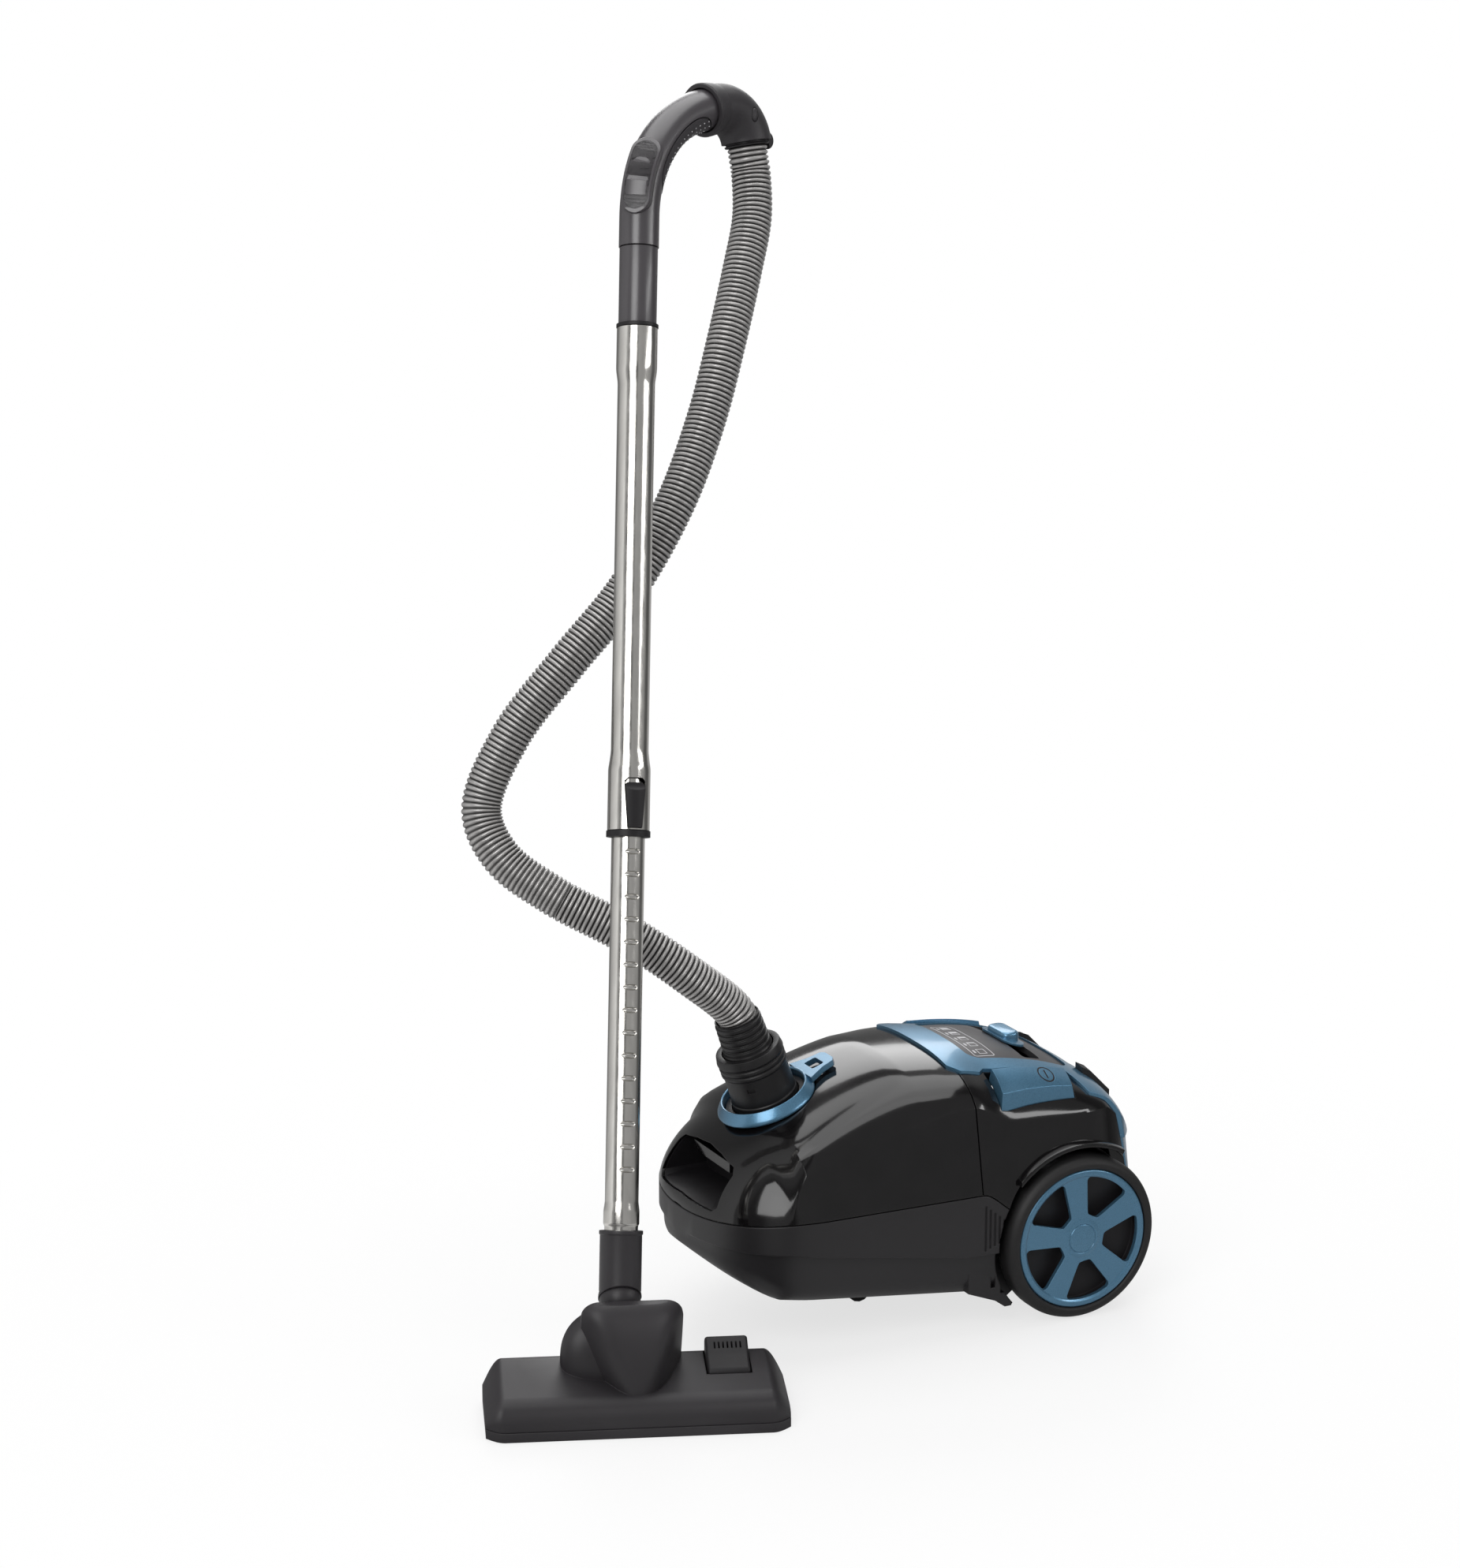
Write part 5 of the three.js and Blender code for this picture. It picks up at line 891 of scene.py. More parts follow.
def make_materials():
    made = {}
    for name, color, roughness, metallic, inputs, *effects in LOOKS:
        shader = Shader(name, color, roughness, metallic, **inputs)
        for act, effect in zip((shader.rough, shader.tint, shader.bumps), effects):
            if effect:
                noise, limits = effect
                act(shader.noise(*noise), *limits)
        # Painted shade and highlight on the hose: its colour falls to 0.12 times in the grooves and rises to 1.25
        # times on the ribs, following the crest attribute.
        if name == "hose_plastic":
            crest = shader.node("Attribute")
            crest.attribute_name = "crest"
            shader.tint(crest.outputs["Fac"], 0.12, 1.25, 0.15, 0.95)
        made[name] = shader.material
    return made


MATERIALS = make_materials()

# Slots of the looks that have no slot of their own name.
SLOT_OF = dict(piano_black="gloss_black", marks="panel_grey", soft_black="matte_black",
               cuff_black="matte_black", satin_black="matte_black", grip_rubber="soft_rubber")
SMOOTH_ANGLE = radians(28)
SMOOTH_ANGLES = dict(nose_pocket=0.9, bag_filled=1.0, filter_foam=1.0, filter_pleats=1.0,
                     foot_pedal_left=0.3, foot_pedal_right=0.3)


def shade(mesh, angle=SMOOTH_ANGLE):
    mesh.polygons.foreach_set("use_smooth", [True] * len(mesh.polygons))
    mesh.set_sharp_from_angle(angle=angle)


# A face follows a form if it is this near and its normal this alike; a corner is looked up a little
# way into its face.
ON_FORM, LIKE_FORM, INTO_FACE = 0.25, 0.8, 0.03


def surface(obj):
    """A lookup of the smooth normals of a clean form: point to (normal, distance)."""
    mesh = obj.data
    shade(mesh, radians(20))
    mesh.calc_loop_triangles()
    normals = [n.vector.copy() for n in mesh.corner_normals]
    points = [v.co.copy() for v in mesh.vertices]
    faces = [(tuple(t.vertices), tuple(t.loops)) for t in mesh.loop_triangles]
    tree = BVHTree.FromPolygons(points, [corners for corners, _ in faces])
    drop(obj)

    def look(point):
        place, _, index, distance = tree.find_nearest(point)
        corners, loops = faces[index]
        normal = barycentric_transform(place, *[points[i] for i in corners],
                                       *[normals[i] for i in loops])
        return normal.normalized(), distance
    return look


def clean_normals(mesh, forms):
    """Corner normals that follow the forms wherever a face lies on one of them."""
    normals = [n.vector.copy() for n in mesh.corner_normals]
    for face in mesh.polygons:
        for form in forms:
            normal, distance = form(face.center)
            if distance > ON_FORM or normal.dot(face.normal) < LIKE_FORM:
                continue
            for i in face.loop_indices:
                corner = mesh.vertices[mesh.loops[i].vertex_index].co
                normals[i] = form(corner.lerp(face.center, INTO_FACE))[0]
            break
    return normals


def piece(name, obj, group, body, material, *nodes, forms=()):
    """Turns a solid in millimetres into a finished piece on a body."""
    angle = SMOOTH_ANGLES.get(name, SMOOTH_ANGLE)
    if forms:
        shade(obj.data, angle)
        normals = clean_normals(obj.data, forms)
    obj.data.transform(Matrix.Scale(1 / METRE, 4) @ group)
    obj.name = name
    obj.data.name = name
    obj.data.materials.clear()
    obj.data.materials.append(MATERIALS[material])
    shade(obj.data, angle)
    if forms:
        obj.data.normals_split_custom_set([tuple(n) for n in normals])
    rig.ride(obj, body)
    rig.slot(obj, SLOT_OF.get(material, material))
    if nodes:
        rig.replaces(obj, *nodes)
    return obj


def pieces(group, *rows):
    """Pieces of one frame, from rows of name, maker, body, material, replaced node and forms."""
    for name, make, body, material, *rest in rows:
        piece(name, make(), group, body, material, *rest[:1], forms=rest[1:])


def dress(material, *names):
    """A better material on CAD nodes that stay."""
    for name in names:
        mesh = NODES[name].data
        mesh.materials.clear()
        mesh.materials.append(MATERIALS[material])
        shade(mesh)


# ---------- canister ----------


def lid_shell():
    front = common(layer(0, -SHELL), across(NOSE_X - 10, LID_REAR_X - SEAM_LINE))
    flange = moved(pipe(SOCKET_RADIUS + 2, SOCKET_RADIUS + 8, -14, 2), ON_INLET)
    collar = common(flange, upper_form(0.5))
    seat = join(rod(SOCKET_RADIUS + 2 * GAP, -40, 60, 96), rod(RING_RADIUS + 5.5, 1, 60, 96))
    grip = prism_x(grip_outline(), NOSE_X - 10, -300)
    return cut(join(front, collar), moved(seat, ON_INLET), grip, panel_column(GAP))


def grip_pocket():
    block = prism_x(grip_outline(SHELL), NOSE_X - 10, GRIP_BACK_X)
    hollow = prism_x(grip_outline(), NOSE_X - 20, GRIP_BACK_X - SHELL)
    return cut(common(block, upper_form(SHELL + GAP)), hollow)


def inlet_socket():
    r = SOCKET_RADIUS
    lip, bore = r + SOCKET_LIP, CUFF_RADIUS + 0.8
    profile = [(r - 7, -26), (r - 3, -26), (r, -20), (r, 1), (lip, 3), (lip, 7), (bore, 7),
               (bore, -16), (r - 7, -18), (r - 7, -26)]
    return revolve(soft(profile, 1.2), 96)


def inlet_ring():
    inner = SOCKET_RADIUS + SOCKET_LIP + RUN
    r = RING_RADIUS
    profile = [(inner, 3), (r + 2.5, 1.5), (r + 4.2, 3.5), (r + 3.4, 6), (inner + 1.8, 14.5),
               (inner, 13.5), (inner, 3)]
    ring = revolve(soft(profile, 1.2), 96)
    tab = prism(with_mirror([(r - 3, -23), (60, -15), (73, -13), (76, -8)]), 7.5, 13.5)
    tab = cut(tab, rod(inner + 0.2, 0, 20, 96))
    return cut(join(ring, tab), prism(rounded_rect(52, 65, -9, 9, 2), 0, 20))


def hose_cuff():
    r, top = CUFF_RADIUS, CUFF_TOP
    profile = [(r - 5, -14), (r, -14), (r, 12), (r - 1, 13), (r - 1.5, top - 22), (r, top - 21),
               (r, top - 18), (r - 1.5, top - 17), (r, top - 15), (r, top - 12),
               (r - 1.5, top - 11), (r + 0.6, top - 8), (r - 1, top), (SLEEVE_RADIUS + 2, top),
               (SLEEVE_RADIUS + 2, top - CUFF_SEAT), (r - 5, top - 10), (r - 5, -14)]
    slit = turned(box(r - 3, r + 4, -4, 4, top - 34, top - 30), -130, "Z")
    return cut(revolve(soft(profile, 0.8), 96), slit)


def cuff_sleeve():
    start = CUFF_TOP - CUFF_SEAT + GAP
    ribs = 5
    pitch = (SLEEVE_LENGTH - 6) / ribs
    outside = []
    for i in range(ribs):
        z, r = start + 7 + pitch * i, SLEEVE_RADIUS - 0.25 * i
        outside += [(r, z), (r, z + pitch * 0.55), (r - 1.6, z + pitch * 0.62),
                    (r - 1.6, z + pitch * 0.88)]
    top = start + SLEEVE_LENGTH + 2
    bore = HOSE_RADIUS + 2 * RUN
    profile = [(bore, start), (SLEEVE_RADIUS + 1, start), (SLEEVE_RADIUS + 1, start + 5), *outside,
               (SLEEVE_RADIUS - 1.6, top), (bore, top), (bore, start)]
    return revolve(soft(profile, 0.6), 80)


def chassis():
    outer = lower_form(0, seam)
    bay = common(lower_form(SHELL + 6, above_seam), across(NOSE_X, BULKHEAD_X - 4))
    engine = common(lower_form(SHELL + 6, above_seam), across(BULKHEAD_X, TAIL_X, 100))
    window = across(BULKHEAD_X - 10, BULKHEAD_X + 10, *BAG_WINDOW)
    bosses = both_sides(at_axle(pipe(AXLE_RADIUS + GAP, 12, -WELL_Y - 3, -90)))
    bore = at_axle(rod(AXLE_RADIUS + GAP, -150, 150))
    caster_hole = shifted(rod(CASTER.pin + GAP, 0, CASTER.top), CASTER.x, 0, 0)
    caster_boss = shifted(rod(CASTER.boss, CASTER.boss_low, CASTER.boss_high), CASTER.x, 0, 0)
    outlet = shifted(along_x(rod(CORD_OUTLET.radius, 0, 60)), TAIL_X - 40, CORD_OUTLET.y,
                     CORD_OUTLET.z)
    tub = cut(outer, bay, engine, *wheel_wells(), window)
    whole = join(tub, *bosses, caster_boss, *both_sides(mudguard()))
    return cut(whole, bore, caster_hole, outlet, *grooves())


def mudguard():
    y0 = WELL_Y - 2
    profile = [(-118, 40), (-88, 28), (-77, 20), (-70, 20), (-66, 26), (-80, 92), (-118, 92)]
    slots = [box(-93 + 11 * i, -88 + 11 * i, 116, 140, 42 - 7 * i, 55 - 8 * i) for i in range(3)]
    well = at_axle(rod(WELL_RADIUS, y0 - 5, 140, 128))
    backing = prism_y([(-96, 38), (-84, 31), (-66, 22), (-52, 32), (-52, 90), (-96, 90)],
                      y0, y0 + 2.4)
    return join(cut(prism_y(profile, y0, 122), well, *slots), backing)


def grooves():
    places = [(i, -107 + 5 * i, side) for side in (-1, 1) for i in range(5)]
    return [box(x, x + 2, side * half_width(x) - 1.2, side * half_width(x) + 1.2,
                86 + 2 * i, 132 - 4 * i) for i, x, side in places]


def rear_cover():
    skin = cut(layer(0, -SHELL), panel_column(GAP))
    step = cut(common(layer(0, DECK_LOW), panel_column(GAP + 2.5)), panel_column(GAP))
    deck = common(layer(-PANEL.deck, DECK_LOW), panel_column(GAP + 2))
    vent = across(GRILLE.front + 8, TAIL_X, GRILLE.half - 8, GRILLE.low + 8)
    slot = across(SLOT.x - 8, SLOT.x + 8, SLOT.half, *COLUMN)
    behind = across(LID_REAR_X, TAIL_X + 10)
    holes = [prism(pedal_outline(side, RUN), *COLUMN) for side in (-1, 1)]
    body = cut(join(skin, step, cut(deck, vent, slot)), *wheel_wells(), *holes)
    return common(body, behind)


def control_frame():
    body = common(layer(PANEL.top, -PANEL.bed), panel_column(0),
                  across(-FAR, FAR, low=REAR_PANEL.top + GAP))
    return cut(body, prism(inset_outline(GAP), *COLUMN), grille_column(GAP))


def control_inset():
    body = common(layer(INSET.top, -PANEL.bed), prism(inset_outline(0), *COLUMN))
    outline = rounded_rect(SLOT.x - SLOT.width / 2, SLOT.x + SLOT.width / 2,
                           -SLOT.half, SLOT.half, 4)
    return cut(body, prism(outline, *COLUMN))


def rear_panel():
    return common(layer(1, -PANEL.bed), panel_column(0),
                  across(0, FAR, FAR, REAR_PANEL.bottom, REAR_PANEL.top))


def power_slider():
    x, half = SLOT.x, SLIDER_HALF
    outline = [(x - 5, -half), (x + 5, -half), (x + 12, -half + 10), (x + 12, half - 10),
               (x + 5, half), (x - 5, half), (x - 12, half - 10), (x - 12, -half + 10)]
    outline = soft_loop(outline, 4, 5)
    base = rounded(common(layer(4.2, 1.9), prism(outline, *COLUMN)), 0.9, 3)
    knob = rounded(prism(rounded_rect(x - 10, x + 10, -19, 19, 8), 248, ridge(x) + 12), 3.4, 5)
    stem = common(layer(4, -7), across(x - 3, x + 3, 6, *COLUMN))
    return join(base, knob, stem)


def pedal(side):
    rings = [[(x, y, z) for x, y in pedal_outline(side, extra)]
             for extra, z in ((0, 200), (0, 216), (-PEDAL.slant, 262))]
    body = common(layer(PEDAL.height, -4), loft(rings))
    return body if side > 0 else cut(body, power_sign(3))


def power_sign(proud):
    """Generic power sign through the face of the near pedal, standing out of it by proud."""
    x, y = -18, -93
    ring = shifted(pipe(7.2, 8.6, *COLUMN), x, y, 0)
    sign = join(ring, box(x - 0.8, x + 0.8, y - 4.6, y + 4.6, *COLUMN))
    return common(sign, layer(PEDAL.height + proud, PEDAL.height - 0.7))


def panel_marks():
    """Plain setting signs in a thin frame on the control inset."""
    x0, x1, y0, y1 = -75, -52, -54, 38
    inside = rounded_rect(x0 + 0.9, x1 - 0.9, y0 + 0.9, y1 - 0.9, 2.2)
    signs = [cut(prism(rounded_rect(x0, x1, y0, y1, 3), *COLUMN), prism(inside, *PAST_COLUMN))]
    for i in range(5):
        y = y0 + 10 + 18 * i
        outer = box(-67, -58, y - 5, y + 5, *COLUMN)
        inner = box(-66.2, -58.8, y - 4.2, y + 4.2 - 1.6 * i, *PAST_COLUMN)
        signs += [cut(outer, inner), box(-71.5, -69.5, y - 3, y + 3, *COLUMN)]
    return common(join(*signs), layer(INSET.top + 0.12, INSET.top - 0.8))


def arch_lips():
    """Flared lips of the cover over the wheels."""
    profile = [(91.3, 116), (95, 116), (97, 128), (95.5, 135), (91.3, 135), (91.3, 116)]
    ring = at_axle(revolve(soft(profile, 1.5), 160))
    keep = prism_y([(-68, 146), (-20, 150), (30, 150), (43, 155), (49, 166), (40, 210), (-60, 210)],
                   80, 150)
    return join(*both_sides(common(ring, keep)))


def exhaust_grille():
    body = common(layer(PANEL.top - 1, -3.5), grille_column(0))
    half, slit = GRILLE.half - 6, GRILLE.slit / 2
    angles = [20 + 50 * i / (GRILLE.louvres - 1) for i in range(GRILLE.louvres)]
    return cut(body, *[shifted(turned(across(60, 220, half, -slit, slit), -angle, "Y"), -45, 0, 132)
                       for angle in angles])


# ---------- bag, filters and brushes ----------


def filled_bag():
    """A filled bag: creased towards its collar, tucked in at the sides and flat where it rests."""
    rows, columns = BAG.rows, BAG.columns
    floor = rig.box("dust_bag")[0].z * METRE
    points = []
    for i in range(rows + 1):
        lead = pi * i / rows
        for j in range(columns):
            around = 2 * pi * j / columns
            unit = (cos(lead), sin(lead) * cos(around), sin(lead) * sin(around))
            near_collar = (0.5 - 0.5 * unit[0]) ** 1.6
            folds = BAG.folds * near_collar * (1 + sin(13 * around + 2 * sin(3 * around)))
            slack = BAG.slack * (1 + sin(5 * around + 4 * lead)) * sin(lead)
            tuck = BAG.tuck * exp(-(unit[2] / BAG.tuck_height) ** 2) * sin(lead) ** 2
            kept = 1 - folds - slack - tuck
            swell = [copysign(abs(t) ** BAG.squareness, t) * kept for t in unit]
            x, y, z = (c + size * t for c, size, t in zip(BAG.at, BAG.half, swell))
            points.append((x, y, max(z, floor)))
    faces = [(i * columns + j, i * columns + (j + 1) % columns,
              (i + 1) * columns + (j + 1) % columns, (i + 1) * columns + j)
             for i in range(rows) for j in range(columns)]
    return solid(points, faces)


def foam_pad():
    """Motor filter: a foam pad, pressed thin along its edge and along its welded lines."""
    low, high = [(v * METRE - at for v, at in zip(corner, CANISTER_AT))
                 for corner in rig.box("motor_filter")]
    (x0, y0, z0), (x1, y1, z1) = low, high
    wide, tall = FOAM.wide, FOAM.tall
    middle, half = (x0 + x1) / 2, (x1 - x0) / 2

    def thickness(y, z):
        edge = clamp01(min(y - y0, y1 - y, z - z0, z1 - z) / FOAM.edge)
        weld = min(abs((y - y0) % FOAM.pitch_y - FOAM.pitch_y / 2),
                   abs((z - z0) % FOAM.pitch_z - FOAM.pitch_z / 2))
        return half * (0.3 + 0.7 * edge ** 0.5) * (0.6 + 0.4 * clamp01(weld / FOAM.weld) ** 0.6)
    grid = [(y0 + (y1 - y0) * j / wide, z0 + (z1 - z0) * i / tall)
            for i in range(tall + 1) for j in range(wide + 1)]
    points = [(middle + s * thickness(y, z), y, z) for s in (-1, 1) for y, z in grid]
    size, row = len(grid), wide + 1
    faces = [(k, k + 1, k + row + 1, k + row) for start in (0, size) for i in range(tall)
             for k in range(start + i * row, start + i * row + wide)]
    rim = [*range(wide), *range(wide, tall * row, row),
           *range(size - 1, tall * row, -1), *range(tall * row, 0, -row)]
    faces += [(a, b, b + size, a + size) for a, b in zip(rim, rim[1:] + rim[:1])]
    return solid(points, faces)


def pleated_pad():
    """Exhaust filter: a pleated pad under the grille."""
    top, x0, half = DECK_LOW - GAP, GRILLE.front + 4, GRILLE.half - 4
    pad = common(layer(top, top - PLEATS.thick), across(x0, TAIL_X - 20, half, GRILLE.low + 2))
    starts = [x0 + 3 + PLEATS.pitch * i for i in range(PLEATS.count)]
    pleats = [across(x, x + PLEATS.gap, half - 3, 100) for x in starts]
    return cut(pad, common(join(*pleats), layer(top + 2, top - 5)))


def bristle_strips():
    """Two rows of tufts in their backing strips, tied by two links."""
    thick, half, pitch = BRUSH.thick / 2, BRUSH.half, TUFT_PITCH
    rows = (BRUSH.front, BRUSH.rear)
    made = [box(x - 4, x + 4, *rows, 16, 19) for x in (-70, 70)]
    made += [box(-half, half, y - thick - 0.5, y + thick + 0.5, 15, 19) for y in rows]
    tufts = []
    for y in rows:
        for i in range(int(2 * half / pitch)):
            x = -half + pitch * (i + 0.5)
            tip = [(x + sx * 1.7, y + sy * thick, 1) for sx, sy in QUAD]
            root = [(x + sx * 1.1, y + sy * (thick - 0.7), 15.5) for sx, sy in QUAD]
            tufts.append(loft([tip, root]))
    return gathered([join(*made), *tufts])


# ---------- wheels ----------


def on_axle(obj, side):
    return at_axle(obj) if side > 0 else turned(at_axle(obj), 180, "Z")


def tyre(side):
    face, r, inner = WHEEL_FACE_Y, WHEEL_RADIUS, RIM_RADIUS + GAP
    back = face - WHEEL_WIDTH
    profile = [(inner, back + 1), (inner + 6, back), (r - 3, back + 2), (r, back + 6),
               (r, face - 9), (r - 2, face - 4), (r - 6, face - 0.5), (inner + 2, face),
               (inner, face - 2), (inner, back + 1)]
    return on_axle(revolve(soft(profile, 3, 5), 160), side)


def wheel_core(side):
    face, r, bore = WHEEL_FACE_Y - 8, RIM_RADIUS, AXLE_RADIUS + GAP
    profile = [(bore, 107), (14, 107), (14, 117), (r - 5, 121), (r - 5, 114), (r, 114), (r, face),
               (r - 5, face), (r - 5, 125), (14, 121), (14, face), (bore, face), (bore, 107)]
    return on_axle(revolve(soft(profile, 1), 128), side)


def spoke_windows(z0, z1):
    """Openings between the spokes."""
    out, inner = RIM_RADIUS - 7.5, 24
    pitch = 360 / SPOKES
    half_out, half_in = pitch / 2 - 14.5, pitch / 2 - 22
    made = []
    for i in range(SPOKES):
        middle = 90 + SPOKE_TURN + pitch * (i + 0.5)

        def at(r, a):
            return arc(0, 0, r, middle + a, middle + a, 1)[0]
        outline = [*arc(0, 0, out, middle - half_out, middle + half_out, 16),
                   at(out - 3, half_out + 2.2), at(inner + 5, half_in + 3),
                   at(inner + 1, half_in), at(inner, 0), at(inner + 1, -half_in),
                   at(inner + 5, -half_in - 3), at(out - 3, -half_out - 2.2)]
        made.append(prism(soft_loop(outline, 1.6), z0, z1))
    return made


def wheel_rim(side):
    face, r = WHEEL_FACE_Y - 1.5, RIM_RADIUS
    profile = [(0, face - 6), (r, face - 6), (r, face - 1.2), (r - 1.4, face), (r - 5.5, face),
               (r - 7.5, face - 1.6), (HUB_RADIUS + 6, face - 1.6), (HUB_RADIUS + 3, face - 0.6),
               (HUB_RADIUS + 1.2, face - 0.6), (HUB_RADIUS + 0.6, face - 1.4),
               (HUB_RADIUS, face - 0.4), (0, face - 0.4)]
    plate = revolve(soft(profile, 0.7), 160)
    return on_axle(cut(plate, *spoke_windows(face - 8, face + 2)), side)


# ---------- tube ----------


def inner_tube():
    r, top = INNER_RADIUS, OUTER_START + INNER_OVERLAP
    wall, flare = r - 3.4, r + 1.1
    profile = [(wall, -24), (r, -24), (r, 4), (flare, 6), (flare, 18), (r, 26), (r, top),
               (wall, top), (wall, -24)]
    tube = revolve(soft(profile, 1.5), 96)
    return cut(tube, *[shifted(scaled_ball(32, 8.6, 2.6, 2.8), 0, -r + 0.4,
                               OUTER_START - 14 - DETENT_PITCH * i) for i in range(DETENTS)])


def lock_outline(extra):
    top = LOCK_TRAVEL + extra if extra > 0 else 0
    return [(-6.5 - extra, 2 - extra), (6.5 + extra, 2 - extra), (9.5 + extra, 41),
            (9.5 + extra, 41 + top), (7, 44 + top), (-7, 44 + top), (-9.5 - extra, 41 + top),
            (-9.5 - extra, 41)]


def outer_tube():
    r, wall, lock = OUTER_RADIUS, TUBE_WALL, LOCK_RADIUS
    top, start = r + OUTER_FLARE, LOCK_START
    shoulder = start + LOCK_LENGTH
    profile = [(lock - wall, start), (lock, start), (lock, shoulder), (lock - 1, shoulder + 6),
               (r, shoulder + 16), (r, OUTER_END - 52), (top, OUTER_END - 40), (top, OUTER_END),
               (top - wall, OUTER_END), (top - wall, OUTER_END - 40), (r - wall, OUTER_END - 52),
               (r - wall, shoulder + 16), (lock - wall, shoulder + 4), (lock - wall, start)]
    tube = revolve(soft(profile, 3, 5), 96)
    return cut(tube, shifted(prism_y(lock_outline(RUN), -lock - 5, -5), 0, 0, start))


def tube_end_ring():
    return pipe(INNER_RADIUS + GAP, LOCK_RADIUS + 0.9, OUTER_START, LOCK_START - GAP, 96)


def tube_collar():
    return pipe(HANDLE_RADIUS - 0.6, OUTER_RADIUS + 2.3, OUTER_END + GAP, OUTER_END + 3.4, 96)


def lock_button():
    ring = cut(rod(LOCK_RADIUS + 3.4, 0, 60, 96), rod(INNER_RADIUS + RUN, -1, 61, 96))
    scoop = shifted(along_x(rod(9, -30, 30)), 0, -LOCK_RADIUS - 8.6, 44)
    key = cut(common(ring, prism_y(lock_outline(0), -40, -5)), scoop)
    return shifted(key, 0, 0, LOCK_START)


def turn_to(direction):
    """The turn from upright to a direction."""
    return Vector((0, 0, 1)).rotation_difference(direction).to_matrix().to_4x4()


def half_space(normal, offset, at):
    """Block below a plane that passes at an offset from a point."""
    block = shifted(box(-100, 100, -100, 100, -100, 0), 0, 0, offset)
    return moved(moved(block, turn_to(normal)), Matrix.Translation(at))


def ball(radius, sides=64):
    steps = 32
    points = [(radius * sin(pi * i / steps), -radius * cos(pi * i / steps))
              for i in range(steps + 1)]
    points[0], points[-1] = (0, -radius), (0, radius)
    return revolve(points, sides)


def swivel_axis():
    lean = radians(SWIVEL_LEAN)
    axis = Vector((0, sin(lean), cos(lean)))
    return Matrix.Rotation(radians(HEAD_TURN), 3, "Z") @ axis


def neck():
    normal = TUBE.to_3x3().transposed() @ swivel_axis()
    r, low = NECK_RADIUS, -NECK_DROP + 6
    profile = [(0, low), (r, low), (r, -4), (r + 0.8, -3.5), (r + 0.8, 0), (0, 0)]
    body = join(revolve(soft(profile, 0.6), 96), shifted(ball(r + 0.6), 0, 0, -NECK_DROP))
    socket = rod(INNER_RADIUS + GAP, -25, 5)
    airway = rod(INNER_RADIUS - 2, -NECK_DROP - 12, 0)
    return cut(body, socket, airway, half_space(normal, GAP / 2, (0, 0, -NECK_DROP)))


# ---------- handle ----------


def handle_tube():
    r, top = HANDLE_RADIUS, HANDLE_TUBE - GAP
    spigot = OUTER_RADIUS + OUTER_FLARE - TUBE_WALL - GAP
    profile = [(14, -34), (spigot, -34), (spigot, -1), (r - 1.2, GAP), (r - 1.2, 3.4 + GAP),
               (r, 3.4 + GAP), (r + 0.2, top), (14, top), (14, -34)]
    return revolve(soft(profile, 0.6), 96)


def grip_radius(angle):
    share = clamp01((angle - GRIP_SWELL.start) / GRIP_SWELL.length)
    return GRIP_RADIUS + GRIP_SWELL.by * share ** 2


def twisted(points):
    a = radians(GRIP_TWIST)
    return [(out * cos(a) + side * sin(a), side * cos(a) - out * sin(a)) for out, side in points]


def along_grip(start, end, steps, section, spread=lambda t: t):
    return shifted(bent_body(BEND_RADIUS, start, end, steps, section, spread),
                   0, 0, HANDLE_STRAIGHT)


def round_ends(t):
    return (1 - cos(pi * t)) / 2


def racetrack(angle, start, end, half):
    per_degree = radians(BEND_RADIUS + GRIP_RADIUS)
    reach = min(angle - start, end - angle) * per_degree
    if reach >= half:
        return half
    return sqrt(max(half ** 2 - (half - reach) ** 2, 1))


def slab(half, low, high):
    corner, near = 1.5, 0.45
    return twisted([(low, -half), (high - corner, -half), (high - near, -half + near),
                    (high, -half + corner), (high, half - corner), (high - near, half - near),
                    (high - corner, half), (low, half)])


def valve_slab(low, high, half, under, over):
    """Slab with round ends along the top of the grip."""
    return along_grip(low, high, 40, lambda a: slab(racetrack(a, low, high, half), under, over),
                      round_ends)


def handle_grip():
    start = HANDLE_TUBE + GAP
    outer = along_grip(0, BEND_ANGLE, 48, lambda a: circle(grip_radius(a), 64))
    foot = rod(GRIP_RADIUS, start, HANDLE_STRAIGHT + 0.1, 64)
    bore = along_grip(-0.5, BEND_ANGLE + 1, 16, lambda a: circle(GRIP_BORE, 24))
    mouth = rod(GRIP_BORE, start - 1, HANDLE_STRAIGHT + 2, 24)
    low, high, half = VALVE.low, VALVE.high, VALVE.half
    boss = valve_slab(low, high, 14.5, 8, GRIP_RADIUS + 3.2)
    bed = valve_slab(low + 1.6, high - 1.6, half + 2 * RUN, GRIP_RADIUS - 2.4, GRIP_RADIUS + 12)
    return cut(join(outer, foot, boss), bore, mouth, bed, grip_insert(4 * GAP))


def grip_insert(extra=0):
    """Rubber insert round the inside of the grip's bend, or grown by extra to cut its seat."""
    start, end, steps = INSERT.start - extra / 2, INSERT.end + extra / 2, INSERT.steps

    def section(a):
        t = 2 * (a - start) / (end - start) - 1
        reach = INSERT.turn * sqrt(max(1 - t ** 6, 0.1)) + 2 * extra
        over = grip_radius(a) + INSERT.over + (5 if extra > 0 else 0)
        under = grip_radius(a) - INSERT.under - extra
        turns = [radians(reach * (i / steps - 1) * (INSERT.near if i < steps else 1))
                 for i in range(2 * steps + 1)]
        outer = [(-over * cos(t), over * sin(t)) for t in turns]
        inner = [(-under * cos(t), under * sin(t)) for t in reversed(turns)]
        return twisted(outer + inner)
    return along_grip(start, end, 48, section)


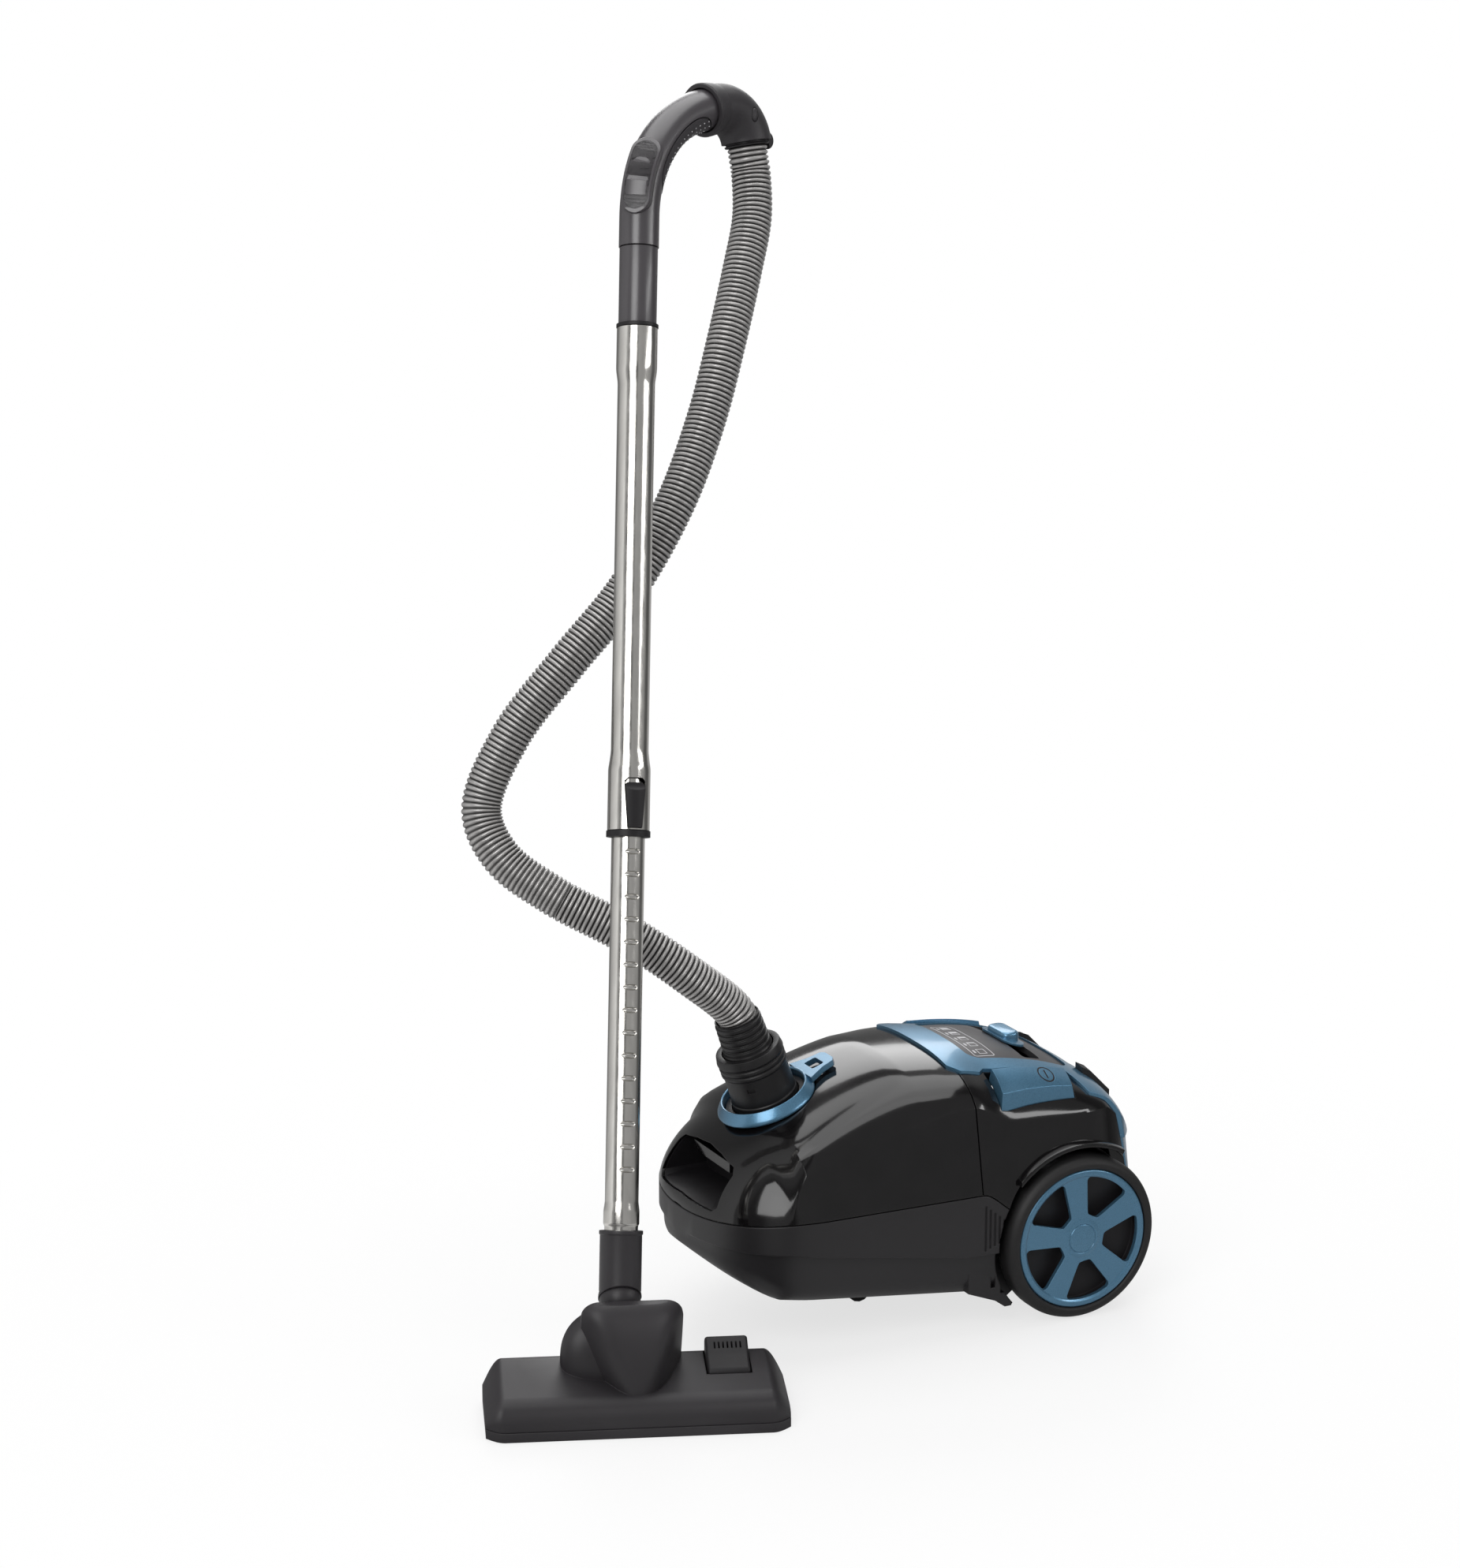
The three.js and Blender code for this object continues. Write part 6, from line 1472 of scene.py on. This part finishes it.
def insert_dots():
    """Rows of raised dots on the grip insert, coloured light grey as a painted highlight."""
    dots = []
    for row, turn in enumerate(DOTS.turns):
        for i in range(DOTS.count):
            a = radians(DOTS.start + DOTS.pitch * i + DOTS.pitch / 2 * (row % 2))
            over, t = grip_radius(degrees(a)) + INSERT.over, radians(turn)
            out, side = twisted([(-over * cos(t), over * sin(t))])[0]
            dots.append(shifted(ball(DOTS.radius, 8), *on_bend(BEND_RADIUS + out, a, side)))
    return gathered(dots)


def valve_track():
    """Dark floor of the recess that the suction slider runs in."""
    return valve_slab(VALVE.low + 1.8, VALVE.high - 1.8, VALVE.half + RUN,
                      GRIP_RADIUS - 2.6, GRIP_RADIUS - 2.3)


def valve_slider():
    start, end, half = VALVE.start, VALVE.end, VALVE.half
    step = (start + end) / 2

    def section(a):
        if a <= step:
            rise = 2.6 + 3 * ((a - start) / (step - start)) ** 2
        else:
            rise = 4.4 - 2 * sin(pi * min((a - step) / (end - step), 1))
        return slab(racetrack(a, start - 0.4, end + 0.4, half), GRIP_RADIUS - 2.4 + GAP,
                    GRIP_RADIUS + rise)
    return along_grip(start, end, 48, section, round_ends)


def on_bend(reach, angle, side=0):
    """Point of the grip's bend, at a reach from the middle of the bend."""
    return BEND_RADIUS - reach * cos(angle), side, HANDLE_STRAIGHT + reach * sin(angle)


def elbow_shift():
    a = radians(BEND_ANGLE)
    inward = BEND_RADIUS - ELBOW_BEND
    return (inward - inward * cos(a) + ELBOW_REACH * sin(a), 0,
            HANDLE_STRAIGHT + inward * sin(a) + ELBOW_REACH * cos(a))


def on_elbow(obj):
    return shifted(obj, *elbow_shift())


def along_elbow(start, end, steps, section):
    return on_elbow(bent_body(ELBOW_BEND, start, end, steps, section))


def elbow_end(distance=0):
    """Point at a distance past the lower end of the elbow."""
    a = radians(ELBOW_END)
    x, _, z = elbow_shift()
    return Vector((x + ELBOW_BEND - ELBOW_BEND * cos(a) + distance * sin(a), 0,
                   z + ELBOW_BEND * sin(a) + distance * cos(a)))


def swivel_body(obj):
    return shifted(turned(obj, ELBOW_END, "Y"), *elbow_end())


def elbow_lead(radius, sides=64):
    """Straight rod that carries on from the grip's end into the elbow's bend."""
    lead = turned(rod(radius, -2, ELBOW_REACH + 1, sides), BEND_ANGLE, "Y")
    return shifted(lead, *on_bend(BEND_RADIUS, radians(BEND_ANGLE)))


def hose_elbow():
    body = along_elbow(BEND_ANGLE - 2, ELBOW_END, 36, lambda a: circle(ELBOW_RADIUS, 64))

    def collar_section(a):
        t = clamp01((a - BEND_ANGLE + 6) / 7)
        return circle(ELBOW_RADIUS + 1.6 - 1.4 * t ** 2 - (0.8 if t < 0.05 else 0), 64)
    collar = along_grip(BEND_ANGLE - 6, BEND_ANGLE + 1, 20, collar_section)
    ear = revolve(soft([(0, -12), (7, -12), (9, -10), (9, 10), (7, 12), (0, 12)], 1), 64)
    ear = on_elbow(shifted(along_y(ear), 2 * ELBOW_BEND + ELBOW_RADIUS - 6, 0, 13))
    rim, cap = [on_elbow(shifted(scaled_ball(48, a, 2.2, b), 52, -ELBOW_RADIUS + 1.2, 29))
                for a, b in ((5, 7.4), (4.2, 6.6))]
    socket = along_grip(BEND_ANGLE - 8, BEND_ANGLE + 0.3, 6,
                        lambda a: circle(grip_radius(BEND_ANGLE) + 3 * GAP, 64))
    airway = along_elbow(BEND_ANGLE, ELBOW_END, 12, lambda a: circle(13, 24))
    outlet = swivel_body(join(rod(HOSE_RADIUS + 1.6, -22, 4), rod(HOSE_RADIUS + 3.4, 1, 60)))
    whole = join(cut(join(body, elbow_lead(ELBOW_RADIUS), collar, ear), rim), cap)
    return cut(whole, socket, airway, elbow_lead(12.8, 24), outlet)


def hose_swivel():
    r = HOSE_RADIUS
    profile = [(15, -21), (r + 1, -21), (r + 1, 2), (r + 2.6, 2.4),
               (r + 2, SWIVEL_LIP), (15, SWIVEL_LIP), (15, -21)]
    return swivel_body(revolve(soft(profile, 0.5), 80))


# ---------- floor head ----------


def head_section(x, inset):
    around = sin(clamp01((HEAD_HALF - abs(x)) / HEAD_CORNER) * pi / 2)
    front, back = ROUND_FRONT * (1 - around) + inset, ROUND_BACK * (1 - around) + inset
    low = SOLE_HEIGHT + GAP
    share = LOW_END + (1 - LOW_END) * around
    lift = share * (HEAD_HEIGHT - inset - low) / (HEAD_HEIGHT - low)
    profile = [(0, low), (0.5, 20), (5, 29), (14, 35), (50, 42), (86, 47), (97, 42), (102, 30),
               (HEAD_DEPTH, low)]
    out = []
    for y, z in soft(profile, 8, 5):
        depth = front + y * (HEAD_DEPTH - front - back) / HEAD_DEPTH
        lowest = z <= low + 1e-6
        out.append((depth, low - (8 if inset > 0 else 0) if lowest else low + (z - low) * lift))
    return out


def head_ends(half, count):
    """Places from the end of the head inwards, closest together at the end."""
    return [half * (1 - 0.0005 - HEAD_END * (1 - cos(pi / 2 * i / count)))
            for i in range(count + 1)]


def head_form(inset):
    half = HEAD_HALF - inset
    places = head_ends(half, 24)
    xs = [-x for x in places] + [-half * 0.5, 0, half * 0.5] + places[::-1]
    return loft([[(x, y, z) for y, z in head_section(x, inset)] for x in xs])


def cowl_section(z):
    """Level outline of the cowl: a nose that is pointed at its foot and broad at its top."""
    steps = 28
    crest, front, rear = COWL.ridge, COWL.front, COWL.rear
    t = clamp01((z - COWL.low) / (COWL.crown - COWL.low))
    tip = crest - (crest - front) * sqrt(1 - t * t)
    climb = clamp01((z - COWL.low - 11) / (COWL.top - COWL.low - 11))
    back = rear - (rear - crest - 1) * climb
    reach = min((rear - front) * (1 - t) ** 0.8 + 4 * t, back - tip - 1)
    corner = COWL.corner
    over = clamp01((z - COWL.top + corner) / corner)
    wide = COWL.half - corner * (1 - sqrt(1 - over * over))
    nose = []
    for i in range(2 * steps + 1):
        s = i / steps - 1
        bend = (1.35 + 3.2 * t) if s < 0 else (2.3 + 2.6 * t)
        share = (sqrt(s * s + COWL.ease) - COWL.eased) / COWL.span
        nose.append((wide * s, tip + reach * share ** bend))
    return [(-wide, back), *nose, (wide, back)]


def cowl():
    low, top = COWL.low - 2, COWL.top
    levels = [low + (top - low) * sin(pi / 2 * i / 30) for i in range(31)]
    x0 = DRUM_X + COWL.x
    return loft([[(x0 + x, y, z) for x, y in cowl_section(z)] for z in levels])


def on_drum(obj):
    return shifted(along_x(obj), DRUM_X, DRUM.y, DRUM.z)


def barrel():
    """Rounded swelling of the hood over the drum of the neck, before it is laid on the drum."""
    steps = 40
    profile = []
    for i in range(steps + 1):
        t = -cos(pi * i / steps)
        r = BARREL.radius * max(1 - abs(t) ** BARREL.power, 0) ** (1 / BARREL.power)
        profile.append((r, t * (BARREL.left if t < 0 else BARREL.right)))
    profile[0], profile[-1] = (0, -BARREL.left), (0, BARREL.right)
    return moved(revolve(profile, 96), Matrix.Diagonal((BARREL.tall, BARREL.deep, 1, 1)))


def head_housing():
    above = box(-FAR, FAR, -50, FAR, SOLE_HEIGHT + GAP, FAR)
    whole = common(join(head_form(0), cowl(), on_drum(barrel())), above)
    hollow = cut(head_form(SHELL), box(DRUM_X - 48, DRUM_X + 44, 48, FAR, 0, FAR))
    cavity = on_drum(rod(DRUM.radius + 1, -DRUM.half - RUN, DRUM.half + RUN, 96))
    half = BALL_RADIUS + 1.8
    slot = box(DRUM_X - half, DRUM_X + half, DRUM.y - BALL_RADIUS - 1, 140, DRUM.z - 2, 140)
    x, w = ROCKER.x, ROCKER.width / 2 + 2 * RUN
    rocker = box(x - w, x + w, ROCKER.y0 - 2 * RUN, ROCKER.y1 + 2 * RUN, 24, 80)
    throat = box(DRUM_X - 20, DRUM_X + 20, 20, DRUM.y, SOLE_HEIGHT - 2, 30)
    ears = []
    for side in (-1, 1):
        at = x + side * w
        pin = along_x(rod(ROCKER.pin, -ROCKER.pin, ROCKER.pin, 24))
        ears.append(box(min(at, at + 2.5 * side), max(at, at + 2.5 * side), 58, 74, 28, 43))
        ears.append(shifted(pin, at, ROCKER.pin_y, ROCKER.pin_z))
    return join(cut(whole, hollow, cavity, slot, rocker, throat), *ears)


def brush_rocker():
    y0, y1, half = ROCKER.y0, ROCKER.y1, ROCKER.width / 2
    outline = soft([(y0, 30), (y0, 44), (62, 50), (y1 - 5, 63), (y1, 58), (y1, 44), (72, 30)], 5, 6)
    body = rounded(prism_x(outline, ROCKER.x - half, ROCKER.x + half), 3, 5)
    ribs = [box(ROCKER.x - 12 + 4 * i, ROCKER.x - 10.6 + 4 * i, 70, 76, 50, 70)
            for i in range(7)]
    bore = shifted(along_x(rod(3, -60, 60, 32)), ROCKER.x, ROCKER.pin_y, ROCKER.pin_z)
    return cut(cut(body, *ribs), bore)


def sole():
    """Sole with the hood's own outline, its mouth, brush slots and roller pockets."""
    half = HEAD_HALF
    ends = head_ends(half, 16)
    places = [-x for x in ends] + ends[::-1]
    front = [(x, head_section(x, 0)[0][0] - 0.8) for x in places]
    rear = [(x, head_section(x, 0)[-1][0]) for x in reversed(places)]
    plate = rounded(prism(front + rear, 0, SOLE_HEIGHT), 1.6, 4, 60)
    m, slots = MOUTH, []
    mouth = box(-m.half, m.half, m.y0, m.y1, -1, 20)
    inner = prism(rounded_rect(-half + 14, half - 14, 5, HEAD_DEPTH - 5, 7), 3, 20)
    relief = cut(inner, box(-half, half, m.y0 - 3, m.y1 + 3, 0, 21))
    for y in (BRUSH.front, BRUSH.rear):
        reach = BRUSH.thick / 2 + RUN
        slots.append(box(-BRUSH.half - RUN, BRUSH.half + RUN, y - reach, y + reach, -1, 20))
    for at in (-ROLLER.x, ROLLER.x):
        y, wide, r = ROLLER.y, ROLLER.width / 2, ROLLER.radius
        slots.append(box(at - wide - RUN, at + wide + RUN, y - r - RUN, y + r + RUN, -1, 20))
        slots.append(box(at - wide - 4, at + wide + 4, y - 2.4, y + 2.4, r - 2.4, 20))
    return cut(plate, mouth, relief, *slots)


def neck_elbow():
    normal = HEAD.to_3x3().transposed() @ swivel_axis()
    foot = Vector((DRUM_X, DRUM.y, DRUM.z))
    up = SWIVEL_AT - foot
    along = Matrix.Translation(foot) @ turn_to(up)
    tilt = Matrix.Translation(SWIVEL_AT) @ turn_to(normal)
    drum = on_drum(rod(DRUM.radius, -DRUM.half, DRUM.half, 96))
    stub = moved(rod(BALL_RADIUS - 1.2, 0, up.length, 64), along)
    end = shifted(ball(BALL_RADIUS), *SWIVEL_AT)
    below = half_space(-normal, -GAP / 2, SWIVEL_AT)
    spigot = moved(pipe(8, 11, -12, 4, 48), tilt)
    airway = join(moved(rod(10, 6, up.length - 4, 32), along), moved(rod(8, -14, 10, 32), tilt),
                  on_drum(rod(12, -14, 14, 32)),
                  box(DRUM_X - 12, DRUM_X + 12, DRUM.y - 40, DRUM.y, DRUM.z - 22, DRUM.z))
    return cut(join(cut(join(drum, stub, end), below), spigot), airway)


# ---------- hose ----------


def over_inlet(distance):
    return CANISTER @ (ON_INLET @ Vector((0, 0, distance)))


def hose_points():
    first = [HANDLE @ elbow_end(d) for d in (SWIVEL_LIP + GAP, 16, 30)]
    seat = CUFF_TOP - CUFF_SEAT + 2 * GAP
    last = [over_inlet(d) for d in (seat + 44, seat + 20, seat)]
    return first + [Vector(p) for p in HOSE_ROUTE] + last


def centripetal(points):
    """Points of the smooth curve through the given ones."""
    ends = [points[0] * 2 - points[1], *points, points[-1] * 2 - points[-2]]
    out = []
    for k in range(len(points) - 1):
        p0, p1, p2, p3 = ends[k:k + 4]
        d0, d1, d2 = ((b - a).length ** 0.5 for a, b in ((p0, p1), (p1, p2), (p2, p3)))
        t1 = ((p1 - p0) / d0 - (p2 - p0) / (d0 + d1) + (p2 - p1) / d1) * d1
        t2 = ((p2 - p1) / d1 - (p3 - p1) / (d1 + d2) + (p3 - p2) / d2) * d1
        for i in range(SPAN_STEPS):
            t = i / SPAN_STEPS
            out.append(p1 + t1 * t + (p2 * 3 - p1 * 3 - t1 * 2 - t2) * t ** 2
                       + (p1 * 2 - p2 * 2 + t1 + t2) * t ** 3)
    return [*out, points[-1]]


def resampled(points, start, end, count):
    """Points at equal steps of length between two shares of a line."""
    sums = [0.0]
    for a, b in zip(points, points[1:]):
        sums.append(sums[-1] + (b - a).length)
    total, k, out = sums[-1], 0, []
    for i in range(count + 1):
        want = total * (start + (end - start) * i / count)
        while k < len(points) - 2 and sums[k + 1] < want:
            k += 1
        t = (want - sums[k]) / (sums[k + 1] - sums[k])
        out.append(points[k].lerp(points[k + 1], t))
    return out, total * (end - start)


def ribbed_hose(points, length):
    """Ribbed tube along evenly spaced points, its ribs round and its grooves narrow."""
    sides = HOSE_SIDES
    spacing = length / (len(points) - 1)
    side = None
    rings, painted_rib_light = [], []
    for i, p in enumerate(points):
        ahead = (points[min(i + 1, len(points) - 1)] - points[max(i - 1, 0)]).normalized()
        if side is None:
            side = ahead.orthogonal().normalized()
        side = (side - ahead * side.dot(ahead)).normalized()
        other = ahead.cross(side)
        wave = abs(sin(pi * i * spacing / RIB_PITCH))
        r = HOSE_RADIUS - RIB_DEPTH * (1 - wave ** 0.75)
        # Each ring's wave is kept as the crest attribute, from which the hose's material paints shade in the grooves
        # and a highlight on the ribs.
        painted_rib_light += [wave] * sides
        rings.append([p + side * u + other * v for u, v in circle(r, sides)])
    made = loft(rings)
    crest = made.data.attributes.new("crest", "FLOAT", "POINT")
    crest.data.foreach_set("value", painted_rib_light + [0.0, 0.0])
    return made


def make_hose():
    line = centripetal(hose_points())
    total = resampled(line, 0, 1, 10)[1]
    half = GAP / total / 2
    spans = (("upper", 0, HOSE_SPLIT - half, ("wand", "canister"), (HOSE_HELD, 0)),
             ("lower", HOSE_SPLIT + half, 1, ("canister", "lid"), (0, HOSE_HELD)))
    for name, start, end, bodies, held in spans:
        count = round(total * (end - start) / RIB_PITCH * RIB_STEPS)
        points, length = resampled(line, start, end, count)
        obj = ribbed_hose(points, length)
        obj.data.transform(Matrix.Scale(1 / METRE, 4))
        obj.name = f"hose_{name}_ribbed"
        obj.data.materials.append(MATERIALS["hose_plastic"])
        shade(obj.data, radians(80))
        first, last = (round(part / length * (len(points) - 1)) for part in held)
        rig.blend(obj, *bodies, start=points[first] / METRE, end=points[-1 - last] / METRE)
        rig.slot(obj, "hose_plastic")
        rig.replaces(obj, f"hose_{name}")
        path = [p / METRE for p in points[::RIB_STEPS]]
        if points[-1] / METRE != path[-1]:
            path.append(points[-1] / METRE)
        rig.cord(obj, exit=path[0] if name == "upper" else path[-1], length=length / METRE,
                diameter=2 * HOSE_RADIUS / METRE, far_end="object", stiffness="stiff", lay="loose",
                path=path if name == "upper" else path[::-1])


# ---------- assembly ----------


def build_canister():
    skin = surface(upper_form(0))
    raised = surface(upper_form(-PANEL.top))
    bedded = surface(upper_form(-INSET.top))
    tubs = surface(lower_form(0, seam))
    pieces(CANISTER,
           ("lid", lid_shell, "lid", "piano_black", "lid_shell", skin),
           ("nose_pocket", grip_pocket, "lid", "matte_black", "grip_pocket"))
    pieces(CANISTER @ ON_INLET,
           ("socket", inlet_socket, "lid", "matte_black", "inlet_socket"),
           ("ring_lever", inlet_ring, "inlet_lever", "blue_lacquer", "inlet_ring"),
           ("cuff_body", hose_cuff, "cuff", "cuff_black", "hose_cuff"),
           ("cuff_relief", cuff_sleeve, "cuff", "cuff_black", "cuff_sleeve"))
    pieces(CANISTER,
           ("tub", chassis, "canister", "satin_black", "chassis", tubs),
           ("cover", rear_cover, "canister", "piano_black", "rear_cover", skin),
           ("cover_lips", arch_lips, "canister", "piano_black"),
           ("panel_frame", control_frame, "canister", "blue_lacquer", "control_frame", raised),
           ("panel_inset", control_inset, "canister", "panel_grey", "control_inset", bedded),
           ("panel_signs", panel_marks, "canister", "marks"),
           ("tail_panel", rear_panel, "canister", "blue_lacquer", "rear_panel", bedded),
           ("speed_slider", power_slider, "slider", "blue_lacquer", "power_slider"),
           ("grille_louvres", exhaust_grille, "grille", "matte_black", "exhaust_grille"))
    for name, make, node, fill in (("bag_filled", filled_bag, "dust_bag", 0.7),
                                   ("filter_foam", foam_pad, "motor_filter", 0.9),
                                   ("filter_pleats", pleated_pad, "exhaust_filter", 0.9)):
        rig.padded(piece(name, make(), CANISTER, "canister", "felt", node), fill=fill)
    # Black fill in the engraved power sign's grooves, up to 0.05 over the pedal's face: painted shade in the
    # engraving.
    piece("pedal_sign", power_sign(0.05), CANISTER, "pedal_right", "matte_black")
    for side, end in ((1, "left"), (-1, "right")):
        for name, make, body, material, node in (
                ("foot_pedal", pedal, "pedal", "blue_lacquer", "pedal"),
                ("wheel_tyre", tyre, "wheel", "soft_rubber", "tyre"),
                ("wheel_web", wheel_core, "wheel", "matte_black", "wheel_core"),
                ("wheel_face", wheel_rim, "wheel", "blue_lacquer", "wheel_rim")):
            piece(f"{name}_{end}", make(side), CANISTER, f"{body}_{end}", material, f"{node}_{end}")


def build_tube():
    pieces(TUBE,
           ("lower_tube", inner_tube, "canister", "chrome", "inner_tube"),
           ("upper_tube", outer_tube, "wand", "chrome", "outer_tube"),
           ("lock_key", lock_button, "lock", "matte_black", "lock_button"),
           ("neck_socket", neck, "canister", "soft_black", "neck"),
           ("end_ring", tube_end_ring, "wand", "matte_black", "tube_end_ring"),
           ("end_collar", tube_collar, "wand", "matte_black", "tube_collar"))
    pieces(HANDLE,
           ("hand_tube", handle_tube, "wand", "satin_grey", "handle_tube"),
           ("hand_grip", handle_grip, "wand", "satin_grey", "handle_grip"),
           ("hand_insert", grip_insert, "wand", "grip_rubber", "grip_insert"),
           # The dots are light grey as a painted highlight on the dark insert.
           ("insert_dots", insert_dots, "wand", "marks"),
           ("suction_track", valve_track, "wand", "soft_rubber"),
           ("suction_slider", valve_slider, "valve", "satin_grey", "valve_slider"),
           ("elbow", hose_elbow, "wand", "soft_black", "hose_elbow"),
           ("hose_collar", hose_swivel, "hose_end", "matte_black", "hose_swivel"))


def build_head():
    forms = [surface(made) for made in (head_form(0), cowl(), on_drum(barrel()))]
    pieces(HEAD,
           ("head_hood", head_housing, "head", "soft_black", "head_housing", *forms),
           ("head_sole", sole, "head", "soft_black", "sole_plate"),
           ("neck_joint", neck_elbow, "swivel", "soft_black", "neck_elbow"),
           ("brush_rows", bristle_strips, "brush", "bristle", "brush_strips"),
           ("rocker_key", brush_rocker, "rocker", "matte_black", "brush_rocker"))


def dress_nodes():
    dress("piano_black", "latch_lever")
    dress("matte_black", "motor_housing", "cord_reel", "caster_fork")
    dress("steel", "motor_fan", "axle_left", "axle_right", "pedal_spring_left",
          "pedal_spring_right")
    dress("soft_rubber", "lid_seal", "parking_foot_left", "parking_foot_right", "caster_wheel",
          "head_roller_left", "head_roller_right")
    dress("holder_plastic", "bag_holder")
    dress("board", "circuit_board")


# ---------- camera, floor and light ----------

CAMERA_AT = (-1.660, -3.222, 1.483)
CAMERA_TURN, CAMERA_DROP = 26.6, 14.6
SENSOR = 36
LENS = 5000 / 1988 * SENSOR
FLOOR_SIZE, FLOOR_DROP = 60, 0.0002

# Glow of the floor: least near the middle of the shadow, then rising with the distance from it.
SHADOW_AT, SHADOW_REACH, FLOOR_GLOW = (0.05, 0.0, 0.0), (0.36, 0.95), (0.72, 1.0)

# Brightness of what mirrors see, by degrees round the studio.
STUDIO = [(-180, 0.42), (180, 0.42), (-172, 0.4), (-164, 0.14), (-150, 0.12), (-140, 0.4),
          (-124, 0.46), (-118, 0.1), (-110, 0.1), (-103, 0.4), (-60, 0.36), (-25, 0.3),
          (-14, 0.1), (8, 0.12), (20, 0.44), (48, 0.5), (60, 0.2), (110, 0.2), (125, 0.44)]

# Name, place, target, width and height, power.
LIGHTS = (("key", (-2.6, -2.2, 2.6), (0, 0, 0.4), (2.2, 2.6), 74),
          ("fill", (2.6, -2.4, 2.0), (0.1, 0, 0.4), (2.4, 0.5), 24),
          ("top", (0.3, 0.6, 3.2), (0.1, 0, 0.3), (3.0, 2.6), 55),
          ("back", (1.2, 2.6, 2.0), (0, 0, 0.5), (1.6, 1.6), 25))


def make_camera():
    data = bpy.data.cameras.new("camera")
    data.lens = LENS
    data.sensor_width = SENSOR
    data.clip_end = FLOOR_SIZE
    camera = bpy.data.objects.new("camera", data)
    bpy.context.scene.collection.objects.link(camera)
    camera.location = CAMERA_AT
    camera.rotation_euler = (radians(90 - CAMERA_DROP), 0, radians(-CAMERA_TURN))
    bpy.context.scene.camera = camera


def studio_bands(graph, direction):
    """What mirrors see of the studio: pale walls with dark openings between them."""
    split = graph.node("SeparateXYZ", Vector=direction).outputs
    angle = graph.maths("ARCTAN2", split["Y"], split["X"])
    ramp = graph.node("ValToRGB", Fac=graph.ranged(angle, 0, 1, -pi, pi))
    stops = ramp.color_ramp.elements
    for element, (turn, value) in zip(
            [stops[0], stops[1]] + [stops.new(0.5) for _ in STUDIO[2:]], STUDIO):
        element.position = (turn + 180) / 360
        element.color = (value, value, value, 1)
    return ramp.outputs["Color"]


def make_floor():
    """A white floor that glows except in the shadow, and that mirrors see as the studio."""
    bpy.ops.mesh.primitive_plane_add(size=FLOOR_SIZE, location=(0, 0, -FLOOR_DROP))
    floor = bpy.context.object
    floor.name = "floor"
    graph = Shader("floor", (0.86, 0.86, 0.86), 0.6)
    path = graph.node("LightPath").outputs
    place = graph.node("NewGeometry").outputs["Position"]
    seen = graph.maths("MAXIMUM", path["Is Camera Ray"], path["Is Glossy Ray"])
    seen = graph.maths("MAXIMUM", seen, path["Is Transmission Ray"])
    distance = graph.maths("DISTANCE", place, SHADOW_AT, kind="VectorMath")
    amount = graph.maths("MULTIPLY", seen, graph.ranged(distance, *FLOOR_GLOW, *SHADOW_REACH))
    color = graph.mixed(path["Is Glossy Ray"], (1, 1, 1, 1), studio_bands(graph, place))
    mix = graph.both(amount, graph.main, graph.node("Emission", Color=color))
    graph.feed(graph.tree.nodes["Material Output"].inputs["Surface"], mix.outputs[0])
    floor.data.materials.append(graph.material)
    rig.stage(floor)


def make_world():
    world = bpy.data.worlds.new("studio")
    bpy.context.scene.world = world
    graph = Graph(world)
    path = graph.node("LightPath").outputs
    place = graph.node("TexCoord").outputs["Generated"]
    seen = graph.tree.nodes["Background"]
    seen.inputs["Color"].default_value = (0.5, 0.5, 0.5, 1)
    seen.inputs["Strength"].default_value = 0.7
    for ray, color in (("Is Glossy Ray", studio_bands(graph, place)),
                       ("Is Camera Ray", (1, 1, 1, 1))):
        seen = graph.both(path[ray], seen, graph.node("Background", Color=color))
    graph.feed(graph.tree.nodes["World Output"].inputs["Surface"], seen.outputs[0])


def make_lights():
    for name, place, target, size, power in LIGHTS:
        data = bpy.data.lights.new(name, "AREA")
        data.shape = "RECTANGLE"
        data.size, data.size_y = size
        data.energy = power
        light = bpy.data.objects.new(name, data)
        bpy.context.scene.collection.objects.link(light)
        light.location = place
        aim = Vector(target) - Vector(place)
        light.rotation_euler = aim.to_track_quat("-Z", "Y").to_euler()


bpy.context.scene.view_settings.view_transform = "Standard"
make_camera()
make_hose()
build_canister()
build_tube()
build_head()
dress_nodes()
make_floor()
make_world()
make_lights()

with open("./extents.json", "w") as out:
    json.dump({"cad": [list(v) for v in CAD_BOX], "visual": [list(v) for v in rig.bounds()]}, out)
